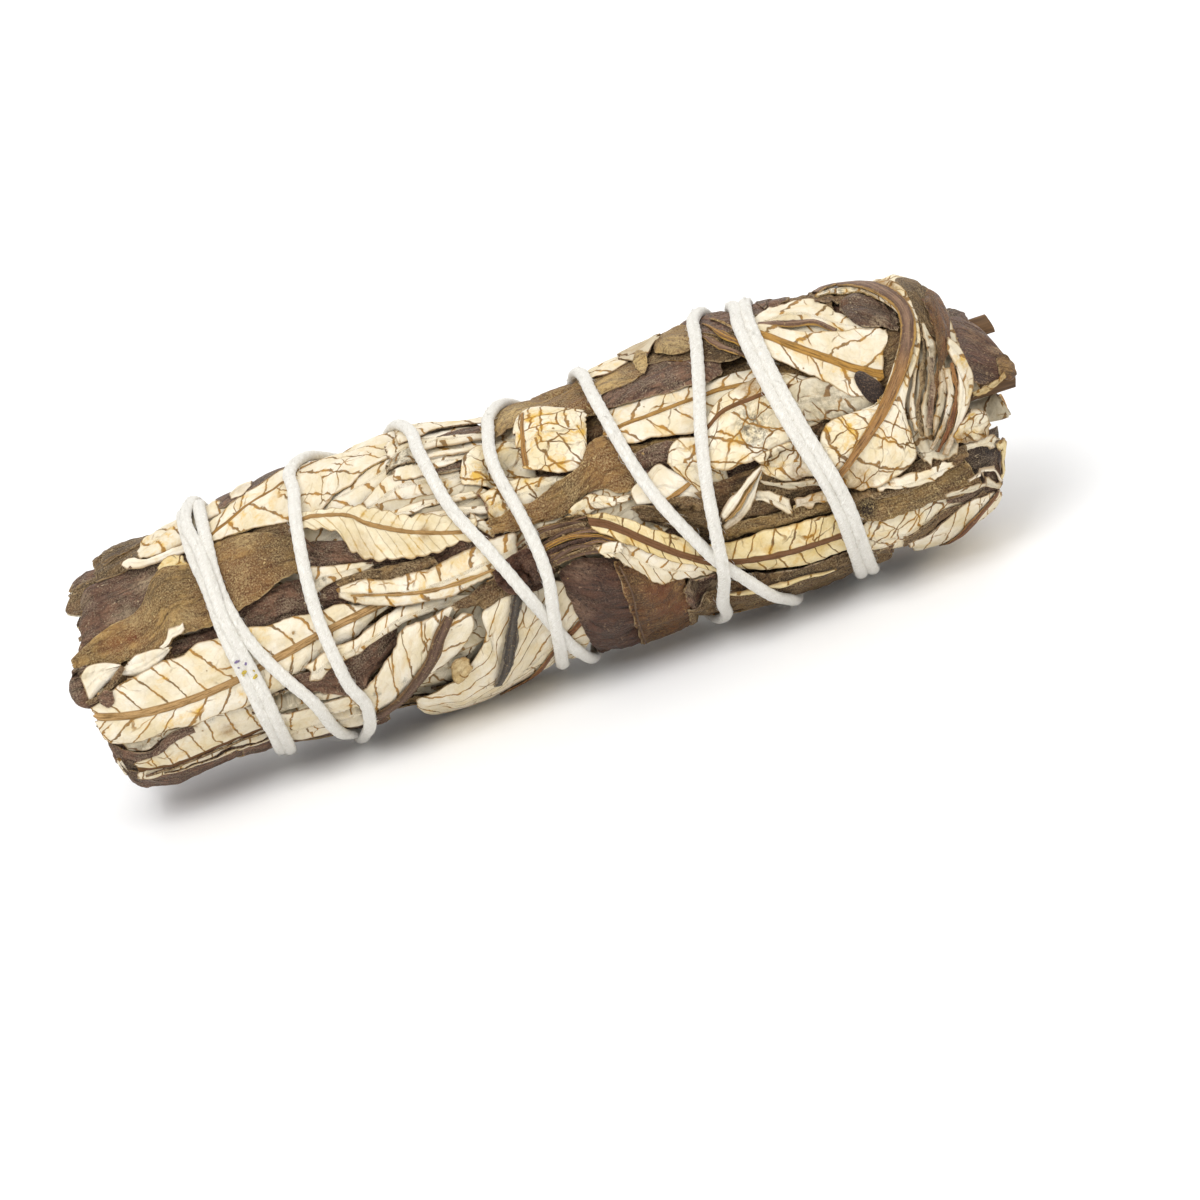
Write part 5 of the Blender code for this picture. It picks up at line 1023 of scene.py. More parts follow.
blade("leaf_cream_pod", between(((27.8, 0.9), (29, 1.15), (31, 0.9), (34, 0.2), (39, 0.1), (44, 0.8), (47.5, 0.8)),
    ((27.9, 0.1), (29.6, -1.3), (32, -2.4), (35, -3.2), (38, -3.5), (44, -3.1), (47.5, -2.4))), cream_felt,
    olive_leather, node="cream_leaf_09", pitch=3.2, slant=0.2, arch=0.25, roll=0.5, margin=0.4,
    marks=((42.5, -0.3, 1.6, OCHRE, 0.9), (32, -2.2, 2, OCHRE, 0.9), (36, -2.9, 2, OCHRE, 0.9),
    (41, -2.9, 2.4, OCHRE, 0.9)))
blade("rib_pod_fold", along_rib((29.2, -0.3, 0.08), (33, -1.3, 0.15), (36, -2.1, 0.18), (40, -2.4, 0.18),
    (44.5, -2.2, 0.14)), tan_midrib, olive_leather, step=0.2, thick=0.2, arch=0.15, wave=0.03, drape=0.1, ragged=0.08,
    torn=0.1)
blade("leaf_cream_net_left", between(((32.8, 8.8), (34.4, 9.7), (36, 10.8), (38.5, 11.3), (42, 10.6), (46, 10.2)),
    ((33.2, 8), (35.5, 7.4), (38, 7.7), (41, 7.4), (46, 7.4))), node="cream_leaf_10", slant=0.1,
    feet=(1.5, 3.9, 6.2, 9.4, 12), marks=((43, 7.8, 2.5, OCHRE, 0.8),))
blade("leaf_grey_behind_strips", between(((34.5, 8.2), (40, 7.9), (46, 8)), ((35, 4.4), (40, 3.8), (46, 3.4))),
    grey_felt, sunk=1.25, wave=0.2, pleats=(5, 0.3))
blade("leaf_strip_cream_1", between(((35.5, 7.2), (38, 7.1), (41, 7), (45, 6.6)), ((35.5, 6.4), (38, 6.1), (41, 6.2),
    (45, 5.6))), raise_by=0.15, roll=0.3, drape=0.2, step=0.3)
blade("leaf_strip_cream_2", between(((36, 6), (39, 5.6), (42, 5.6), (45.5, 4.6)), ((36.2, 5), (39, 4.5), (42, 4.4),
    (45.5, 3.6))), raise_by=0.15, roll=0.3, drape=0.2, step=0.3)
blade("leaf_strip_cream_3", along_rib((42.9, 4.2, 0.4), (43.8, 3.2, 0.6), (44.8, 2, 0.55), (45.6, 0.9, 0.3)),
    grey_felt, raise_by=0.15, arch=0.4, half_round=True, drape=0.2, step=0.26)
blade("leaf_cream_crinkled", between(((25.8, 9.8), (29, 9.2), (32, 8.7), (34, 7.8), (36, 6.6), (38.5, 5.6),
    (41.5, 4.6), (44, 3.4)), ((26.2, 8), (28.5, 7.4), (30.1, 6.3), (30.5, 4.9), (31.2, 3.6), (33, 2.7), (35, 1.9),
    (38, 1.5), (41, 1.5), (44, 1)), ((26, 9), (29, 8.5), (31.6, 7.7), (33, 6.4), (35, 5.2), (37.5, 4), (40, 3.1),
    (44, 2))), pleated_felt, node="cream_leaf_11", rib=(0.26, 0.2), rib_code="#B08A56", ridge=0.16, pitch=1.25,
    slant=0.75, wave=0.3, pillow_depth=0.3, teeth=0.35, curl=(0.1, 0.4), step=0.28, margin=0.35,
    marks=((38.5, 3.6, 0.6, TAN, 0.9), (36, 3, 3, OCHRE, 0.7), (33, 6, 2.5, OCHRE, 0.5), (31.5, 4, 1.5, TAN, 0.4)))
blade("leaf_cream_pleated_top", between(((37, 14.6), (41, 16.6), (45, 15.6), (49, 13.5), (51.5, 12.4)), ((37, 9.8),
    (41, 9.4), (45, 9.2), (49, 10), (51.5, 11))), node="cream_leaf_12", wave=0.15, pitch=3.4, slant=0.05, sunk=1.15)
blade("leaf_dark_top_slit", between(((41.4, 13), (44.5, 13.6), (47.6, 13.2)), ((41.4, 12.7), (44.5, 12.5),
    (47.6, 12.6))), dark_leather, sunk=0.95, step=0.3)
blade("leaf_dark_low_slit", between(((40.4, 10), (43, 9.8), (45.4, 9.7)), ((40.4, 9.5), (43, 9.2), (45.4, 9.2))),
    dark_leather, sunk=1.1, step=0.3)
blade("leaf_cream_over_slit", between(((40.2, 11), (43, 10.9), (46.2, 10.5)), ((40.2, 9.9), (43, 9.6), (46.2, 9.4))),
    cream_felt, brown_leather, sunk=0.85, step=0.32, wave=0.2, ragged=0.2)
blade("leaf_grey_sliver", between(((36.5, 12), (37.6, 12.7), (40.4, 13.2)), ((36.5, 11.5), (38, 11.5), (40.4, 11.6))),
    grey_felt, sunk=0.9, step=0.3, marks=((38, 12, 3, SOOT, 0.8),))
blade("leaf_strip_top_outer", between(((38.5, 15.8), (42, 17), (45, 16.4), (49, 13.8)), ((38.5, 13.7), (41, 13.9),
    (43.5, 14.1), (46.5, 13.6), (49, 12.6))), sunk=0.1, pitch=3.4, slant=0.5, torn=0.2,
    marks=((45, 15, 3, OCHRE, 0.5),))
blade("leaf_roll_top_upper", along_rib((39.8, 12.3, 0.5), (42, 12.5, 0.62), (44.5, 12.2, 0.7), (47.2, 11.9, 0.6),
    (49.6, 11.9, 0.3)), raise_by=0.1, arch=0.5, half_round=True, wave=0.08, drape=0.2, pitch=3, slant=0.1, step=0.26,
    ragged=0.06)
blade("leaf_roll_top_lower", along_rib((40, 11.2, 0.4), (42.5, 11.1, 0.55), (45, 10.9, 0.5), (47.6, 10.9, 0.3)),
    plain_felt, raise_by=0.1, arch=0.4, half_round=True, wave=0.08, drape=0.2, step=0.26, ragged=0.06,
    marks=((43, 11, 3, OCHRE, 0.6),))
blade("leaf_net_corner", between(((43.6, 8.3), (44.8, 9.9), (47, 10.7), (49.5, 10.6), (51.4, 10)), ((43.6, 7.6),
    (45.5, 6.9), (47.6, 6.3), (49.6, 6.6), (51.4, 7))), netted_felt, raise_by=0.05, step=0.32, torn=0.15, margin=0.25,
    marks=((45.5, 8.4, 1.6, OCHRE, 1),))
blade("leaf_olive_top", between(((47, 12.3), (50, 15), (55, 19), (60, 20), (65, 18), (68, 15)), ((47.5, 10.8),
    (51, 11.3), (56, 11.2), (60, 10.9), (64, 11.1), (68, 12.6))), olive_leather, cream_felt, node="olive_leaf_03",
    wave=0.25, ragged=0.2, marks=((51, 12.6, 2.5, TAN, 0.8), (57.5, 12, 1.5, OCHRE, 0.6)))
blade("leaf_cream_waist_net", between(((44.8, 6), (48, 6.4), (51, 6), (53.5, 5.4), (56.2, 5)), ((45.2, 2.5),
    (47.5, 2.9), (50, 3.1), (53, 4), (56.2, 4.6))), netted_felt, node="cream_leaf_13",
    marks=((47, 4.4, 3, OCHRE, 0.6),))
blade("leaf_cream_polygon_net", between(((50.1, 10.4), (51.2, 11.9), (53, 12.6), (55, 12.1), (57, 11.4),
    (58.4, 10.4)), ((50.1, 6.8), (51.8, 6.3), (53.4, 5.5), (55, 5.1), (56.6, 5.8), (57.6, 8.8))), netted_felt,
    node="cream_leaf_14", pitch=2.4, slant=0.1, step=0.32, margin=0.25, marks=((53, 9.5, 3, OCHRE, 0.9),
    (55.5, 8, 2.4, OCHRE, 1), (51, 9, 1, OCHRE, 1)))
blade("rib_ochre_net", along_rib((50.5, 6.9, 0.3), (50.8, 8.6, 0.28), (51.3, 10.4, 0.2), (51.9, 12, 0.12)),
    gold_midrib, olive_leather, step=0.2, thick=0.2, arch=0.15, wave=0.03, drape=0.1, ragged=0.04, torn=0.1,
    marks=((50.8, 8.5, 5, OCHRE, 1), (50.8, 8.5, 5, TAN, 0.6)))
blade("leaf_olive_band", between(((44.8, 2.6), (47, 3), (50, 3.3), (53, 4.3), (55.5, 5), (56.9, 6.5), (58.2, 7.6),
    (59.6, 7.5), (61.2, 6.1), (64, 5.5), (68, 5)), ((44.8, 1.2), (47, 0.9), (50, 0.8), (53, 1), (55, 2.2),
    (57.5, 2.3), (58.6, 1.2), (60.4, 1.4), (61.6, 3.6), (64, 3.4), (68, 4.2))), olive_leather, cream_felt,
    node="olive_leaf_04", ragged=0.15, wave=0.2, marks=((49, 2, 3.4, OCHRE, 0.35), (54, 2.6, 3, SOOT, 0.3),
    (58.5, 4.6, 3.4, OCHRE, 0.4), (63, 4.6, 3, SOOT, 0.4)))
blade("leaf_pale_patch", between(((53, 1.2), (54.3, 1.9), (56, 2.3), (58, 1.2), (60, 0.9)), ((53.2, 0.5), (54.5, 0.1),
    (56, 0.3), (58, 0.1), (60, 0.2))), netted_felt, raise_by=-0.1, step=0.3, marks=((55, 1.2, 2, OCHRE, 0.5),))
blade("leaf_dark_fold_waist", between(((38.6, -4.7), (41, -4.1), (44, -3.2), (46.5, -2.6), (48.5, -1.4),
    (50.5, -1.4)), ((39.2, -5.2), (42, -5.9), (44, -5.4), (46.5, -5.1), (48.5, -5.3), (50.5, -5))), brown_leather,
    cream_felt, sunk=1, wave=0.2, pleats=(2, 0.4))
blade("leaf_strands_glossy", between(((47, -0.9), (50, 0.2), (53, 0.5), (56, -0.4), (59, -3)), ((47.5, -4.8),
    (50, -4.3), (53, -3.8), (56, -4.6), (59, -5))), brown_leather, olive_leather, node="dark_leaf_06", step=0.3,
    wave=0.1)
strand_finishes = (brown_midrib, dark_midrib, brown_leather, dark_midrib, brown_midrib, gold_midrib, resin_leather)
for number in range(11):
    down = 0.37 * number
    shake = draw.uniform(-0.32, 0.32, 5)
    width = draw.uniform(0.12, 0.3)
    blade(f"strand_glossy_{number + 1}", along_rib(
        (46.9 + 0.1 * number, -0.9 - down + shake[0], 0.1), (49.8, 0.0 - down + shake[1], width),
        (52.6, 0.2 - down + shake[2], width), (55.2, -0.4 - 0.95 * down + shake[3], width),
        (58.4 - 0.2 * number, -2.3 - 0.55 * down + shake[4], 0.1),
    ), strand_finishes[number % 7], step=0.22, thick=0.25, arch=0.26, half_round=True, wave=0.05, drape=0.1,
        ragged=0.03, torn=0.3, raise_by=0.02 * number)
blade("leaf_dark_crossing", between(((43.6, -2.6), (45.5, -1.6), (48, -1.2), (50.2, -2.6)), ((43.6, -4), (45.5, -5.3),
    (48, -5.6), (50.2, -4.6))), resin_leather, sunk=0.75, wave=0.25, pleats=(2, 0.4), step=0.32)
blade("leaf_dark_resting", between(((50.1, -4.5), (52.5, -3.9), (55, -4.7), (57.4, -6.2)), ((51.8, -14.2),
    (52.4, -17), (54.5, -19.5), (57.4, -20))), resin_leather, cream_felt, node="dark_leaf_07", wave=0.3, ragged=0.15,
    torn=0.2, step=0.34, marks=((50.8, -8.4, 0.8, TAN, 0.9), (52.5, -5, 1.2, TAN, 0.6), (51.6, -9.5, 0.8, TAN, 0.7)))
blade("leaf_rust_resting", between(((56, -5.5), (58, -6.3), (59, -7.8), (60.3, -9.1), (62.6, -9.5)), ((56.2, -19.5),
    (58.5, -20), (60, -19), (61.5, -16), (62.2, -13.6))), rust_leather, cream_felt, sunk=0.15, wave=0.35, ragged=0.2,
    torn=0.25, step=0.34, marks=((59.8, -9.6, 1.4, OCHRE, 0.7), (60.2, -12, 1.6, OCHRE, 0.6),
    (61.5, -10, 0.6, TAN, 0.6)))
blade("rib_dark_resting", along_rib((56.5, -5.9, 0.1), (56.9, -9, 0.13), (56.6, -12, 0.13), (56.7, -15, 0.1),
    (56.6, -17.5, 0.08)), dark_midrib, step=0.22, thick=0.2, arch=0.06, wave=0, drape=0.1, ragged=0, torn=0.1)


# --- Cover leaves, folded end -------------------------------------------------------------------
# Leaves bent back at the tip of the bundle: a long folded one with a purple-brown rib along the
# front, one whose rib loops over the end, and edges of many more that stand side by side.

blade("leaf_dark_end_low", between(((95.5, 9.8), (97.2, 9.6), (98.8, 8.8)), ((95.5, 6.8), (97.2, 6.6), (98.8, 7.2))),
    dark_leather, grey_felt, sunk=0.4, ragged=0.2, torn=0.3, step=0.28, marks=((97, 8, 3, SOOT, 0.4),
    (97.5, 7.4, 1.4, TAN, 0.8)))
blade("leaf_red_end", between(((96.2, 7.6), (97.6, 8), (98.8, 7.2), (99.8, 5.9), (100.6, 4.2), (101.2, 2.6)),
    ((96.2, 3), (97, 1.2), (98, 0.3), (99.2, 0.1), (100.4, 0.5), (101.2, 1.4))), red_leather, cream_felt,
    node="dark_leaf_09", curl=(0.25, 0.25), margin=0.45, torn=0.15, ragged=0.15, step=0.26, sunk=-0.3, wave=0.3,
    marks=((98, 1.2, 1.6, SOOT, 0.7), (98.4, 5.6, 1.2, TAN, 0.35), (100.6, 3.4, 0.9, TAN, 0.8)))
blade("leaf_end_nub", between(((100.2, 2.4), (101.2, 2.6), (101.8, 1.6)), ((100, 0.4), (101, -0.2), (101.8, 0.3))),
    rust_leather, brown_leather, roll=0.3, arch=0.5, torn=0.05, step=0.22, sunk=-0.8,
    marks=((101, 1.4, 1.4, TAN, 0.8),))
blade("leaf_end_pale_strip", between(((96.6, -0.1), (98, 0), (99.6, 0.4), (100.6, 0.8)), ((96.6, -0.6), (98, -0.6),
    (99.4, -0.3), (100.6, 0.3))), yellow_felt, brown_leather, torn=0.1, step=0.22, sunk=-0.25, arch=0.3,
    half_round=True, wave=0.2, ragged=0.2, margin=0.25, marks=((98, -0.2, 2, TAN, 0.6), (100, 0.4, 1, TAN, 0.9)))
blade("leaf_cream_upper_right", between(((58.8, 9.9), (62, 10.9), (66, 10.7), (70, 10.4), (75, 10.6), (78, 9.2)),
    ((59.4, 6.6), (62, 5.7), (65, 5.5), (68, 5.1), (72, 5.6), (78, 7.2)), ((59, 7.5), (62, 7.9), (65, 8.2), (69, 8.7),
    (74, 8.7), (78, 8.2))), node="cream_leaf_15", rib=(0.27, 0.22), rib_code="#B58A4C", ridge=0.12, pitch=3.2,
    slant=0.7, marks=((62, 7, 3, OCHRE, 0.6), (67, 8.6, 2, OCHRE, 0.5)))
blade("leaf_dark_hole_left", between(((61, 4.6), (63, 5), (65.5, 4.8), (68, 4.4)), ((61, 2.4), (63, 2.2), (65.5, 2),
    (68, 1.8))), dark_leather, sunk=1.5)
blade("leaf_cream_patch", between(((59.9, 1), (60.4, 1.6), (61.6, 2.2), (63.4, 2.9), (64.4, 2.2), (66, 0.3),
    (67.4, -1.7)), ((60, -0.5), (61.5, -0.9), (63, -1.3), (64.5, -1.9), (66, -2.4), (66.8, -2.6), (67.4, -2.5))),
    plain_felt, brown_leather, sunk=0.6, roll=0.1, drape=0.2, wave=0.08, step=0.3, torn=0.1, ragged=0.06, margin=0.2,
    marks=((61, 1.4, 1.2, OCHRE, 0.5), (66.6, -2, 0.9, TAN, 0.5)))
blade("rib_across_patch", along_rib((62.9, -1.1, 0.22), (64.6, -0.7, 0.3), (66.3, 0.1, 0.2)), tan_midrib, step=0.2,
    thick=0.15, arch=0.08, wave=0.05, drape=0.1, ragged=0.06, torn=0.1, marks=((64.5, -0.6, 3, OCHRE, 0.5),))
blade("leaf_cream_blob", between(((64.4, 2.6), (65.4, 4.4), (67, 4.9), (68.8, 4.2), (70, 2.6)), ((64.8, 1.8), (66, 0),
    (67.4, -2.4), (69, -3.2), (70, -1.8))), netted_felt, node="cream_leaf_16", arch=0.4, roll=0.6, step=0.34,
    torn=0.1, marks=((68.6, -0.4, 1.2, OCHRE, 0.7),))
blade("leaf_cream_fan_veined", between(((68.3, 4.9), (70.5, 6.8), (73, 8.2), (76, 8.9), (79, 8.3), (82, 6.4)),
    ((67.8, 3), (68.4, 1), (71, 0.1), (75, 0.4), (79, 1.3), (83.5, 3.4)), ((68.2, 4.1), (70, 5.1), (71.5, 5.9),
    (74.5, 6.3), (78, 6.6), (82.5, 5.6))), netted_felt, olive_leather, node="cream_leaf_17", rib=(0.24, 0.18),
    rib_code="#7D5636", ridge=0.12, slant=1.1, pitch=2.9, marks=((74, 3.4, 1.7, SOOT, 1), (75, 7.7, 1.2, TAN, 0.9),
    (72.6, 2.4, 1, OCHRE, 0.8)))
blade("leaf_dark_upper_right", between(((59.5, 12.4), (62, 13.4), (66, 14.5), (70, 15), (73, 14)), ((59.8, 10.1),
    (63, 10), (67, 9.9), (70, 9.8), (73, 10.4))), dark_leather, cream_felt, node="dark_leaf_08", wave=0.25)
blade("leaf_olive_upper_right", between(((58.4, 13.6), (60, 14.2), (62.5, 14.4), (65.3, 14.3)), ((58.6, 12),
    (60.4, 11.5), (62.5, 11.8), (65.5, 12.6))), olive_leather, cream_felt, raise_by=0.2, curl=(0.2, 0.3),
    marks=((61, 12.4, 2, TAN, 0.5),))
blade("leaf_brown_top_right", between(((65, 17), (70, 20), (75, 22), (80, 20), (86, 16)), ((65.5, 13.6), (70, 12.6),
    (74, 11.4), (78, 13), (86, 13.6))), brown_leather, cream_felt, node="olive_leaf_05", wave=0.4, pleats=(6, 0.5),
    ragged=0.25, sunk=0.35, step=0.36, marks=((74, 12.6, 2.5, SOOT, 0.7), (70, 15.4, 2, TAN, 0.4)))
blade("leaf_dark_top_right_layer", between(((70, 18), (74, 20), (78, 19.5), (82, 17)), ((70.4, 15), (74, 13.6),
    (78, 14.8), (82, 15))), dark_leather, cream_felt, wave=0.35, ragged=0.25, sunk=0, torn=0.5, curl=(0.2, 0.4),
    step=0.34)
for number, points in enumerate((
    ((72.4, 15.2), (73.8, 13.6), (75.4, 12.4), (77, 11.2)), ((73.4, 15.6), (74.9, 14.2), (76.4, 13), (78.2, 12)),
    ((71.8, 14.2), (73, 12.9), (74.4, 11.8), (76, 10.8)),
), 1):
    blade(f"fold_gold_striped_{number}", fold(points, 0.32, 0.15),
          (gold_midrib, olive_leather, brown_midrib)[number - 1], step=0.24, raise_by=0.15, arch=0.35,
          half_round=True, wave=0.06, drape=0.15, torn=0.1)
blade("leaf_dark_bead_top", between(((78.4, 16.4), (79.2, 17.6), (80.2, 16.6)), ((78.4, 15.6), (79.2, 15),
    (80.2, 15.6))), dark_leather, sunk=-0.5, arch=0.5, roll=0.3, torn=0.05, step=0.24)
blade("leaf_olive_curl_right", between(((66.8, 14.4), (68.2, 15.8), (70, 15.9), (71.6, 15)), ((66.8, 14),
    (68.2, 13.3), (70, 13.1), (71.6, 13.9))), olive_leather, cream_felt, raise_by=0.3, arch=0.6, wave=0.4,
    curl=(0.2, 0.3), torn=0.1, step=0.28, marks=((69, 14, 2, TAN, 0.6),))
blade("leaf_cream_top_scrap", between(((58.8, 15.2), (61, 16.4), (63.8, 16.6)), ((58.8, 14), (61, 13.6), (64, 14.2))),
    raise_by=0.25, ragged=0.2, curl=(0.2, 0.3), torn=0.3, step=0.3, marks=((61, 14, 2, OCHRE, 0.6),))
blade("leaf_cream_torn_top", between(((63, 15.4), (64.6, 17.2), (66.4, 17.6), (68, 16.8)), ((63, 14.4), (64.6, 14),
    (66.4, 14.2), (68, 15.2))), grey_felt, raise_by=0.35, ragged=0.3, curl=(0.3, 0.3), wave=0.35, step=0.28,
    marks=((65, 15, 2, TAN, 0.5),))
blade("leaf_tan_torn_tip", between(((64.3, 13.6), (65.1, 14.4), (66, 13.9)), ((64.3, 13.2), (65, 12.5),
    (65.8, 13.3))), olive_leather, raise_by=0.15, ragged=0.3, curl=(0.3, 0.3), torn=0.2, step=0.24,
    marks=((65, 13.2, 2, TAN, 0.8),))
blade("leaf_grey_under_broad", between(((77.5, 5.7), (80.5, 6.5), (84, 5.4), (87.5, 3.4)), ((78, 3.4), (80.5, 2),
    (84, 1.6), (87.5, 1.8))), grey_felt, node="cream_leaf_19", pitch=3, marks=((82, 2.6, 3, SOOT, 0.5),))
blade("leaf_cream_upper_strip", between(((77.2, 14.4), (80, 14.9), (83, 14.7), (86.2, 13), (89.5, 10.6)),
    ((77.2, 12.6), (80, 12.2), (83, 11.6), (86, 10.2), (89.5, 9))), cream_felt, brown_leather, sunk=1.1, pitch=3.4)
blade("rib_upper_strip", along_rib((77.8, 13.4, 0.4), (80.5, 12.9, 0.42), (83.4, 12.3, 0.4), (85.2, 10.9, 0.25)),
    brown_midrib, step=0.2, thick=0.3, arch=0.3, half_round=True, wave=0.04, drape=0.1, ragged=0.05, torn=0.1)
blade("leaf_cream_broad_right", between(((76, 13.9), (79, 12.9), (82, 11.6), (85.5, 10.6), (88.5, 10.1), (90.5, 9.3)),
    ((76.3, 11.4), (78.6, 9.2), (80.5, 7.4), (82.6, 5.4), (84.6, 3.2), (86.8, 2.6)), ((76.2, 13.1), (78.3, 11.9),
    (80, 10.5), (82, 9), (84, 7.6), (86, 6.1), (88.6, 4.6))), cream_felt, olive_leather, node="cream_leaf_18",
    rib=(0.6, 0.5), rib_code="#B98A42", ridge=0.14, pitch=3.6, slant=0.8, step=0.36, marks=((80, 10.3, 2, OCHRE, 0.9),
    (84, 7.8, 2, OCHRE, 0.9), (87, 6, 2, OCHRE, 0.8)))
blade("leaf_brown_over_end", between(((83.6, 16.5), (88, 17), (91.2, 16), (93.8, 14)), ((84, 14.2), (87, 13.8),
    (90, 13), (93, 11.6))), brown_leather, sunk=0.55, wave=0.3, ragged=0.2, pleats=(3, 0.3), step=0.32,
    marks=((88, 15, 4, SOOT, 0.55),))
blade("leaf_dark_granular_patch", between(((86, 13.6), (88, 13.9), (90, 13), (92, 10.6)), ((86.6, 12.4), (87.4, 11),
    (89, 10), (91.6, 8.8))), dark_leather, sunk=0.75, step=0.32, wave=0.25, marks=((88.6, 11.8, 3, SOOT, 0.55),
    (89.6, 10.2, 0.8, TAN, 0.6)))
blade("leaf_pale_end_knob", between(((91.4, 14.6), (93, 15.4), (94.4, 14.8), (95, 13.6)), ((91.4, 12.9), (93, 12),
    (94.4, 12), (95, 12.8))), netted_felt, brown_leather, arch=0.6, raise_by=0.1, sunk=0.3, roll=0.3, torn=0.05,
    step=0.28)
blade("leaf_resin_bead", between(((85.3, 4.7), (86, 5.4), (87.2, 4.4), (88.4, 3)), ((85.6, 3.2), (86.2, 2.2),
    (87.2, 1.8), (88.4, 2.2))), resin_leather, raise_by=0.1, arch=0.5, roll=0.3, step=0.24, torn=0.1, wave=0.05,
    marks=((87, 3, 4, SOOT, 1),))
blade("leaf_dark_under_loop", between(((66, -1), (70, -0.8), (75, -0.6), (80, -1.2)), ((66, -6.6), (70, -7.2),
    (75, -7.6), (80, -7.4))), brown_leather, sunk=2.6, wave=0.3)
blade("leaf_dark_patch_left", between(((59.4, -0.6), (62, -1), (65, -1.3), (68.2, -2.8)), ((60, -2.4), (62.5, -4.2),
    (65.5, -6.2), (68.4, -6.2))), brown_leather, sunk=1.9, wave=0.2)
blade("leaf_olive_strip_low", between(((66.6, -5.9), (70, -5.9), (75, -6.6), (80.6, -6.4)), ((66.6, -7.7), (70, -7.8),
    (75, -8.2), (80.6, -8.4))), olive_leather, sunk=1.5, marks=((75, -7, 5, SOOT, 0.4),))
blade("leaf_ochre_blotched", between(((72.8, 0.4), (76, 0.9), (79.4, 0.2)), ((73.4, -1.6), (76, -3.4), (80.4, -4.2))),
    netted_felt, brown_leather, sunk=1.4, step=0.34, marks=((77, -2.9, 1.1, OCHRE, 1), (77, -2.9, 0.9, TAN, 0.8),
    (74.5, -0.4, 1, OCHRE, 0.6)))
blade("leaf_tan_strip", between(((72.6, -1.9), (74.6, -2.9), (76.6, -3.6), (79, -4.2)), ((72.8, -2.6), (74.6, -3.7),
    (76.6, -4.5), (79, -5.2))), grey_felt, brown_leather, raise_by=0.3, roll=0.3, step=0.28)
blade("leaf_torn_white_low", between(((69.6, -2.9), (71.6, -3), (73.4, -3.6), (75.4, -5.6)), ((69.8, -4.6),
    (72, -4.4), (73.6, -5.2), (75.2, -7.2))), raise_by=0.3, ragged=0.25, curl=(0.2, 0.4), step=0.3,
    marks=((71, -4, 1.6, SOOT, 0.5),))
blade("leaf_torn_edge_low", between(((75.2, -5.5), (77.4, -5.8), (80.4, -6)), ((75.2, -6.4), (77.4, -6.8),
    (80.4, -7))), cream_felt, olive_leather, raise_by=0.25, ragged=0.3, curl=(0.2, 0.3), step=0.28,
    marks=((78, -6, 3, TAN, 0.5),))
blade("leaf_blade_v_lower", along_rib((67.9, -5.8, 0.3), (69.8, -5, 0.55, 0.5), (71.7, -3.2, 0.42, 0.4),
    (73.5, -1.1, 0.12)), plain_felt, brown_leather, raise_by=0.4, arch=0.25, step=0.26, margin=0.3, torn=0.1,
    marks=((69, -5.2, 1.6, TAN, 0.6),))
blade("fold_between_v", along_rib((68.2, -5, 0.15), (69.9, -4, 0.2), (71.8, -2.4, 0.16), (73.4, -1, 0.08)),
    tan_midrib, raise_by=0.35, arch=0.1, step=0.24, torn=0.1)
blade("leaf_blade_v_upper", along_rib((68, -4.5, 0.25), (69.8, -3.2, 0.36, 0.34), (71.7, -1.8, 0.3),
    (73.6, -0.6, 0.1)), plain_felt, brown_leather, raise_by=0.55, arch=0.25, step=0.26, margin=0.3, torn=0.1)
blade("leaf_serrated_triangle", between(((54.6, -3.2), (57, -3.2), (60, -5.2), (63, -7.4), (66, -9.2)), ((55, -4.4),
    (56.5, -5.3), (58, -7), (59.8, -8.9), (62.4, -9.5), (66, -9.9))), sunk=-0.2, teeth=0.14, pitch=1.6, slant=0.7,
    step=0.3, margin=0.25, wave=0.06, pillow_depth=0.04)
blade("leaf_crumpled_brown", between(((61.8, -10.8), (63, -9.9), (65, -9.7), (67, -10.4)), ((61.9, -11.8),
    (63, -13.3), (65, -13.7), (67, -12.8))), dark_leather, grey_felt, arch=0.7, wave=0.6, ragged=0.25, step=0.26,
    pleats=(3, 0.4), curl=(0.3, 0.3), marks=((64.5, -11.6, 1, SOOT, 0.6), (65.4, -12.4, 1, TAN, 0.8),
    (62.8, -10.8, 0.9, TAN, 0.7)))
blade("leaf_long_folded", between(((54.8, 0.1), (57, -0.4), (60, -2.6), (62.5, -4.6), (65.5, -6.9), (68, -7.7),
    (71, -7.7), (75, -8), (79, -8.3), (83, -9.3)), ((54.8, -1.1), (57, -3), (60, -5.8), (63, -7.9), (66, -9.8),
    (69, -11.2), (72, -12.3), (75, -12.9), (79, -12.8), (83, -12.6)), ((54.8, -0.5), (57, -1.7), (60, -4.4),
    (63, -6.9), (66, -8.8), (70, -10.1), (75, -10.6), (79, -10.6), (83, -10.4))), yellow_felt, olive_leather,
    node="cream_leaf_21", rib=(0.42, 0.4), rib_code="#7C573A", ridge=0.2, pitch=1.9, slant=0.35, wave=0.1, step=0.3,
    margin=0.25, torn=0.2, marks=((75, -9.8, 4, OCHRE, 0.6), (62, -5, 3, OCHRE, 0.6)))
blade("leaf_cream_lower_right", between(((80.8, -10), (84, -9.8), (88, -9.9), (92, -10), (96.8, -9.4)),
    ((80.8, -12.4), (83, -13.6), (86, -13.6), (90, -12.3), (96.8, -10))), netted_felt, node="cream_leaf_22",
    wave=0.14, margin=0.25, marks=((82, -11, 1.5, OCHRE, 0.6),))
blade("leaf_dark_hole_end", between(((90.6, -4.6), (94, -4.4), (98.2, -5)), ((90.6, -10.8), (94, -11.2),
    (97.4, -10))), dark_leather, sunk=1.3, step=0.32, torn=0.1, marks=((95.6, -7.6, 3, SOOT, 0.9),))
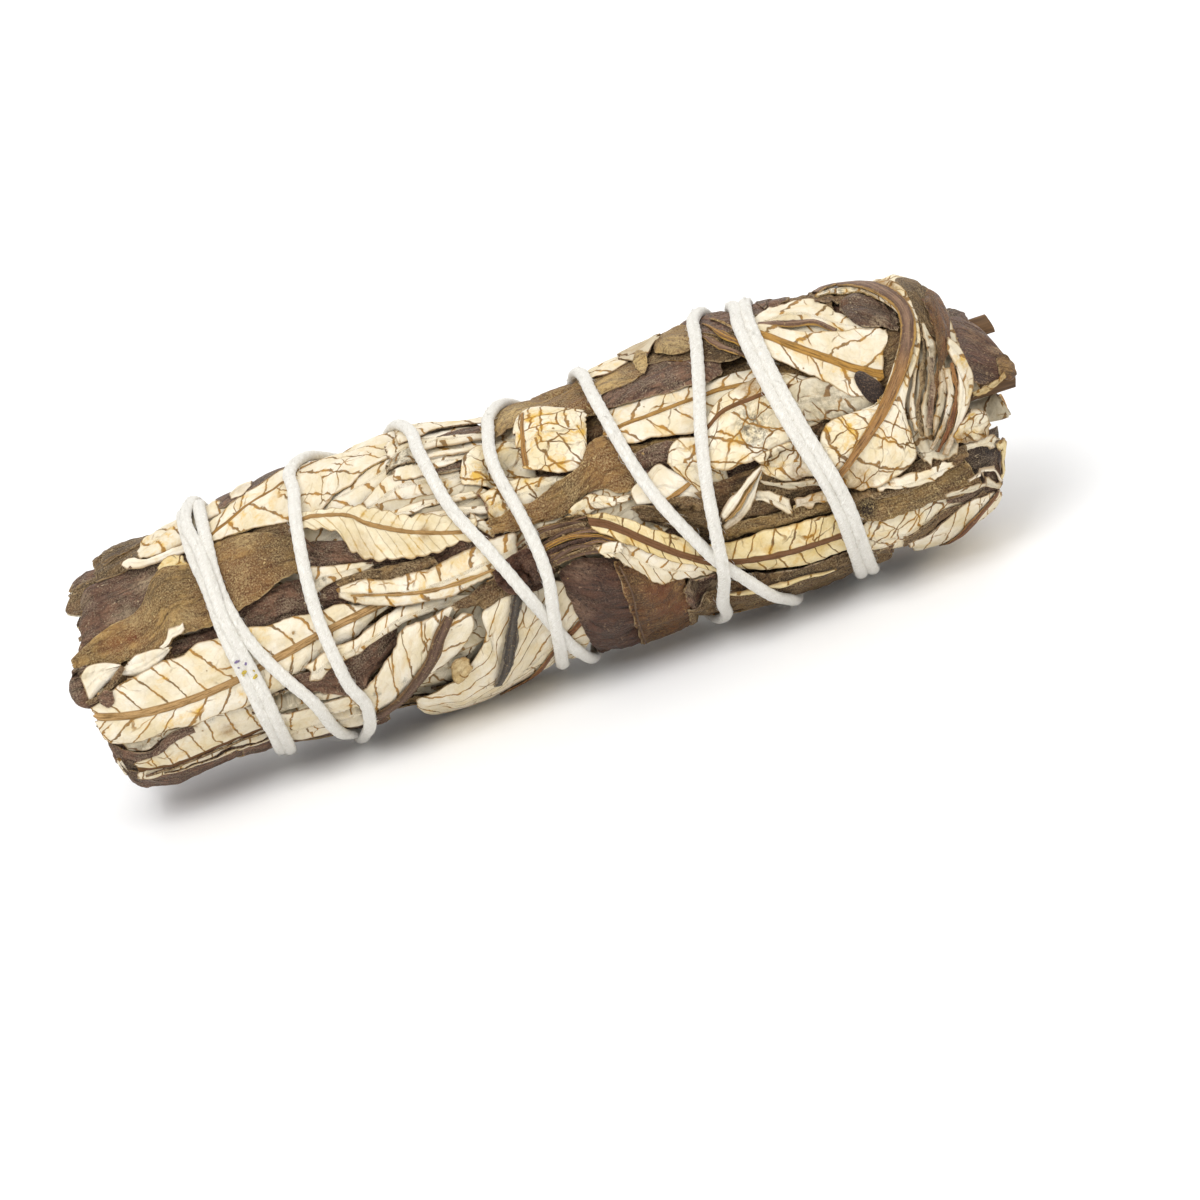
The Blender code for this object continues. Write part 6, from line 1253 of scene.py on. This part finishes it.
blade("leaf_olive_fibrous", between(((80.5, -6.9), (84, -7.3), (88, -7.5), (91, -7), (94, -6.9)), ((80.5, -9.4),
    (84, -9.8), (88, -9.9), (92, -9.9), (95, -9.4))), olive_leather, cream_felt, node="olive_leaf_06", ragged=0.25,
    curl=(0.3, 0.3), pleats=(6, 0.35), wave=0.25, step=0.32, marks=((82.6, -8.2, 1.2, SOOT, 1),
    (88, -9, 4, SOOT, 0.4), (92.5, -8, 1.4, SOOT, 0.6)))
for number, (points, width, finish) in enumerate((
    (((91.6, -6.3), (94.0, -5.7), (96.4, -5.7), (97.9, -6.3)), 0.5, cream_felt),
    (((97.6, -5.8), (98.1, -7.0), (97.5, -8.6), (96.4, -9.9)), 0.42, yellow_felt),
    (((93.4, -8.7), (94.8, -8.5), (96.2, -8.8), (97.0, -9.4)), 0.18, plain_felt),
    (((90.6, -9.4), (92.8, -9.5), (95.0, -9.6), (96.8, -9.9)), 0.4, grey_felt),
), 1):
    blade(f"fold_low_end_{number}", fold(points, width, 0.6 * width), finish, step=0.24, sunk=0.75, arch=0.4,
          half_round=True, wave=0.15, drape=0.15, pitch=6, torn=0.2, ragged=0.12)
blade("leaf_brown_low_right", between(((80.6, -5.6), (84, -6.2), (88, -6), (92, -4.9), (94.4, -5.2)), ((80.6, -7.2),
    (84, -7.6), (88, -7.8), (92, -7), (94.4, -6.4))), brown_leather, raise_by=0.05, wave=0.3, ragged=0.2,
    pleats=(3, 0.3), step=0.34)
blade("leaf_torn_cream_low_right", between(((83.6, -5.9), (87, -6.4), (90.5, -6), (92.6, -6.2)), ((84, -6.7),
    (87, -7.5), (90, -7.6), (92.8, -7))), cream_felt, brown_leather, raise_by=0.25, ragged=0.3, curl=(0.2, 0.4),
    step=0.28)
blade("leaf_pleated_end", between(((93.2, 12.9), (95.2, 12), (96.5, 9.6), (96.9, 5.4), (96.4, 1), (94.6, -3.4),
    (92.6, -6.2)), ((91.6, 11.4), (92.4, 9.2), (91.4, 5.6), (89.6, 2.2), (88.9, -0.6), (88.8, -3.4), (89.6, -6))),
    grey_felt, node="cream_leaf_23", pleats=(7, 0.8), wave=0.1, slant=0.05, pitch=5)
blade("leaf_dark_beside_loop", between(((92.6, 13.6), (94.4, 13.2), (96, 11.8), (96.9, 9.8)), ((93.2, 11.2),
    (93.8, 9.2), (94.4, 7), (95.8, 6))), brown_leather, grey_felt, sunk=0.5, wave=0.25, ragged=0.2, pleats=(3, 0.35),
    step=0.3, marks=((94.6, 11, 3, SOOT, 0.45),))
for number, (points, width, finish) in enumerate((
    (((93.0, 9.0), (92.6, 6.2), (91.2, 3.0), (90.2, 0.4), (90.0, -2.4)), 0.3, cream_felt),
    (((93.6, 9.6), (93.4, 6.2), (91.9, 2.6), (90.6, -0.4), (90.3, -3.0)), 0.26, brown_leather),
    (((94.0, 8.2), (93.9, 5.4), (92.6, 2.0), (91.2, -0.8), (90.6, -3.2)), 0.4, grey_felt),
    (((95.0, 10.6), (95.2, 7.4), (94.6, 4.4), (93.2, 1.6), (91.6, -1.4)), 0.34, rust_leather),
    (((93.6, 4.6), (93.0, 2.2), (91.9, -0.2), (91.2, -2.4)), 0.24, dark_leather),
    (((94.5, 4.0), (94.0, 1.4), (92.6, -1.2), (91.4, -3.2)), 0.42, grey_felt),
    (((94.9, 3.0), (94.4, 0.4), (92.8, -2.2), (90.6, -4.6)), 0.4, cream_felt),
    (((95.5, 3.4), (95.1, 0.6), (93.7, -2.0), (91.2, -5.0)), 0.26, rust_midrib),
    (((96.0, 3.0), (95.8, 0.4), (94.4, -2.2), (91.9, -5.4)), 0.5, plain_felt),
), 1):
    blade(f"fold_standing_{number}", fold(points, width, 0.25), finish, step=0.26, raise_by=0.05, arch=0.32,
          half_round=True, wave=0.14, drape=0.2, torn=0.2,
          ragged=0.16, margin=0.35, marks=((95.4, 1.6, 2, OCHRE, 0.6), (92, -3.6, 2, TAN, 0.7),
                                           (92.6, 3, 2.4, TAN, 0.6), (93.4, 5, 2, SOOT, 0.6)))
blade("leaf_rust_band", between(((95.6, 11.4), (96.6, 10.2), (96.9, 8), (96.3, 6), (95.4, 4.2)), ((94.8, 10), (95, 8),
    (94.8, 6), (94.2, 4), (93.9, 2.6))), rust_leather, brown_leather, raise_by=0.15, arch=0.35, wave=0.12,
    pleats=(3, 0.25), roll=0.2, torn=0.1, step=0.26)
blade("leaf_cream_bulge_end", between(((96, 5.9), (97, 4.4), (97.3, 2.2), (96.9, 0.4), (95.7, -1.2)), ((95.5, 4.8),
    (95.9, 2.7), (96, 1), (95.7, -0.2), (95.3, -1.2))), cream_felt, brown_leather, raise_by=0.1, arch=0.4, roll=0.4,
    wave=0.2, torn=0.05, ragged=0.1, step=0.26, pitch=5, margin=0.35, marks=((96.4, 3.2, 0.9, OCHRE, 1),
    (96.2, 0, 1, OCHRE, 0.5)))
blade("leaf_looping_rib", between(((79.8, -3), (79.6, -0.6), (81, 1.3), (84, 1.7), (86.4, 1.7), (87.9, 2.6),
    (89.6, 5), (91.2, 7.6), (91.9, 9.6), (91.6, 11), (90.1, 12.9), (88.4, 13.9), (86, 14.3), (84.4, 14.2)),
    ((80.4, -5.4), (83, -6.4), (86.5, -6.2), (88.9, -5), (89.2, -2.4), (89.4, 0.4), (91, 3.2), (92.9, 6.4),
    (93.8, 9.6), (93, 12.6), (90.4, 15), (87, 15.9), (84.4, 15.6)), ((80, -4.2), (82, -3.2), (84, -1.7), (86.6, 0.4),
    (88.8, 2.6), (90.6, 4.8), (91.9, 7), (92.6, 9.2), (92.3, 11.2), (91, 13), (89.2, 14.3), (87, 14.9),
    (84.4, 14.6))), netted_felt, olive_leather, node="cream_leaf_24", pitch=2.6, slant=0.4, step=0.34, margin=0.3,
    marks=((83, 0.6, 2.4, OCHRE, 1), (82, -5.2, 2, TAN, 0.7), (88, -3.8, 1.5, OCHRE, 0.6),
    (91.5, 13.6, 2.6, TAN, 0.9), (86, 14.4, 2.6, SOOT, 0.9)))
blade("rib_looping", along_rib((84.6, 14.6, 0.5), (87, 14.9, 0.7), (89.2, 14.3, 0.8), (91, 13, 0.84),
    (92.3, 11.2, 0.84), (92.6, 9.2, 0.82), (91.9, 7, 0.78), (90.6, 4.8, 0.7), (88.8, 2.6, 0.62), (86.6, 0.4, 0.52),
    (84, -1.7, 0.45), (80.8, -4.2, 0.36)), brown_midrib, step=0.24, thick=0.4, arch=0.5, half_round=True, wave=0.05,
    drape=0.1, ragged=0.04, torn=0.1, marks=((82.5, -2.8, 3.4, OCHRE, 0.9), (86.5, 0.4, 3.4, OCHRE, 0.9),
    (89.4, 3.4, 2.4, OCHRE, 0.7)))
blade("leaf_brown_low_fold", between(((85, -12.6), (88, -12), (91, -11.2), (95.2, -10.2)), ((85, -13.4), (88, -13.1),
    (91, -12.2), (95.2, -10.8))), brown_leather, sunk=1.7, wave=0.2, pleats=(2, 0.3), step=0.3)
blade("leaf_cream_resting_right", between(((85.6, -13), (88, -12.9), (90, -12.2), (93, -11), (96.4, -10.2)),
    ((86.4, -18), (89, -22), (92, -22), (94.6, -18), (96.8, -12.4))), node="cream_leaf_25", pitch=2.4, slant=0.1,
    torn=0.1)
blade("rib_red_brown_right", along_rib((89, -14.3, 0.3), (91, -13.9, 0.5), (93, -12.9, 0.52), (95, -11.5, 0.45),
    (96.2, -10.4, 0.25)), rust_midrib, step=0.2, thick=0.3, arch=0.35, half_round=True, wave=0.03, drape=0.1,
    ragged=0.03, torn=0.1)
blade("leaf_olive_resting", along_rib((67.3, -14, 1.2, 8), (68.3, -14.1, 1.6, 11), (69.5, -14.3, 1.6, 11),
    (70.5, -14.4, 1.2, 7)), olive_leather, cream_felt, node="olive_leaf_07", sunk=1.3, torn=0.4)
blade("leaf_brown_low_edge", between(((61.6, -12.4), (66, -12.2), (71, -12.3), (76, -12.7), (84, -13)), ((61.6, -14),
    (66, -17), (71, -18), (76, -18), (84, -16))), brown_leather, sunk=0.9, wave=0.25, ragged=0.2, pleats=(4, 0.35),
    step=0.36, marks=((74, -13.4, 5, SOOT, 0.35),))
blade("fold_yellow_low_edge", along_rib((65.6, -12.6, 0.2), (69, -12.9, 0.35), (73, -13.3, 0.35), (78, -13.6, 0.2)),
    yellow_felt, brown_leather, raise_by=0.1, arch=0.4, half_round=True, wave=0.1, drape=0.15, step=0.28)
blade("leaf_cream_end_bit", between(((93.2, -3.6), (94.6, -2.5), (96.2, -2), (97.4, -2.8)), ((93.4, -4.6), (95, -4.9),
    (96.4, -5), (97.6, -4.4))), netted_felt, sunk=0.6, step=0.28, torn=0.1, ragged=0.12, roll=0.4, arch=0.3, wave=0.3,
    margin=0.4, marks=((95, -3.2, 1.2, OCHRE, 1), (96.8, -4.6, 0.8, TAN, 0.7), (93.8, -4.2, 0.8, TAN, 0.9)))
# a dry leaf rolled round the lower twig's end, its spiral showing at the tip
spiral = np.linspace(0, 1, 34)[None]
out_along = np.linspace(0, 1, 14)[:, None]
low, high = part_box("stem_2")
roll_radius = (high.z - low.z) / 2 / MM + 0.12 + 0.3 * spiral + 0 * out_along
roll_turn = 1.9 + 1.55 * FULL_TURN * spiral
roll_points = np.stack([
    95.2 - MIDDLE + (4.7 - 0.35 * np.sin(roll_turn) - 0.5 * spiral) * out_along,
    (low.y + high.y) / 2 / MM + (1.05 + 0.06 * np.sin(9 * out_along)) * roll_radius * np.cos(roll_turn),
    (low.z + high.z) / 2 / MM + (0.86 + 0.05 * np.cos(7 * out_along)) * roll_radius * np.sin(roll_turn) + 0 * out_along,
], axis=-1) * MM
roll_uv = np.stack([5 * out_along + 0 * spiral, 12 * spiral + 0 * out_along], axis=-1)
piece = sheet_piece("rolled_tip_leaf", roll_points, np.full(roll_radius.shape, 0.2), roll_uv,
                    np.stack([1.3 * out_along + 4 * spiral, np.full(roll_radius.shape, 9.0)], axis=-1),
                    no_marks(roll_radius.shape), (grey_felt, brown_leather))


# --- Cover leaves, hidden side ------------------------------------------------------------------
# The same leaves on the back and underneath, laid more loosely and a little turned.

blade("leaf_underside_dark", round_the_back(1, 48, 258, 6.5, 12), dark_leather, cream_felt, node="dark_back_leaf_2")
blade("leaf_underside_olive", round_the_back(43, 95.5, 258, 6.5, -14), olive_leather, cream_felt,
    node="olive_back_leaf_2")
blade("leaf_back_cream_left", round_the_back(2, 44, 150, 6.2, 14), cream_felt, olive_leather,
    node="cream_back_leaf_1", rib=(0.5, 0.3))
blade("leaf_back_olive_right", round_the_back(40, 94, 158, 6.7, -12), olive_leather, cream_felt,
    node="olive_back_leaf_1")
blade("leaf_back_dark", round_the_back(5, 50, 205, 6.7, -10), dark_leather, cream_felt, node="dark_back_leaf_1")
blade("leaf_back_cream_right", round_the_back(46, 96, 192, 6.7, 16), netted_felt, olive_leather,
    node="cream_back_leaf_2", rib=(0.6, 0.4))
blade("leaf_back_cream_middle", round_the_back(18, 62, 178, 5.7, 12), yellow_felt, olive_leather,
    node="cream_back_leaf_3", rib=(0.5, 0.35))

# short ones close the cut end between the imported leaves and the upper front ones
closing = ((0.8, 12.5, 64, 2.0), (1.1, 11.8, 88, 2.5), (1.4, 12.2, 40, 2.4), (1.3, 11.6, 24, 1.9))
for number, (start, end, degrees, deep) in enumerate(closing, 1):
    piece = rolled_leaf(f"closing_leaf_{number}", None, start, end, degrees, 30,
                        lambda s, a: reach_of(s, a) - deep, 0.3, (brown_leather, grey_felt), 80 + number, 18)


# --- Cotton string ------------------------------------------------------------------------------
# One length of soft three-ply cotton string about 1.3 mm thick. It is wound down the bundle and
# back in ten turns, pulled tight, and its tail is tucked under the last turn.

STRING_DIAMETER = 1.32
STRING_PASSES = (
    ((15.0, 12.6), (14.9, 9), (15.4, 5), (15.5, 1.4), (15.8, -2), (16.4, -6), (16.9, -10), (17.2, -12.8)),
    ((16.9, 13.0), (16.7, 9.5), (16.5, 5), (17.0, 1.5), (18.4, -3), (20.6, -7), (22.5, -10), (24.9, -14)),
    ((38.9, 15.4), (40.3, 12), (40.9, 9), (41.8, 5), (44.1, 0), (46.7, -6), (48.3, -10), (49.8, -13), (51.4, -17)),
    ((58.4, 14.6), (59.2, 12), (60.4, 6), (62.1, 0), (64.3, -5), (66.4, -8.8), (68.6, -11.4), (71, -14), (73.2, -18)),
    ((76.0, 16.2), (75.8, 14), (76.2, 10), (77.0, 5), (78.1, 0), (79.2, -4), (79.8, -8), (80.1, -13.5),
     (80.2, -18), (79.6, -22)),
    ((77.4, 16), (77.0, 14), (77.3, 10), (78.1, 5), (79.2, 0), (80.3, -4), (80.9, -8), (81.2, -13.5), (81.6, -18),
     (81.3, -22)),
    ((72.2, 16.3), (71.4, 14), (69.8, 8.5), (68.8, 5), (67.6, -0.5), (66.9, -6), (66.4, -10), (65.4, -13),
     (64.2, -17)),
    ((49.3, 13.4), (48.2, 12), (47.3, 8.5), (48.3, 3), (49, -1.5), (49.1, -5), (48.4, -8.5), (47.8, -13),
     (47.8, -17), (47.4, -21), (46.6, -25)),
    ((28.5, 14.8), (27.0, 12), (25.8, 6), (25.3, 0), (25.5, -4), (26.1, -9), (26.6, -13.6)),
    ((16.0, 13), (15.8, 9), (16.0, 5), (16.0, 1.4), (16.7, -2), (17.4, -6), (17.9, -10), (18.1, -13)),
)
LAP_SAMPLES = 92
half = STRING_DIAMETER / 2
route = []
for lap, stations in enumerate(STRING_PASSES):
    for along, height in stations:
        route.append((along, (float(turn_of(along, height)) - FULL_TURN * lap) * UNROLLED_RADIUS))
route.append((route[-1][0] - 0.4, route[-1][1] - 0.9 * UNROLLED_RADIUS))
dense, _ = smooth_line(route, 1 + len(STRING_PASSES) * LAP_SAMPLES)
along, turn = dense[:, 0], dense[:, 1] / UNROLLED_RADIUS


def bearing(along, turn, sink):
    """Radius of the string's centre where it lies on the leaves, sunk a little into them."""
    most = np.zeros(len(along))
    for off_along in (-0.6, -0.3, 0, 0.3, 0.6):
        for off_turn in (-0.04, -0.02, 0, 0.02, 0.04):
            most = np.maximum(most, support(along + off_along, turn + off_turn))
    return pressed(along, turn, most) + half - sink


def pull_taut(along, turn, floor, rounds):
    radius = floor.copy()
    for _ in range(rounds):
        points = place(along, turn, radius) / MM
        chord = (points[:-2] + points[2:]) / 2
        radius[1:-1] = np.maximum(floor[1:-1], np.hypot(chord[:, 1] - AXIS_Y, chord[:, 2] - AXIS_HEIGHT))
    return radius


bare = bearing(along, turn, 0.4)
bare = np.minimum(bare, (AXIS_HEIGHT - half - 0.1) / np.maximum(-np.sin(turn), 1e-3))
places = np.stack([along, (turn % FULL_TURN) * UNROLLED_RADIUS], axis=1)
apart = np.abs(places[:, None] - places[None])
apart[..., 1] = np.minimum(apart[..., 1], FULL_TURN * UNROLLED_RADIUS - apart[..., 1])
distance = np.hypot(apart[..., 0], apart[..., 1])
order = np.arange(len(along))
SQUEEZED = 0.72 * STRING_DIAMETER  # soft strands that cross or lie side by side press into each other
near = (order[None] < order[:, None] - LAP_SAMPLES // 3) & (distance < SQUEEZED)
radius = pull_taut(along, turn, bare, 40)
for _ in range(3):
    rise = np.sqrt(np.maximum(SQUEEZED**2 - distance**2, 0))
    over = np.where(near, radius[None] + rise, 0).max(axis=1)
    radius = pull_taut(along, turn, np.maximum(bare, over), 12)
centre = place(along, turn, radius)
centre_mm = centre / MM
for _ in range(2):
    centre_mm[1:-1] = (centre_mm[:-2] + 2 * centre_mm[1:-1] + centre_mm[2:]) / 4
travelled = np.concatenate([[0], np.cumsum(np.linalg.norm(np.diff(centre_mm, axis=0), axis=1))])
wanted = np.linspace(0, travelled[-1], int(travelled[-1] / 0.32))
middle = np.stack([np.interp(wanted, travelled, column) for column in centre_mm.T], axis=1)
for _ in range(3):
    middle[1:-1] = (middle[:-2] + 2 * middle[1:-1] + middle[2:]) / 4

# the string presses a groove into every leaf that it crosses
tree_of_string = KDTree(len(middle))
for number, point in enumerate(middle):
    tree_of_string.insert(Vector(point), number)
tree_of_string.balance()
string_out = np.hypot(middle[:, 1] - AXIS_Y, middle[:, 2] - AXIS_HEIGHT)
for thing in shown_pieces():
    if not thing.name.startswith(("leaf_", "rib_", "strand_", "fold_")):
        continue
    corners = np.empty(len(thing.data.vertices) * 3)
    thing.data.vertices.foreach_get("co", corners)
    corners = corners.reshape(-1, 3) / MM
    out = np.hypot(corners[:, 1] - AXIS_Y, corners[:, 2] - AXIS_HEIGHT)
    for number in range(len(corners)):
        _, nearest, away = tree_of_string.find(Vector(corners[number]))
        if away < 2.4:
            flat_away = math.sqrt(max(away**2 - (out[number] - string_out[nearest]) ** 2, 0))
            limit = string_out[nearest] - half * 0.75 + 0.22 * flat_away**2
            if out[number] > limit:
                scale = limit / out[number]
                corners[number, 1] = AXIS_Y + (corners[number, 1] - AXIS_Y) * scale
                corners[number, 2] = AXIS_HEIGHT + (corners[number, 2] - AXIS_HEIGHT) * scale
    thing.data.vertices.foreach_set("co", (corners * MM).ravel())
    thing.data.update()

# Cotton: off-white, matt, three plies twisted once in 3.2 mm, with fine fibres along each ply, and painted shade
# between the raised fibres.
cotton, tree, shader = new_material("twisted_cotton")
lie = add_node(tree, "Mapping", {"Vector": add_node(tree, "UVMap", uv_map="lie"), "Scale": (9, 1.2, 1)})
fibres = add_node(tree, "TexNoise", {"Vector": lie, "Scale": 1, "Detail": 3})
# the ramp's darker stop is painted shade between the fibres and its lighter stop a painted highlight on them, since the
# same noise raises the bump
cotton_fibre_shade_ramp = add_node(tree, "ValToRGB", {"Fac": fibres})
for element, (position, code) in zip(cotton_fibre_shade_ramp.color_ramp.elements, ((0.3, "#CEC8BB"), (0.6, "#E9E6DE"))):
    element.position, element.color = position, colour(code)
set_sockets(shader, {
    "Base Color": cotton_fibre_shade_ramp, "Roughness": 0.95, "Sheen Weight": 0.3, "Specular IOR Level": 0.2,
    "Normal": add_node(tree, "Bump", {"Height": fibres, "Distance": 0.00012, "Strength": 0.7})})

RING = 18
ahead = np.gradient(middle, axis=0)
ahead /= np.linalg.norm(ahead, axis=1)[:, None]
outwards = np.stack([np.zeros(len(middle)), middle[:, 1] - AXIS_Y, middle[:, 2] - AXIS_HEIGHT], axis=1)
outwards -= (outwards * ahead).sum(axis=1)[:, None] * ahead
outwards /= np.linalg.norm(outwards, axis=1)[:, None]
sideways = np.cross(ahead, outwards)
travel = wanted[:, None]
angle = np.linspace(0, FULL_TURN, RING, endpoint=False)[None]
lobe = np.abs(np.cos(1.5 * (angle - FULL_TURN * travel / 3.2)))
fluff = 0.02 * ripple(travel + 0 * angle, 0 * travel + 0 * angle, 2.3, 5)
size = half * (0.91 + 0.09 * lobe + fluff)
# pulled tight, it is a little flatter than round
tube = middle[:, None] + size[..., None] * (
    np.cos(angle)[..., None] * outwards[:, None] * 0.86 + np.sin(angle)[..., None] * sideways[:, None] * 1.06)
tube[..., 2] = np.maximum(tube[..., 2], 0.05)
# loose fibres stand off the strands, most about a millimetre long and bent once
FIBRES = 3200
draw = np.random.default_rng(21)
where = draw.integers(2, len(middle) - 2, FIBRES)
round_at = draw.uniform(0, FULL_TURN, FIBRES)
off = np.cos(round_at)[:, None] * outwards[where] + np.sin(round_at)[:, None] * sideways[where]
lean = ahead[where] * draw.choice((-1, 1), FIBRES)[:, None]
lean = lean + 0.7 * np.cross(ahead[where], off) * draw.uniform(-1, 1, (FIBRES, 1))
length = draw.uniform(0.25, 0.75, (FIBRES, 1))
root_at = middle[where] + off * half * 0.84
bend_at = root_at + length * (0.75 * lean + 0.42 * off * draw.uniform(0.5, 1.3, (FIBRES, 1)))
tip_at = bend_at + length * (0.8 * lean + 0.28 * off * draw.uniform(-1.2, 1.0, (FIBRES, 1))
                             + 0.3 * draw.uniform(-1, 1, (FIBRES, 3)))
thirds = FULL_TURN / 3 * np.arange(3)[None, :, None]
spread = np.cos(thirds) * off[:, None] + np.sin(thirds) * np.cross(lean, off)[:, None]
fibre_points = np.concatenate([root_at[:, None] + 0.024 * spread, bend_at[:, None] + 0.018 * spread,
                               tip_at[:, None]], axis=1)
fibre_points[..., 2] = np.maximum(fibre_points[..., 2], 0.05)
rings = len(middle)
corner = np.arange(rings * RING).reshape(rings, RING)
turned = np.roll(corner, -1, axis=1)
faces = np.stack([corner[:-1], turned[:-1], turned[1:], corner[1:]], axis=-1).reshape(-1, 4).tolist()
faces.append(corner[0, ::-1].tolist())
faces.append(corner[-1].tolist())
first = rings * RING + 7 * np.arange(FIBRES)[:, None]
for side in range(3):
    nxt = (side + 1) % 3
    faces += (first + (side, nxt, 3 + nxt, 3 + side)).tolist()
    faces += (first + (3 + side, 3 + nxt, 6)).tolist()
faces += (first + (2, 1, 0)).tolist()
mesh = bpy.data.meshes.new("cotton_string")
mesh.from_pydata((np.concatenate([tube.reshape(-1, 3), fibre_points.reshape(-1, 3)]) * MM).tolist(), [], faces)
lie_map = mesh.uv_layers.new(name="lie")
values = np.stack([np.broadcast_to(lobe, size.shape), np.broadcast_to(travel, size.shape) + 0.8 * angle],
                  axis=-1).reshape(-1, 2)
values = np.concatenate([values, np.repeat(np.stack([np.full(FIBRES, 1.0), wanted[where]], axis=-1), 7, axis=0)])
loops = np.empty(len(mesh.loops), int)
mesh.loops.foreach_get("vertex_index", loops)
lie_map.uv.foreach_set("vector", values[loops].astype(np.float32).ravel())
mesh.materials.append(cotton)
mesh.shade_smooth()
mesh.validate()
string = bpy.data.objects.new("cotton_string", mesh)
bpy.context.scene.collection.objects.link(string)
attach(string, "root")
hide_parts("string")


# --- Crumbs on the string -----------------------------------------------------------------------
# Crumbs of dried purple and yellow petal, under a millimetre, caught in the cotton near the cut end, and a few
# tan-brown flakes of leaf lying on the leaves, clear of the string.

petal_kinds = []
for petal_name, petal_code in (("dried_petal_violet", "#6E5FA8"), ("dried_petal_yellow", "#E0C21E"),
                               ("leaf_crumb_tan", "#B08A50")):
    petal, tree, shader = new_material(petal_name)
    dry = add_node(tree, "TexNoise", {"Vector": add_node(tree, "TexCoord").outputs["Object"], "Scale": 3000,
                                      "Detail": 2})
    dry_mix = add_node(tree, "Mix", {0: dry, 6: petal_code, 7: "#7A6A50"}, data_type="RGBA")
    set_sockets(shader, {"Base Color": dry_mix, "Roughness": 0.7})
    petal_kinds.append(petal)
draw = np.random.default_rng(33)
crumbs = [(15.9, -3.1, 0.3, 0), (16.4, -3.0, 0.22, 0), (16.6, -3.5, 0.26, 0), (15.9, -3.7, 0.18, 0),
          (16.6, -4.1, 0.4, 1),
          (17.4, -4.9, 0.42, 1), (17.6, -4.4, 0.2, 1), (16.2, -4.5, 0.16, 1)]
for _ in range(34):
    crumbs.append((draw.uniform(2, 97), draw.uniform(-11, 12), draw.uniform(0.12, 0.28), 2))
for number, (s, h, across, kind) in enumerate(crumbs, 1):
    turn_here = turn_of(s, h)
    here = (np.array([s]), np.array([turn_here]))
    spot = place(*here, pressed(*here, support(*here)))[0] / MM
    _, nearest, away = tree_of_string.find(Vector(spot))
    outward = np.array([0.0, -math.cos(turn_here), math.sin(turn_here)])
    if away < 1.3 and kind == 2:
        continue
    if away < 1.3:
        spot = middle[nearest] + outward * half * 0.92 + np.array([s - MIDDLE - middle[nearest][0], 0, 0]) * 0.5
    bpy.ops.mesh.primitive_ico_sphere_add(subdivisions=2, radius=1.0)
    crumb = bpy.context.object
    crumb.name = f"crumb_{number:02d}"
    for vertex in crumb.data.vertices:
        vertex.co = Vector(vertex.co) * draw.uniform(0.7, 1.15)
        vertex.co = Vector((vertex.co.x * across * 0.8, vertex.co.y * across * 0.5, vertex.co.z * across * 0.22)) * MM
    spin = Matrix.Rotation(draw.uniform(0, 3), 4, "Z")
    crumb.data.transform(Vector(outward).to_track_quat("Z", "X").to_matrix().to_4x4() @ spin)
    crumb.data.transform(Matrix.Translation(Vector(spot + outward * across * 0.1) * MM))
    crumb.data.materials.append(petal_kinds[kind])
    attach(crumb, "root")


# --- Table, light and camera --------------------------------------------------------------------
# A plain pale surface, a big soft light above and in front, and a long lens.

bpy.ops.object.select_all(action="DESELECT")
bpy.ops.mesh.primitive_plane_add(size=6, location=(0, 0, 0))
floor = bpy.context.object
floor.name = "pale_table"
table_paint, tree, shader = new_material("pale_matt_table")
speckle = add_node(tree, "TexNoise",
                   {"Vector": add_node(tree, "TexCoord").outputs["Object"], "Scale": 40, "Detail": 2})
table_colour = add_node(tree, "Mix", {0: speckle, 6: "#F4F4F4", 7: "#F8F8F8"}, data_type="RGBA")
set_sockets(shader, {"Base Color": table_colour, "Roughness": 0.95})
floor.data.materials.append(table_paint)
floor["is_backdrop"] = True

world = bpy.data.worlds.new("soft_room")
bpy.context.scene.world = world
world.use_nodes = True
world.node_tree.nodes["Background"].inputs["Color"].default_value = (1, 1, 1, 1)
world.node_tree.nodes["Background"].inputs["Strength"].default_value = 0.7
bpy.context.scene.view_settings.view_transform = "Standard"


def soft_light(name, place_at, aim, size, power):
    lamp = bpy.data.lights.new(name, "AREA")
    lamp.shape = "SQUARE"
    lamp.size = size
    lamp.energy = power
    thing = bpy.data.objects.new(name, lamp)
    thing.location = place_at
    thing.rotation_euler = (Vector(aim) - Vector(place_at)).to_track_quat("-Z", "Y").to_euler()
    bpy.context.scene.collection.objects.link(thing)


soft_light("key", (-0.25, -0.45, 0.75), (0, 0, 0), 0.6, 5.2)
soft_light("fill", (0.7, -0.5, 0.4), (0, 0, 0), 0.5, 1.5)
soft_light("back", (0.1, 0.7, 0.5), (0, 0, 0), 0.6, 2.4)

TILT = math.radians(22)
ROLL = math.radians(18)
target = Vector((0.0032, -0.0039, 0.0071))
camera_data = bpy.data.cameras.new("camera")
camera_data.lens = 360
camera_data.sensor_width = 36
camera_data.clip_start = 0.01
camera = bpy.data.objects.new("camera", camera_data)
away = Vector((0, -math.cos(TILT), math.sin(TILT)))
camera.location = target + away * 1.248
look = (-away).to_track_quat("-Z", "Y").to_matrix().to_4x4()
camera.matrix_world = Matrix.Translation(camera.location) @ look @ Matrix.Rotation(-ROLL, 4, "Z")
bpy.context.scene.collection.objects.link(camera)
bpy.context.scene.camera = camera

low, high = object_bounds()
